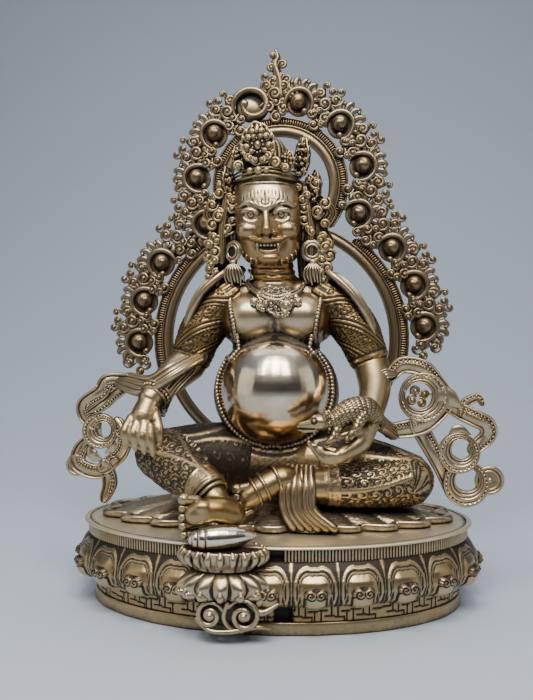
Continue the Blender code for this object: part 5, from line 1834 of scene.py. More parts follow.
    def hair(self) -> list[Shell]:
        """Locks behind the ears, the bun, curled ribbon bows and small curls at both sides."""
        x = self.x - 1
        pieces = [
            lump((x + 1, 6, 196), (20.5, 16.5, 13)),
            lump((x, 7, 178), (21.5, 16, 26)),
        ]
        for piece in pieces:
            piece.dark[:] = 0.3
            piece.gilt[:] = 0.4
        bun = grid_path([(x - 1, 3, z) for z in (196, 203, 211, 219, 224.5, 227.5)], 6)
        pieces.append(
            tube(bun, (12.8, 13.6, 13.8, 12.4, 8.8, 2.5), 96, grooves=(24, 0.045), gilt=0.4, dark=0.2)
        )
        chance = np.random.default_rng(11)
        for side in (-1, 1):
            for dx, dy, wide in ((19.5, 5, 7.0), (22.5, -3, 2.8), (26.5, 1, 3.0)):
                low = (x + side * (dx + 4), dy - 2, 148 - dy)
                lock = ((x + side * dx, dy, 194), (x + side * (dx + 3.5), dy - 1, 172), low)
                path = grid_path(lock, 10)
                pieces.append(
                    tube(
                        path, (wide, wide * 0.95, wide * 0.6), 28, grooves=(9, 0.10), gilt=0.5, dark=0.12
                    )
                )
            loop = (
                (x + side * 21, 3, 192),
                (x + side * 30 + 1.5, -1, 187),
                (x + side * 36.5 + 1.5, -1, 180),
                (x + side * 31 + 1.5, 0, 171),
                (x + side * 35.5 + 1.5, 1, 162),
                (x + side * 30, 2, 152),
                (x + side * 34.5 + 1.5, 0, 142),
                (x + side * 30 + 1.5, -3, 134),
            )
            path = grid_path(loop, 10)
            pieces.append(
                strap(
                    path,
                    (6.0, 7.0, 6.5, 7.5, 6.5, 7.5, 6.6, 5.0),
                    RIDGED,
                    (0.25 * side, -1, 0.1),
                    4.2,
                    0.45,
                )
            )
            for k in range(26):
                high = 199 - 2.35 * k
                spread = 25.0 + 6.5 * math.sin(k * 2.4) + (2.0 if high < 185 else -1.0)
                if high < 166:
                    spread = 33.5 + 2.5 * math.sin(k * 2.4)
                radius = chance.uniform(2.3, 4.0)
                centre = on_seat(x + side * spread + 1.2, -4.5 - chance.uniform(0, 2.2), high)
                start = chance.uniform(0, 360)
                hand = 1 if k % 2 else -1
                pieces += curl(centre, radius, start, 1.3, hand, 1.05, 0.9, gilt=0.35)
                disc = (radius * 0.95, 1.8, radius * 0.95)
                pieces.append(ball(np.add(centre, (0, 1.8, 0)), disc, segments=16, rings=8, dark=0.75))
        return pieces

    def build(self) -> None:
        """Makes the head's pieces."""
        cast("Head", self.mask(), Finishes.SATIN, hollow=(1.8, 0.5), rounds=(3, 30))
        small = merged([*self.teeth(), *self.beard(), *self.ears()])
        cast("Ears_and_beard", small, Finishes.CAST, hollow=(1.4, 0.6), rounds=(2, 8))
        cast("Hair", merged(self.hair()), Finishes.CHASED, hollow=(1.2, 0.7), rounds=(2, 10))


@dataclass
class Crown:
    """The jewelled band with its carved leaves."""

    x: float = -5.2
    leaves: tuple[tuple[float, ...], ...] = (
        (-9.2, -16, 217, 10.5, 12.5, 0, -4),
        (-20.5, -10, 210, 5.5, 8, 40, -24),
        (7.5, -12, 208, 6.0, 6.5, -30, 18),
        (16.5, -8, 211, 7.0, 12.5, -50, 8),
        (23.5, -3, 194, 6.5, 10.5, -60, 16),
        (-28.0, -3, 197, 6.5, 10.5, 60, -20),
    )

    def leaf(
        self, x: float, y: float, z: float, wide: float, tall: float, turn: float, lean: float
    ) -> list[Shell]:
        """One leaf: a pointed plate with a jewel, tendrils in pairs and a rim of small flames.

        Args:
            x: its middle on the figure's grid.
            y: likewise.
            z: likewise.
            wide: half its width.
            tall: half its height.
            turn: how far it turns about Z, in degrees.
            lean: how far it leans to the side.

        Returns:
            Its shells.
        """
        rotate = np.array(
            Matrix.Rotation(math.radians(turn), 3, "Z") @ Matrix.Rotation(math.radians(lean), 3, "Y")
        )
        first, out, second = rotate[:, 0], -rotate[:, 1], rotate[:, 2]
        middle = np.array(on_seat(x, y, z))

        def put(u: float, v: float, lift: float = 0.0) -> np.ndarray:
            """A place on the leaf, in shares of its half width and half height."""
            return middle + first * u * wide + second * v * tall + out * lift

        angle = np.linspace(0, 2 * math.pi, 48, endpoint=False)
        point = np.clip(np.sin(angle), 0, 1) ** 6
        reach = 0.86 * (1 - 0.05 * np.cos(angle * 9)) + 0.12 * point
        rings, shade = [], []
        for share, high in (
            (0.25, 2.0), (0.55, 1.7), (0.8, 1.1), (0.97, 0.5), (1.0, -0.5), (0.8, -2.0), (0.3, -2.4)
        ):
            u, v = np.cos(angle) * reach * share * (1 - 0.25 * point), np.sin(angle) * reach * share
            rings.append(
                middle
                + first * (u * wide)[:, None]
                + second * (v * tall)[:, None]
                + out * high
            )
            shade.append(np.full(len(angle), 0.8 if high > 0 else 0.4))
        pieces = [lattice(np.array(rings), 0.3, np.array(shade))]
        size = min(wide, tall * 0.8)
        pieces.append(
            ball(
                put(0, -0.05, 2.1), (size * 0.2, size * 0.2, size * 0.27), segments=18, rings=12, gilt=0.3
            )
        )
        for a in np.linspace(0, 2 * math.pi, 12)[:-1]:
            pieces.append(
                ball(
                    put(0.30 * math.cos(a), -0.05 + 0.33 * math.sin(a), 2.2),
                    size * 0.07,
                    segments=8,
                    rings=5,
                )
            )
        turn = np.linspace(0, 2 * math.pi, 61)
        peak = np.clip(np.sin(turn), 0, 1) ** 6
        size_at = 0.90 + 0.12 * peak - 0.035 * np.cos(turn * 9)
        outline = [
            put(math.cos(a) * r * (1 - 0.25 * c), math.sin(a) * r, 1.3)
            for a, r, c in zip(turn, size_at, peak)
        ]
        pieces.append(tube(np.array(outline), (size * 0.075, size * 0.075), 8, gilt=0.1))
        for side in (-1, 1):
            for u, v, r, start, hand, lift in (
                (0.50, -0.58, 0.24, 120, -1, 1.8),
                (0.62, -0.10, 0.20, 250, 1, 1.6),
                (0.50, 0.32, 0.20, 270, 1, 1.6),
                (0.26, 0.58, 0.17, 270, 1, 1.6),
                (0.20, -0.72, 0.18, 60, -1, 2.2),
                (0.20, 0.34, 0.12, 200, -1, 2.0),
                (0.34, -0.30, 0.12, 60, -1, 2.0),
            ):
                begin = start if side > 0 else 180 - start
                place = put(side * u, v, lift)
                thick, rise = size * 0.085, size * 0.10
                plane = (first, second)
                pieces += curl(
                    place, r * size, begin, 1.25, hand * side, thick, rise, plane=plane, gilt=0.2
                )
            for k in range(6):
                a = math.radians(-50 + k * 24) if side > 0 else math.radians(230 - k * 24)
                foot = put(0.80 * math.cos(a), 0.80 * math.sin(a), 1.0)
                tip_a = a + side * 0.16
                tip = put(1.0 * math.cos(tip_a), 1.0 * math.sin(tip_a), 0.6)
                line = np.array([foot, (foot + tip) / 2 + out * 0.4, tip])
                pieces.append(tube(line, (size * 0.10, size * 0.10, size * 0.03), 8, gilt=0.1))
        crest = [put(0, 0.62, 1.6), put(0.05, 0.85, 1.4), put(-0.02, 1.0, 0.9)]
        pieces.append(tube(np.array(crest), (size * 0.16, size * 0.12, size * 0.03), 10))
        return pieces

    def band(self) -> list[Shell]:
        """The cords round the hairline, discs under the front leaf, and small curls among the leaves."""
        x = self.x
        pieces = []
        for lift, thick, out in ((0.0, 0.85, 0.0), (2.3, 0.7, 0.5), (4.4, 0.6, 0.2)):
            line = (
                (x - 20, 0, 199),
                (x - 14, -12.0, 198.5),
                (x, -17.6, 199.5),
                (x + 14, -12.0, 198.5),
                (x + 20, 0, 199),
            )
            path = grid_path([(a * (1 + out * 0.01), b - out, c + lift) for a, b, c in line], 14)
            pieces.append(tube(path, (thick, thick), 8, gilt=0.4, dark=0.15))
        for at_x, size in ((-8.5, 2.2), (-3.6, 2.5), (1.0, 2.0)):
            at = np.array(on_seat(x + at_x, -18.0 + 0.02 * at_x * at_x, 202.2))
            pieces.append(ball(at, (size, 1.9, size), segments=18, rings=12, gilt=0.2))
            pieces.append(ball(at + np.array([0, -1.2, 0]), size * 0.45, segments=10, rings=6))
        for side, at_x, at_z, r, start in (
            (1, 6.0, 206.5, 3.4, 200), (-1, -15.5, 205.0, 3.0, 340), (1, 11.5, 203.5, 2.4, 160)
        ):
            pieces += curl(on_seat(x + at_x, -16.5, at_z), r, start, 1.3, -side, 1.1, 1.2, gilt=0.15)
        return pieces

    def build(self) -> None:
        """Makes the crown's pieces."""
        pieces = self.band()
        for leaf in self.leaves:
            pieces += self.leaf(*leaf)
        cast("Diadem", merged(pieces), Finishes.CHASED, hollow=(1.4, 0.8), rounds=(2, 8))


# Arms and legs


def banded(form: Shell, run: np.ndarray, at: float, width: float, high: float) -> np.ndarray:
    """A raised cuff: its height at each point, with a groove at both sides.

    Args:
        form: the limb.
        run: distance along the limb.
        at: where the cuff's middle lies.
        width: its width.
        high: how proud it stands.

    Returns:
        The height.
    """
    off = np.abs(run - at)
    groove = bell(off - width / 2, 0.0, 0.55)
    form.dark = np.clip(form.dark + groove * 0.75, 0, 1)
    return high * step(width / 2 - off, -0.4, 0.4) * (0.8 + 0.2 * np.cos(off / width * 9)) - 0.35 * groove


@dataclass
class Arm:
    """One arm: brocade sleeve, cuff, bare forearm and hand."""

    name: str
    side: int
    upper: tuple[tuple[float, float, float], ...]
    lower: tuple[tuple[float, float, float], ...]
    upper_radii: tuple[float, ...]
    lower_radii: tuple[float, ...]
    elbow_run: float
    voxel: float = 0.72
    lane_width: float = 13.0

    def form(self, hand: Sequence[Shell]) -> Shell:
        """The arm and hand as one casting with the sleeve's relief."""
        shells = [limb(self.upper, self.upper_radii, 36), limb(self.lower, self.lower_radii, 36), *hand]
        form = fused(shells, self.voxel, 3)
        path = np.concatenate([grid_path(self.upper, 8), grid_path(self.lower, 8)[1:]])
        run, angle, _ = limb_coordinates(form.points, path, FRONT)
        sleeve = step(self.elbow_run - run, 0.0, 1.6)
        around = angle * 12.0
        slant = run * 0.62 + self.side * around * 0.78
        lane = slant / self.lane_width
        inside = (lane - np.floor(lane)) * self.lane_width
        ribs = ridges(inside, 2.6) * step(5.4 - inside, -0.3, 0.3)
        field = step(inside, 5.6, 6.2)
        leafy = np.maximum(scrollwork(slant * 1.1, run, 5.6), pearls(slant, run * 1.1, 1.5) * 0.7)
        relief = sleeve * (ribs * 0.9 + field * leafy * 0.6 + 0.3)
        form.dark = np.clip(
            sleeve * ((0.55 - ribs) * (1 - field) * 0.9 + field * (0.62 - leafy) * 0.9), 0, 1
        )
        form.gilt = np.clip(
            sleeve * 0.8 + 0.15 + 0.5 * step(run, self.elbow_run + 18, self.elbow_run), 0, 1
        )
        relief += banded(form, run, self.elbow_run + 1.2, 4.6, 1.1)
        form.pressed(relief)
        return form

    def build(self, hand: Sequence[Shell]) -> None:
        """Makes the arm."""
        form = self.form(hand)
        cast(self.name, form, Finishes.CHASED, hollow=(1.5, 0.5), rounds=(3, 24))


@dataclass
class Arms:
    """Both arms, their hands, the lemon, the mongoose and the scarf on the shoulders and forearms."""

    def finger(self, points: Sequence[Sequence[float]], radius: float) -> list[Shell]:
        """A finger with its nail."""
        path = grid_path(points, 6)
        along = unit(path[-1] - path[-3])
        nail = path[-1] + along * radius * 0.2 + np.array([0, -radius * 0.55, radius * 0.15])
        return [
            tube(path, (radius, radius * 0.98, radius * 0.92, radius * 0.78), 16),
            ball(nail, (radius * 0.62, radius * 0.4, radius * 0.72), segments=14, rings=8),
        ]

    def resting_hand(self) -> list[Shell]:
        """The hand on the raised knee, its palm out and a lemon in it."""
        pieces = [
            limb(((-70, -27, 71), (-72.5, -33, 62)), (6.2, 7.2), 24),
            lump((-74, -35, 52), (6, 6, 7)),
            lump((-74, -40.5, 49.5), (0.9, 0.9, 1.2)),
        ]
        for i in range(4):
            across = -78.5 + 3.9 * i
            knuckle = (across, -36 - 1.2 * i, 62 - 1.5 * i)
            middle = (across - 2.2 + i, -42, 55 - 1.6 * i)
            tip = (across - 1.2 + 1.2 * i, -41, 47 - 1.6 * i)
            pieces += self.finger((knuckle, middle, tip), 2.5)
        pieces += self.finger(((-66, -31, 65), (-62.5, -37, 56), (-62, -38, 47)), 2.7)
        return pieces

    def holding_hand(self) -> list[Shell]:
        """The hand under the mongoose."""
        pieces = [limb(((54, -29, 62), (48, -36, 50), (38, -44, 44)), (6.6, 6.5, 4.2), 24)]
        for i in range(3):
            start = (46 - 2 * i, -38 - 2 * i, 47 - 2.5 * i)
            bend = (36 - 3 * i, -46, 43.5 - 1.2 * i)
            tip = (28 - 3.5 * i, -45, 46.5 + 1.6 * i)
            pieces += self.finger((start, bend, tip), 2.3)
        pieces += self.finger(((53, -34, 57), (46, -44, 56), (37, -46, 54)), 2.6)
        return pieces

    def mongoose(self) -> Shell:
        """The jewel-spitting mongoose with combed fur, ears and eyes."""
        spine = ((57, -35, 64), (51, -39, 68), (43, -42, 67), (36, -43.5, 63), (29.5, -44.5, 61))
        shells = [
            limb(spine, (4.6, 6.6, 6.8, 5.4, 4.0), 28),
            limb(((57, -35, 64), (61, -30, 60), (60, -27, 55)), (3.0, 2.4, 1.2), 16),
            limb(((37, -45, 60), (34, -48, 54), (30, -49, 50)), (3, 2.0, 1.7), 16),
            limb(((49, -45, 65), (45, -49, 58), (41, -50, 53)), (3.4, 2.3, 1.7), 16),
            lump((26.5, -45.0, 61.4), (5.4, 4.5, 4.3), (0, 12, 0)),
            limb(((25, -45.2, 60.8), (20.5, -45.0, 59.8), (16.6, -44.6, 59.4)), (3.7, 2.7, 1.8), 20),
            limb(((24, -45.0, 57.8), (20, -44.8, 56.8), (17.2, -44.6, 56.4)), (1.9, 1.4, 1.0), 14),
            lump((29.6, -48.2, 65.0), (1.7, 1.0, 2.2), (0, 24, 0)),
            lump((29.6, -42.0, 65.4), (1.7, 1.0, 2.2), (0, 24, 0)),
            lump((23.4, -48.5, 62.4), 1.15),
            lump((15.2, -44.8, 57.8), 1.6),
        ]
        form = fused(shells, 0.5, 2)
        path = grid_path(spine, 8)
        run, angle, _ = limb_coordinates(form.points, path, np.array([0, 0, 1.0]))
        row = np.floor(run / 2.1)
        share = run / 2.1 - row
        tuft = np.abs(np.cos(math.pi * (angle * 4.2 + 0.5 * (row % 2)))) * np.sin(math.pi * share) ** 0.6
        body = step(run, -1, 1) * (1 - step(form.points[:, 0] * -1, -30, -27))
        form.pressed(0.42 * tuft * body)
        eye = np.linalg.norm(form.points - np.array(on_seat(23.4, -48.9, 62.4)), axis=1)
        lips = bell(form.points[:, 2] - FLOOR_TO_SEAT, 57.9, 0.5) * (form.points[:, 0] < 24)
        form.dark = np.clip((0.55 - tuft) * body + 0.9 * bell(eye, 1.5, 0.5) + lips, 0, 0.9)
        form.gilt = np.full(len(form.points), 0.2)
        return form

    def jewels(self) -> list[Shell]:
        """The bracelet, the beads at the mongoose's neck and the mouth's jewel."""
        pieces = []
        centre, way = np.array(on_seat(-67.8, -23.8, 73.8)), unit(np.array([-5.0, -8.5, -8.5]))
        side = unit(np.cross(way, [0, 0, 1.0]))
        lift = np.cross(side, way)
        for shift, radius, thick in ((-2.6, 8.4, 0.9), (1.9, 7.9, 0.9)):
            ring = circle(centre + way * shift, side, lift, radius, 48)
            pieces.append(tube(ring, (thick, thick), 8, gilt=0.2))
        for k in range(22):
            turn = 2 * math.pi * k / 22
            at = centre - way * 0.4 + side * math.cos(turn) * 8.2 + lift * math.sin(turn) * 8.2
            pieces.append(ball(at, 1.25, segments=10, rings=6))
        pieces.append(ball(centre - way * 0.4, 1.0, segments=8, rings=6))
        for k in range(7):
            turn = math.radians(150 + 40 * k)
            at = (
                np.array(on_seat(31.0, -44.3, 61.4))
                + np.array([0.6, math.sin(turn) * 5.2, math.cos(turn) * 5.2])
            )
            pieces.append(ball(at, 1.0, segments=10, rings=6, gilt=0.6))
        return pieces

    def scarf(self) -> list[Shell]:
        """Bands over both shoulders and round both forearms."""
        pieces = []
        for side, points in (
            (-1, ((-22, 8, 147), (-32, -4, 144), (-43, -9, 134), (-50, -9, 121), (-54, -5, 108))),
            (1, ((23, 8, 147), (33, -5, 144), (45, -10, 133), (54, -10, 119), (59, -7, 105))),
        ):
            path = grid_path(points, 12)
            pieces.append(strap(path, (7, 8.5, 7.0, 3.0), RIDGED, (side * 0.85, -0.5, 0.25), 3.8, 0.3))
        left = ((-45, -13, 95), (-57, -25.5, 87.5), (-72, -24, 79), (-88, -14, 80.5))
        pieces.append(strap(grid_path(left, 14), (12, 14, 15, 13), RIDGED, (-0.3, -0.6, 0.75), 4.6, 0.2))
        under = ((-49, -17, 88), (-59, -25, 76), (-65, -20, 66), (-66, -10, 62))
        pieces.append(strap(grid_path(under, 12), (7, 8, 8, 6), RIDGED, (0.45, -0.85, 0.2), 3.8, 0.2))
        right = ((47, -19, 68), (57, -26.5, 61.5), (68.5, -13.5, 52))
        pieces.append(strap(grid_path(right, 14), (9, 11, 9.5), RIDGED, (0.1, -0.8, 0.6), 4.4, 0.15))
        high = ((60, -10, 78), (63, -15, 85), (68.5, -13, 85.5))
        pieces.append(strap(grid_path(high, 10), (7, 7, 4), RIDGED, (0.2, -1, 0.1), 3.6, 0.15))
        return pieces

    def build(self) -> None:
        """Makes both arms and what they hold."""
        Arm(
            "Resting_arm",
            -1,
            ((-28, 4, 130), (-37, 3, 122), (-46, 0, 107), (-52, -3, 91)),
            ((-52, -3, 91), (-61, -14, 82), (-70, -27, 72)),
            (13, 13.5, 12.5, 11),
            (11, 9.6, 7.0),
            43.0,
        ).build(self.resting_hand())
        Arm(
            "Holding_arm",
            1,
            ((29, 4, 130), (40, 3, 122), (50, 0, 107), (57, -2, 90)),
            ((57, -2, 90), (58, -14, 77), (54, -29, 63)),
            (13, 13.5, 12.5, 10.5),
            (10.5, 9.2, 7.4),
            45.0,
        ).build(self.holding_hand())
        cast("Mongoose", merged([self.mongoose(), *self.jewels()]), Finishes.CHASED, hollow=(1.4, 0.4))
        cast("Arm_scarves", merged(self.scarf()), Finishes.CAST, hollow=(1.0, 0.5), rounds=(2, 8))


@dataclass
class Legs:
    """The hanging leg, the folded leg with its pleats, both feet, and the cloth they rest on."""

    voxel: float = 0.72

    def brocade(
        self, form: Shell, path: np.ndarray, length: float, hint: np.ndarray, cell: float
    ) -> Shell:
        """Chases tendrils, a hem and a long plain fold into a trouser leg.

        Args:
            form: the leg.
            path: its middle line.
            length: how far along it the cloth goes.
            hint: where the angle round it is measured from.
            cell: the tendrils' size.

        Returns:
            The leg with its relief.
        """
        run, angle, _ = limb_coordinates(form.points, path, hint)
        cloth = step(length - run, 0.0, 1.5) * step(run, 0.3, 4.0)
        around = angle * 16.0
        wander = 1.4 * np.sin(around * 0.21 + 1.0) + 1.1 * np.sin(run * 0.17)
        pattern = np.maximum(
            scrollwork(run + wander, around + wander, cell), pearls(run, around, 1.5) * 0.4
        )
        calm = 1 - step(run, 42, 54)
        pattern = pattern * (1 - 0.6 * calm)
        fold = np.zeros(len(run))
        for lift, reach, at in ((9, 0.05, 3), (7, 0.04, -14), (5, 0.06, 18)):
            fold += np.exp(-(((np.sin(run * reach + lift) * 7 + at - around) / 1.5) ** 2))
        hem = bell(run - length + 3.0, 0.0, 0.6) + bell(run - length + 8.5, 0.0, 0.6)
        dotted = pearls(run, around, 1.9) * ((run > length - 8) & (run < length - 3.5))
        body = cloth * (run < length - 8.5)
        plain = np.clip(fold + hem, 0, 1)
        relief = cloth * 0.45 + body * pattern * 0.5 * (1 - plain) + plain * 0.75 * cloth + dotted * 0.45
        # The stretch of cloth nearest the body, under the belly, gets painted shade besides the dark ground
        # of its pattern
        form.dark = np.clip(body * (0.70 - pattern) * 0.9 * (1 - plain) + 0.12 * body * calm, 0, 1)
        form.gilt = np.clip(0.5 - 0.3 * cloth + 0.35 * step(np.abs(angle), 1.0, 2.0) * cloth, 0, 1)
        form.pressed(relief)
        return form

    def toes(self, starts: Sequence[tuple[Sequence[float], Sequence[float], float]]) -> list[Shell]:
        """Toes as short round-ended limbs, each with a ball of a tip and a nail."""
        pieces = []
        for start, end, size in starts:
            pieces.append(limb((start, end), (size * 0.85, size * 0.8), 16, gilt=0.2))
            pieces.append(lump(end, size, gilt=0.0))
            nail = np.add(end, (-0.25 * size, -0.62 * size, 0.35 * size))
            pieces.append(lump(nail, (size * 0.5, size * 0.38, size * 0.45)))
        return pieces

    def hanging(self) -> Shell:
        """The leg that hangs down to the conch."""
        thigh = ((-20, 4, 32), (-45, -8, 36), (-65, -22, 39))
        shin = ((-65, -23, 40), (-50, -38, 33), (-33, -53, 27))
        starts = []
        for i in range(5):
            reach = 1.6 * math.sin(math.pi * (i + 1) / 6)
            size = 3.0 if i == 0 else 2.2
            root = (-36, -67.5 + 0.6 * i, 23.6 - 4.1 * i)
            starts.append((root, (-41.5 - reach, -70.5 + 0.4 * i, 24.8 - 4.7 * i), size))
        shells = [
            limb(thigh, (23, 19, 14), 44),
            limb(shin, (14, 13, 9.5), 44),
            limb(((-33, -54, 27), (-27, -59, 21)), (7.5, 7), 28),
            limb(((-19.0, -61, 15.5), (-27, -66, 18.5), (-36, -67.5, 17.0)), (7.4, 6.4, 6.8), 28),
            lump((-33, -70.0, 20.5), (5.4, 4.2, 4.2)),
        ]
        form = fused(shells, self.voxel, 2)
        path = np.concatenate([grid_path(thigh, 8), grid_path(shin, 8)[1:]])
        path = np.concatenate([path, placed(((-27, -59, 21), (-20, -63, 15)))])
        form = self.brocade(form, path, 103.0, np.array([0, -0.5, 1.0]), 7.6)
        foot = form.points[:, 2] < FLOOR_TO_SEAT + 23
        ahead = step(-form.points[:, 1], 56, 60) * foot
        form.gilt = np.where(
            foot, np.clip(step(form.points[:, 0], -34, -22) * 0.9 + 0.15, 0, 1) * ahead, form.gilt
        )
        return merged([form, *self.toes(starts)])

    def folded(self) -> Shell:
        """The leg that lies along the seat."""
        thigh = ((22, 2, 30), (52, -4, 28), (76, -9, 25))
        shin = ((77, -11, 24), (52, -20, 23), (20, -27, 23))
        starts = [
            ((-11, -38, 25 - 3.4 * i), (-18.5, -42, 24.0 - 4.0 * i), 2.2 if i else 2.9) for i in range(5)
        ]
        shells = [
            limb(thigh, (23, 19, 14.5), 44),
            limb(shin, (14.5, 12.5, 10), 44),
            limb(((16, -28, 25), (6, -32, 28), (-4, -36, 24), (-13, -39, 19)), (6.5, 7.8, 7.4, 6.0), 28),
        ]
        form = fused(shells, self.voxel, 2)
        path = np.concatenate([grid_path(thigh, 8), grid_path(shin, 8)[1:]])
        form = self.brocade(form, path, 108.0, np.array([0, -0.5, 1.0]), 7.2)
        foot = (form.points[:, 0] < 14) & (form.points[:, 1] < -24)
        form.gilt = np.where(foot, 0.6, form.gilt)
        return merged([form, *self.toes(starts)])

    def pleats(self) -> list[Shell]:
        """The pleated skirt that falls from the folded shin, its cuff, and both anklets."""
        pieces = []
        for i in range(6):
            top, middle, low = 9 + 2.6 * i, 6.5 + 3.2 * i, 12 + 4.4 * i
            line = (
                (top, -27 - 0.6 * i, 34),
                (middle, -37.0 + 0.5 * (i % 2), 25),
                (middle + 0.5, -39.5 + 0.7 * (i % 2), 13),
                (low, -39.5 - 0.4 * i, 3.5),
            )
            path = grid_path(line, 10)
            pieces.append(strap(path, (3.6, 4.3, 4.4, 5.4), HALF_ROUND, (-0.25, -1, 0.3), 5.6, 0.45))
        for centre, way, radius in (
            ((-31.5, -55.0, 26.2), (0.75, -0.6, -0.7), 8.9),
            ((-29.8, -56.6, 24.4), (0.75, -0.6, -0.7), 8.5),
            ((13.5, -29.5, 26.5), (1.0, 0.35, -0.2), 8.4),
            ((2.0, -33.6, 28.0), (1.0, 0.4, 0.35), 8.0),
            ((-4.5, -36.0, 24.2), (1.0, 0.35, 0.5), 7.7),
            ((-8.5, -37.4, 21.8), (1.0, 0.3, 0.5), 7.2),
        ):
            axis = unit(np.array(way))
            side = unit(np.cross(axis, [0, 0, 1.0]))
            lift = np.cross(side, axis)
            ring = circle(np.array(on_seat(*centre)), side, lift, radius, 40)
            pieces.append(tube(ring, (1.0, 1.0), 8, gilt=0.5))
        return pieces

    def cloth(self) -> Shell:
        """The spread skirt under the figure, with raised rims round its lobes."""
        columns, half_wide, half_deep, lobes = 600, 106.0, 42.5, 22
        angle = np.linspace(0, 2 * math.pi, columns, endpoint=False)
        edge = np.hypot(half_wide * np.sin(angle), half_deep * np.cos(angle))
        lobe_at = np.concatenate([[0], np.cumsum(edge)[:-1]]) / edge.sum() * math.pi * lobes
        rings, dark, gilt = [], [], []
        lobe = np.abs(np.sin(lobe_at))
        for size, high in (
            (0.985, 0.25),
            (1.0, 0.5),
            (1.003, 1.7),
            (0.998, 3.1),
            (0.985, 4.1),
            (0.965, 4.0),
            (0.948, 2.3),
            *((s, 2.0 + (0.95 - s) * 24) for s in np.linspace(0.945, 0.55, 34)),
            (0.4, 13.5),
            (0.2, 14.0),
        ):
            notch = 0.105 * (1 - lobe) ** 1.3
            scallop = 1 - notch * (1 if size > 0.9 else max(0.25, (size - 0.5) / 0.4))
            reach_x, reach_y = half_wide * size * scallop, half_deep * size * scallop
            x, y = reach_x * np.cos(angle), reach_y * np.sin(angle)
            run = (1 - size) * 60
            ground, leaf = np.zeros(columns), np.zeros(columns)
            if 0.6 < size < 0.95:
                ground = pearls(angle * 70, np.full(columns, run), 2.0)
            if 0.6 < size < 0.93:
                leaf = scrollwork(angle * 70, np.full(columns, run * 1.3), 8.0)
            fold = bell(lobe, 0.0, 0.16) * (0.8 < size < 0.99) * step(np.float64(size), 0.82, 0.93)
            z = high + 0.3 * ground * (1 - leaf) + 0.45 * leaf - 1.2 * fold
            rings.append(np.stack([x, y, z + FLOOR_TO_SEAT], axis=-1))
            shade = 0.45 * fold + (0.24 * (1 - ground) * (1 - leaf) if 0.6 < size < 0.95 else 0)
            shade = shade + (0.6 if abs(size - 0.945) < 0.006 else 0.0)
            dark.append(np.clip(np.broadcast_to(shade, (columns,)), 0, 1))
            gilt.append(np.full(columns, 0.1))
        return lattice(np.array(rings), np.array(gilt), np.array(dark))

    def build(self) -> None:
        """Makes the legs and the cloth."""
        cast("Hanging_leg", self.hanging(), Finishes.CHASED, hollow=(1.5, 0.5), rounds=(3, 24))
        cast("Folded_leg", self.folded(), Finishes.CHASED, hollow=(1.5, 0.5), rounds=(3, 24))
        cast("Pleats", merged(self.pleats()), Finishes.CAST, hollow=(0.8, 0.3), rounds=(2, 8))
        cast("Spread_skirt", self.cloth(), Finishes.CAST, hollow=(0.9, 0.3), rounds=(2, 12))


# Scarf ends


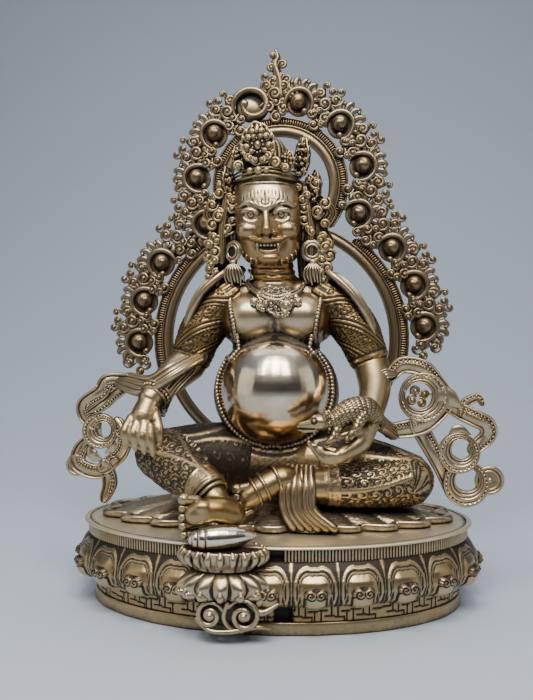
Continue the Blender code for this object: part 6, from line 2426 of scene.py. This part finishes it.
@dataclass
class ScarfEnds:
    """The two flying ends of the scarf, cast flat and folded into loops beside the figure."""

    y: float = -11.0
    width: float = 9.2
    thick: float = 4.4

    def fold(
        self, points: Sequence[Sequence[float]], size: Sequence[float] = (1.0, 1.0), lift: float = 0.0
    ) -> list[Shell]:
        """One stretch of the scarf.

        Args:
            points: its x and z on the figure's grid.
            size: its width at even shares, as a share of the scarf's.
            lift: how far forward it lies.

        Returns:
            The ridged band.
        """
        path = grid_path([(x, self.y - lift, z) for x, z in points], 12)
        run = run_along(path)
        path[:, 1] += 1.1 * np.sin(run / 4.6)
        pieces = [strap(path, [s * self.width for s in size], HEMMED, thickness=self.thick, gilt=0.1)]
        way = unit(np.gradient(path, axis=0))
        aside = np.stack([-way[:, 2], np.zeros(len(way)), way[:, 0]], axis=-1)
        broad = np.interp(run / run[-1], np.linspace(0, 1, len(size)), size) * self.width
        for at in np.arange(1.6, run[-1] - 1.0, 1.9):
            dot, over = (
                np.array([np.interp(at, run, line[:, i]) for i in range(3)]) for line in (path, aside)
            )
            wide = float(np.interp(at, run, broad))
            for share, fat in ((0.27, 0.72), (0.10, 0.58)):
                spot = dot + over * wide * share + np.array([0, -self.thick * 0.36, 0])
                pieces.append(ball(spot, (fat, 0.6, fat), segments=7, rings=4))
        return pieces

    def hoop(
        self, x: float, z: float, radius: float, wide: float = 0.8, start: float = 100.0
    ) -> list[Shell]:
        """A loop of the scarf that swells to a crescent, with grooves inside and a chased outer edge.

        Args:
            x: its middle across the statue.
            z: its middle's height above the seat.
            radius: its middle line's radius.
            wide: its greatest width, as a share of the scarf's.
            start: the angle in degrees where the narrow ends meet.

        Returns:
            Its shells.
        """
        turn = np.radians(np.linspace(start, start + 360, 61))
        swell = 0.5 - 0.5 * np.cos(turn - turn[0])
        reach = radius + 0.12 * self.width * wide * swell
        middle = np.array(on_seat(x, self.y - 0.4, z))
        ring = middle + np.stack([np.cos(turn) * reach, -0.7 * swell, np.sin(turn) * reach], axis=-1)
        share = (0.45, 0.7, 1.05, 1.35, 1.05, 0.7, 0.45)
        pieces = [
            strap(ring, [s * wide * self.width for s in share], RIDGED, thickness=self.thick, gilt=0.1)
        ]
        for k in range(6, 56, 2):
            out = np.array([math.cos(turn[k]), 0, math.sin(turn[k])])
            spot = (
                ring[k] + out * wide * self.width * 0.36 * swell[k] + np.array([0, -self.thick * 0.38, 0])
            )
            pieces.append(ball(spot, (0.8, 0.6, 0.8), segments=7, rings=4))
        return pieces

    def rosette(self, x: float, z: float, radius: float) -> list[Shell]:
        """A fold seen end on: nested rings round a bud."""
        pieces = []
        middle = np.array(on_seat(x, self.y, z))
        pieces.append(ball(middle, (radius, self.thick * 0.40, radius), segments=40, rings=14, dark=0.45))
        for share, thick in ((0.92, 1.1), (0.66, 0.85), (0.42, 0.7)):
            turn = np.linspace(0, 2 * math.pi, 49)
            ring = [
                middle + np.array([math.cos(a) * radius * share, -0.9, math.sin(a) * radius * share])
                for a in turn
            ]
            pieces.append(tube(np.array(ring), (thick, thick), 8, gilt=0.1))
        pieces.append(ball(middle - np.array([0, 1.0, 0]), radius * 0.24, segments=14, rings=8))
        return pieces

    def leaf(self, points: Sequence[Sequence[float]], width: float, lift: float = 0.8) -> list[Shell]:
        """A smooth leaf of cloth inside a loop."""
        path = grid_path([(x, self.y - lift, z) for x, z in points], 10)
        return [tube(path, (width * 0.25, width, width * 0.8, width * 0.15), 20, squash=0.34, gilt=0.0)]

    def tendrils(self, x: float, z: float, radius: float) -> list[Shell]:
        """Small curls that fill a loop."""
        pieces = []
        curls = (
            (-0.45, -0.30, 0.42, 40, 1),
            (0.25, -0.50, 0.36, 100, -1),
            (-0.20, 0.42, 0.40, 250, -1),
            (0.48, 0.20, 0.34, 200, 1),
        )
        for k, (u, v, r, start, hand) in enumerate(curls):
            centre = on_seat(x + u * radius, self.y + 0.6 + 0.3 * (k % 2), z + v * radius)
            pieces += curl(centre, r * radius, start, 1.4, hand, 0.9, 0.8, gilt=0.6)
        return pieces

    def left(self) -> list[Shell]:
        """The end beside the lemon."""
        return [
            *self.fold(
                ((-87, 79.7), (-99, 80.0), (-103, 74.0), (-113.5, 66.7), (-113.0, 59.5), (-107, 54.7)),
                (1.2, 1.1, 1.0, 1.0, 0.8),
            ),
            *self.fold(((-90, 76.0), (-97, 71.0), (-103, 65.5), (-108.5, 62.5)), (0.7, 0.8, 0.5), 0.8),
            *self.hoop(-102.3, 51.4, 7.0, 0.78, 20),
            *self.leaf(((-103.5, 55.0), (-105.0, 51.0), (-102.5, 47.0)), 2.2),
            *self.fold(
                ((-108.5, 47.7), (-116, 39.7), (-117, 31.0), (-106, 26.2), (-96, 32.7)),
                (0.8, 1.0, 1.0, 1.0, 0.8),
            ),
            *self.leaf(((-110.0, 41.5), (-108.0, 36.0), (-102.5, 33.5)), 3.6),
            *self.rosette(-118.3, 30.2, 6.0),
            *self.fold(((-101, 29.2), (-91.5, 38.2), (-89, 46.7), (-93.5, 55.7)), (1.0, 1.0, 0.9, 0.8)),
            *self.leaf(((-95.5, 46.5), (-97.0, 41.0), (-101.0, 37.5)), 2.6),
            *self.fold(((-101, 29.7), (-98.5, 19.7), (-101, 10.9)), (1.0, 1.0, 0.7)),
        ]

    def right(self) -> list[Shell]:
        """The end beside the mongoose."""
        return [
            *self.hoop(84.2, 72.6, 10.4, 0.85, 165),
            *self.tendrils(83.0, 72.6, 7.5),
            *self.fold(
                ((66.5, 83.7), (74.5, 90.5), (86, 88.5), (93.5, 80.7), (99, 73.7)),
                (0.8, 1.1, 1.1, 1.0, 0.9),
            ),
            *self.fold(((67.5, 52.2), (79, 54.0), (88, 57.7), (98.5, 66.7)), (1.0, 1.2, 1.2, 1.0)),
            *self.leaf(((90.5, 74.0), (99.0, 72.5), (107.5, 66.5)), 6.0, 1.2),
            *self.fold(
                ((99, 68.7), (108.5, 63.4), (115.5, 60.0), (121.5, 56.7), (122.6, 50.2), (115, 42.7)),
                (1.0, 1.1, 1.1, 1.1, 0.9),
            ),
            *self.fold(
                ((107.3, 63.2), (110.4, 69.2), (116.6, 72.0), (119.0, 68.5)), (0.5, 0.6, 0.5, 0.3)
            ),
            *self.hoop(107, 41.7, 8.2, 0.78, 60),
            *self.leaf(((100.5, 50.0), (106.0, 53.5), (112.5, 51.0)), 3.2),
            *self.hoop(110.5, 24.2, 9.4, 0.82, 80),
            *self.rosette(123.4, 24.7, 8.0),
            *self.fold(((83, 56.7), (90.5, 42.7), (97.5, 29.7), (101.0, 19.7)), (1.2, 1.1, 1.0, 0.8)),
        ]

    def build(self) -> None:
        """Makes both ends."""
        cast(
            "Scarf_end_left",
            merged(self.left()),
            Finishes.CAST,
            nodes=["scarf_end_left"],
            hollow=(1.0, 0.5),
            rounds=(2, 8),
        )
        cast(
            "Scarf_end_right",
            merged(self.right()),
            Finishes.CAST,
            nodes=["scarf_end_right"],
            hollow=(1.0, 0.5),
            rounds=(2, 8),
        )


# Aureole


@dataclass
class Aureole:
    """The double halo behind the figure, with its ribbed strips and a border of jewels and tendrils."""

    y: float = 50.0
    body_z: float = 153.0
    head_z: float = 256.0
    body_radius: float = 79.3
    head_radius: float = 39.2
    ring_width: float = 6.8
    rib_width: float = 5.5
    boss_radius: float = 13.2
    lean: float = 3.2

    def at(self, ring_z: float, radius: float, degrees: float, ahead: float = 0.0) -> np.ndarray:
        """A place round a ring, some millimetres in front of the aureole's plane."""
        turn = math.radians(degrees)
        return np.array([math.cos(turn) * radius, self.y - ahead, ring_z + math.sin(turn) * radius])

    def arc(
        self, ring_z: float, radius: float, start: float, end: float, ahead: float = 0.0
    ) -> np.ndarray:
        """Points round a ring from one angle to another."""
        count = max(12, int(abs(end - start) / 3))
        return np.array([self.at(ring_z, radius, a, ahead) for a in np.linspace(start, end, count)])

    def crossing(self) -> tuple[float, float]:
        """The angle on the body ring and on the head ring where the two rings cross."""
        apart = self.head_z - self.body_z
        body, head = self.body_radius - self.ring_width / 2, self.head_radius - self.ring_width / 2
        along = (apart**2 + body**2 - head**2) / (2 * apart)
        aside = math.sqrt(body**2 - along**2)
        return math.degrees(math.atan2(along, aside)), math.degrees(math.atan2(along - apart, aside))

    def rings(self) -> list[Shell]:
        """The two half-round rings, their bright outer beads and the strips behind the ribs."""
        body_low, head_low = self.crossing()
        pieces = []
        half = self.ring_width / 2
        for ring_z, radius, start, end in (
            (self.body_z, self.body_radius, body_low, -180 - body_low),
            (self.head_z, self.head_radius, head_low, 180 - head_low),
        ):
            path = self.arc(ring_z, radius - half, start, end)
            pieces.append(
                strap(path, (self.ring_width, self.ring_width), HALF_ROUND, thickness=5.4, gilt=0.2)
            )
            pieces.append(
                tube(self.arc(ring_z, radius + 0.2, start, end, 1.2), (0.75, 0.75), 8, gilt=0.1)
            )
        for ring_z, radius, start, end in (
            (self.body_z, self.body_radius, -14, 52),
            (self.body_z, self.body_radius, 128, 194),
            (self.head_z, self.head_radius, -38, 218),
        ):
            path = self.arc(ring_z, radius + self.rib_width / 2, start, end, -0.8)
            pieces.append(
                strap(path, (self.rib_width, self.rib_width), HALF_ROUND, thickness=1.8, gilt=0.3)
            )
            pieces[-1].dark[:] = 0.7
            edge = self.arc(ring_z, radius + self.rib_width, start, end, 0.6)
            pieces.append(tube(edge, (0.7, 0.7), 8, gilt=0.1))
        return pieces

    def ribs(self) -> None:
        """The fine ribs that fill the strips outside both rings."""
        stamp = ball((0, 0, 0), (0.62, 0.8, 2.6), segments=8, rings=5)
        for name, ring_z, radius, start, end in (
            ("Ribs_right", self.body_z, self.body_radius, -14, 52),
            ("Ribs_left", self.body_z, self.body_radius, 128, 194),
            ("Ribs_head", self.head_z, self.head_radius, -38, 218),
        ):
            reach = radius + self.rib_width / 2
            path = self.arc(ring_z, reach, start, end, 0.5)
            count = int(math.radians(end - start) * reach / 1.55)
            heart = (0, self.y - 0.5, ring_z)
            row = Row(name, path, count, stamp, Finishes.AUREOLE, heart, hollow=0.1, gilt=0.3)
            row.build(Slot.DARKENED)

    def bosses(self) -> list[np.ndarray]:
        """The middle of each jewel, from the lower left end over the top to the lower right end."""
        body = self.body_radius + self.rib_width + self.boss_radius * 0.80
        head = self.head_radius + self.rib_width + self.boss_radius * 0.84
        climb = [2.0 + 17.0 * i for i in range(3)]
        left = [self.at(self.body_z, body, 180 + self.lean - turn) for turn in climb]
        top = [self.at(self.head_z, head, 90 + self.lean - (i - 3.5) * 32.6) for i in range(8)]
        right = [self.at(self.body_z, body, self.lean + turn) for turn in climb[::-1]]
        return left + top + right

    def jewel(self, centre: np.ndarray, along: np.ndarray, out: np.ndarray, hand: int) -> list[Shell]:
        """A chased ball in a dish, half round it an open scroll, and a tuft of tongues.

        Args:
            centre: its middle.
            along: the way the border runs there.
            out: the way out of the aureole there.
            hand: the way the scroll winds.

        Returns:
            Its shells.
        """
        r = self.boss_radius * 0.74
        side = along * hand
        plane = (side, out)
        turn = np.linspace(0, 2 * math.pi, 32, endpoint=False)
        rings, shade = [], []
        for share, ahead, dark in (
            (0.25, 0.4, 0.5),
            (0.50, 0.5, 0.45),
            (0.70, 0.7, 0.3),
            (0.86, 1.0, 0.2),
            (0.92, 0.6, 0.2),
            (0.90, -1.4, 0.5),
            (0.40, -2.2, 0.6),
        ):
            ring = centre + (along * np.cos(turn)[:, None] + out * np.sin(turn)[:, None]) * r * share
            rings.append(ring + FRONT * ahead)
            shade.append(np.full(len(turn), dark))
        pieces = [lattice(np.array(rings), 0.3, np.array(shade))]
        core = ball((0, 0, 0), (5.4, 4.8, 5.6), segments=30, rings=18, gilt=0.35)
        angle = np.arctan2(core.points[:, 2] + 1.2, core.points[:, 0] * hand - 0.8)
        away = np.hypot(core.points[:, 0] * hand - 0.8, core.points[:, 2] + 1.2)
        chase = np.clip(np.cos(2 * angle - away * 1.6) * 1.6 - 0.9, 0, 1) * step(away, 0.8, 2.0)
        face = step(-core.points[:, 1], 0.3, 2.0)
        core.pressed(-0.6 * chase * face)
        core.dark = np.clip(chase * face * 0.6, 0, 1)
        core.points = (
            core.points @ np.array([along, -FRONT, out]) + centre + FRONT * 2.6 - side * 0.8 + out * 0.4
        )
        pieces.append(core)
        pieces.append(
            ball(
                centre + FRONT * 3.0 + side * r * 0.50 - out * r * 0.56,
                2.3,
                segments=14,
                rings=9,
                gilt=0.2,
            )
        )
        sweep = np.radians(np.linspace(232, -28, 34))
        reach = r * np.interp(np.linspace(0, 1, 34), (0, 0.2, 0.8, 1), (1.02, 0.90, 0.88, 0.98))
        rim = (
            centre
            + FRONT * 2.6
            + side * (np.cos(sweep) * reach)[:, None]
            + out * (np.sin(sweep) * reach)[:, None]
        )
        pieces.append(tube(rim, (0.8, 1.7, 1.9, 1.9, 1.6, 1.0), 10, gilt=0.05))
        pieces += curl(rim[0] - side * 2.6 - out * 0.8, 3.0, 20, 1.2, 1, 1.15, 0.9, gilt=0.1, plane=plane)
        pieces += curl(
            rim[-1] + side * 2.6 - out * 0.6, 2.9, 170, 1.2, 1, 1.1, 0.9, gilt=0.1, plane=plane
        )
        for k, degrees in enumerate(np.linspace(182, -6, 9)):
            turn_at = math.radians(degrees)
            way = side * math.cos(turn_at) + out * math.sin(turn_at)
            over = side * math.sin(turn_at) - out * math.cos(turn_at)
            length = 5.2 + 1.8 * math.sin(math.pi * k / 8) + 0.7 * (k % 2)
            foot = centre + FRONT * (1.8 - 0.6 * (k % 2)) + way * r * 0.92
            bend = foot + way * length * 0.55 - over * 0.5
            hook = foot + way * length * 0.92 + over * 1.7
            tip = foot + way * length * 0.72 + over * 3.0
            line = smooth_path([foot, bend, hook, tip], 4)
            pieces.append(tube(line, (1.9, 2.2, 1.5, 0.7), 8, squash=0.7, gilt=0.1))
            if k % 2 == 0:
                pieces.append(ball(tip + FRONT * 0.4, 1.35, segments=9, rings=6))
        return pieces

    def between(self, before: np.ndarray, after: np.ndarray, out: np.ndarray, hand: int) -> list[Shell]:
        """The tendrils in the gap between two jewels."""
        along = unit(after - before)
        middle = (before + after) / 2
        plane = (along, out)
        r = self.boss_radius
        pieces = []
        for x, z, radius, start, turns, wind, thick, ahead in (
            (0.0, 0.50, 4.6, 250, 1.4, hand, 1.4, 2.6),
            (hand * -0.44, 0.86, 3.8, 270, 1.3, -hand, 1.25, 2.0),
            (hand * 0.40, 0.92, 3.9, 260, 1.3, hand, 1.25, 2.0),
            (hand * 0.06, 1.22, 3.2, 270, 1.2, hand, 1.15, 1.6),
            (hand * -0.34, 1.38, 2.5, 270, 1.1, -hand, 1.0, 1.2),
            (hand * 0.44, 1.42, 2.6, 270, 1.1, hand, 1.0, 1.2),
            (0.0, -0.66, 4.0, 90, 1.3, -hand, 1.3, 1.8),
            (hand * 0.36, -0.14, 3.6, 90, 1.2, hand, 1.2, 2.6),
            (hand * -0.36, -0.22, 3.4, 90, 1.2, -hand, 1.2, 2.4),
            (hand * -0.04, 0.06, 2.6, 20, 1.1, hand, 1.0, 3.0),
        ):
            centre = middle + FRONT * ahead + along * x * r + out * z * r
            pieces += curl(centre, radius, start, turns, wind, thick, 1.0, gilt=0.12, plane=plane)
        for shift in (-1.0, 1.0):
            stem = [
                middle - out * r * 0.55 + along * shift * 1.5,
                middle + along * (hand * 1.6 + shift * 2.4),
                middle + out * r * 0.62 + along * shift * 2.0,
                middle + out * r * 1.15 + along * shift * 4.5,
            ]
            pieces.append(
                tube(smooth_path(stem, 6) + FRONT * 0.6, (1.6, 1.9, 1.7, 0.9), 8, gilt=0.2, dark=0.15)
            )
        return pieces

    def comma(self, centre: np.ndarray) -> list[Shell]:
        """The large open scroll at the top, wound round a smooth drop."""
        turn = np.linspace(0, 1, 64)
        angle = np.radians(235 - 425 * turn)
        reach = 12.6 * (1 - 0.62 * turn**1.3)
        wind = centre + FRONT * (2.2 + 1.6 * turn)[:, None]
        wind = (
            wind + np.stack([np.cos(angle) * reach * 1.08, np.zeros(64), np.sin(angle) * reach], axis=-1)
        )
        pieces = [
            tube(wind, (1.0, 2.1, 2.3, 2.2, 2.0, 1.5), 12, gilt=0.05),
            ball(wind[-1], (3.0, 2.2, 3.0), gilt=0.0),
            ball(
                centre + FRONT * 1.2 + np.array([-2.0, 0, -2.0]),
                (8.4, 3.2, 7.4),
                (0, 20, 0),
                32,
                18,
                dark=0.0,
                gilt=0.1,
            ),
            ball(centre + np.array([0, 0.4, 0]), (11.4, 1.5, 10.6), segments=36, rings=10, dark=0.6),
        ]
        return pieces

    def border(self) -> list[Shell]:
        """The jewels with the tendrils between and beyond them."""
        centres = self.bosses()
        heart = np.array([0, self.y, (self.body_z + self.head_z) / 2])
        spine = smooth_path([c + np.array([0, 1.2, 0]) for c in centres], 6)
        pieces = [strap(spine, (9, 9), HALF_ROUND, thickness=1.6, gilt=0.3)]
        pieces[0].dark[:] = 0.5
        for i, centre in enumerate(centres):
            before, after = centres[max(i - 1, 0)], centres[min(i + 1, len(centres) - 1)]
            along = unit(after - before)
            out = np.array([-along[2], 0, along[0]])
            out = out * np.sign(out @ (centre - heart))
            hand = -1 if centre[0] < 0 else 1
            if i == 6:
                pieces += self.comma(centre)
            else:
                pieces += self.jewel(centre, along, out, hand)
            if i < len(centres) - 1:
                way = unit(after - centre)
                beyond = np.array([-way[2], 0, way[0]])
                beyond = beyond * np.sign(beyond @ (centre - heart))
                pieces += self.between(centre, after, beyond, hand)
        for end, hand in ((centres[0], 1), (centres[-1], -1)):
            down = np.array([0, 0, -1.0])
            across = np.array([float(hand), 0, 0])
            for x, z, radius in ((-0.55, 1.02, 4.2), (0.35, 1.08, 4.6), (0.05, 1.45, 2.8)):
                centre = (
                    end
                    + np.array([0, -1.6, 0])
                    + across * x * self.boss_radius
                    + down * z * self.boss_radius
                )
                pieces += curl(centre, radius, 90, 1.25, hand, 1.15, 0.9, gilt=0.12)
        return pieces

    def finial(self) -> list[Shell]:
        """The twisted flame at the very top, which leans to the left."""
        foot = self.head_z + self.head_radius + self.rib_width + self.boss_radius * 1.25
        line = [(0, -2.5), (-0.6, 8), (-3.6, 18.5), (-1.8, 23.5), (-3.0, 28.6)]
        path = smooth_path([(x, self.y - 0.6, foot + z) for x, z in line], 8)
        pieces = [tube(path, (3.4, 3.0, 2.6, 1.9, 0.8), 14, grooves=(5, 0.16), gilt=0.1)]
        for x, z, radius, start, hand in (
            (-4.6, 5.5, 4.0, 330, 1),
            (4.4, 8.0, 3.6, 210, -1),
            (-5.8, 16.0, 3.2, 320, 1),
            (1.6, 18.0, 3.2, 200, -1),
            (-4.6, 24.0, 2.2, 300, 1),
            (-8.6, -2.5, 4.4, 20, 1),
            (8.4, -2.0, 4.2, 160, -1),
        ):
            pieces += curl((x, self.y - 1.8, foot + z), radius, start, 1.25, hand, 1.15, 0.8, gilt=0.1)
        for side in (-1, 1):
            arm = [
                (side * 13, self.y - 1.0, foot - 9),
                (side * 7, self.y - 1.6, foot - 4),
                (side * 1, self.y - 1.4, foot + 3),
            ]
            pieces.append(tube(smooth_path(arm, 8), (1.6, 1.5, 1.3), 10, gilt=0.1))
        return pieces

    def foot(self) -> Shell:
        """The plain plate behind the figure, from the body ring down to the base."""
        low, high = FLOOR_TO_SEAT, self.body_z - self.body_radius + self.ring_width
        rings = []
        for z, half in ((low, 30.4), (low + 0.6, 31), (low + 5, 31), (high - 0.6, 20.7), (high, 20)):
            corners = (
                (-1, -0.9), (-0.99, -1), (0.99, -1), (1, -0.9), (1, 0.9), (0.99, 1), (-0.99, 1), (-1, 0.9)
            )
            rings.append([(u * half, self.y + v * 2.8, z) for u, v in corners])
        return lattice(np.array(rings), 0.3, 0.3)

    def build(self) -> None:
        """Makes the aureole."""
        pieces = [*self.rings(), self.foot()]
        cast("Aureole", merged(pieces), Finishes.AUREOLE, ["aureole"], (0.8, 0.5), (2, 6))
        cast(
            "Aureole_border",
            merged(self.border()),
            Finishes.AUREOLE,
            (),
            (0.9, 0.5),
            (2, 6),
        )
        cast(
            "Aureole_finial",
            merged(self.finial()),
            Finishes.AUREOLE,
            (),
            (0.8, 0.5),
            (2, 6),
        )
        self.ribs()


# Studio


@dataclass
class Studio:
    """A pale sweep of paper, soft window light from above the camera, and the camera."""

    azimuth: float = 3.5
    reach: float = 0.42
    eye: float = 0.156
    aside: float = 9.0 / 700.0
    pitch: float = 1.2
    film: float = 36.0
    heart: float = 0.16

    def sweep(self) -> None:
        """The floor that curves up into a plain backdrop."""
        bend, start = 0.85, 0.25
        line = [(-3.0, 0.0), (start, 0.0)]
        for angle in np.radians(np.linspace(0, 90, 40)):
            line.append((start + bend * math.sin(angle), bend * (1 - math.cos(angle))))
        line.append((start + bend, 3.0))
        points = [(x, float(y), float(z)) for y, z in line for x in (-3.0, 3.0)]
        faces = [(2 * i, 2 * i + 1, 2 * i + 3, 2 * i + 2) for i in range(len(line) - 1)]
        mesh = bpy.data.meshes.new("Sweep")
        mesh.from_pydata(points, [], faces)
        mesh.shade_smooth()
        paper = bpy.data.materials.new("matt paper")
        paper.use_nodes = True
        shader = paper.node_tree.nodes["Principled BSDF"]
        shader.inputs["Base Color"].default_value = linear("#AFB9C6")
        shader.inputs["Roughness"].default_value = 0.9
        mesh.materials.append(paper)
        obj = bpy.data.objects.new("Sweep", mesh)
        bpy.context.scene.collection.objects.link(obj)

    def lamp(
        self, name: str, at: Sequence[float], size: tuple[float, float], power: float, tint: str
    ) -> None:
        """A soft box that looks at the statue.

        Args:
            name: its name.
            at: where it hangs, in metres.
            size: its width and height in metres.
            power: its power in watts.
            tint: its colour.
        """
        light = bpy.data.lights.new(name, "AREA")
        light.shape = "RECTANGLE"
        light.size, light.size_y = size
        light.energy = power
        light.color = linear(tint)[:3]
        obj = bpy.data.objects.new(name, light)
        bpy.context.scene.collection.objects.link(obj)
        place = Vector(at)
        turn = (Vector((0, 0, self.heart)) - place).to_track_quat("-Z", "Y")
        obj.matrix_world = Matrix.Translation(place) @ turn.to_matrix().to_4x4()

    def room(self) -> None:
        """Dim walls, darker in front, so that polished metal has something to mirror."""
        world = bpy.data.worlds.new("room")
        world.use_nodes = True
        tree = world.node_tree
        tree.nodes.clear()
        way = add_node(tree, "ShaderNodeTexCoord").outputs["Generated"]
        parts = add_node(tree, "ShaderNodeSeparateXYZ", {0: way}).outputs
        up = add_node(
            tree, "ShaderNodeMapRange", {"Value": parts["Z"]}, {"From Min": -0.3, "From Max": 0.9}
        ).outputs[0]
        ramp = add_node(tree, "ShaderNodeValToRGB", {0: up})
        stops = ramp.color_ramp.elements
        stops[0].color = linear("#5A4A38")
        stops[1].color = linear("#C9D4E4")
        for at, code in ((0.22, "#4A4034"), (0.40, "#3A3C40"), (0.62, "#6F7A88")):
            stops.new(at).color = linear(code)
        ground = add_node(
            tree, "ShaderNodeBackground", {"Color": ramp.outputs[0]}, {"Strength": 0.52}
        ).outputs[0]
        add_node(tree, "ShaderNodeOutputWorld", {0: ground})
        bpy.context.scene.world = world

    def camera(self) -> None:
        """The camera where the photograph was taken from."""
        data = bpy.data.cameras.new("Camera")
        data.sensor_fit = "VERTICAL"
        data.sensor_height = self.film
        data.lens = self.film
        data.dof.use_dof = False
        obj = bpy.data.objects.new("Camera", data)
        bpy.context.scene.collection.objects.link(obj)
        round_by = math.radians(self.azimuth)
        place = Vector((self.reach * math.sin(round_by), -self.reach * math.cos(round_by), self.eye))
        yaw, dip = round_by + math.atan(self.aside), math.radians(self.pitch)
        way = Vector((-math.sin(yaw) * math.cos(dip), math.cos(yaw) * math.cos(dip), -math.sin(dip)))
        obj.matrix_world = Matrix.Translation(place) @ way.to_track_quat("-Z", "Y").to_matrix().to_4x4()
        bpy.context.scene.camera = obj

    def build(self) -> None:
        """Sets up the sweep, the light and the camera."""
        self.sweep()
        for i, (x, wide, power) in enumerate(((-0.30, 0.16, 5.0), (0.02, 0.20, 7.5), (0.34, 0.16, 5.0))):
            self.lamp(f"Window_{i}", (x, -0.62, 0.95), (wide, 0.55), power, "#FFFDF6")
        self.lamp("Left_fill", (-1.0, -0.5, 0.45), (0.7, 0.9), 2.1, "#F2EFE6")
        self.lamp("Right_fill", (1.1, -0.25, 0.5), (0.6, 0.9), 1.5, "#F0ECE2")
        self.lamp("Top", (0.0, 0.25, 1.2), (1.4, 0.8), 4.8, "#EEF2FA")
        self.room()
        self.camera()


def main() -> None:
    """Builds every sub-assembly and reports its pieces."""
    logging.basicConfig(level=logging.INFO, format="%(name)s: %(message)s")
    LotusBase().build()
    FootLotus().build()
    Torso().build()
    Head().build()
    Crown().build()
    Arms().build()
    Legs().build()
    ScarfEnds().build()
    Aureole().build()
    Studio().build()


if __name__ == "__main__":
    main()
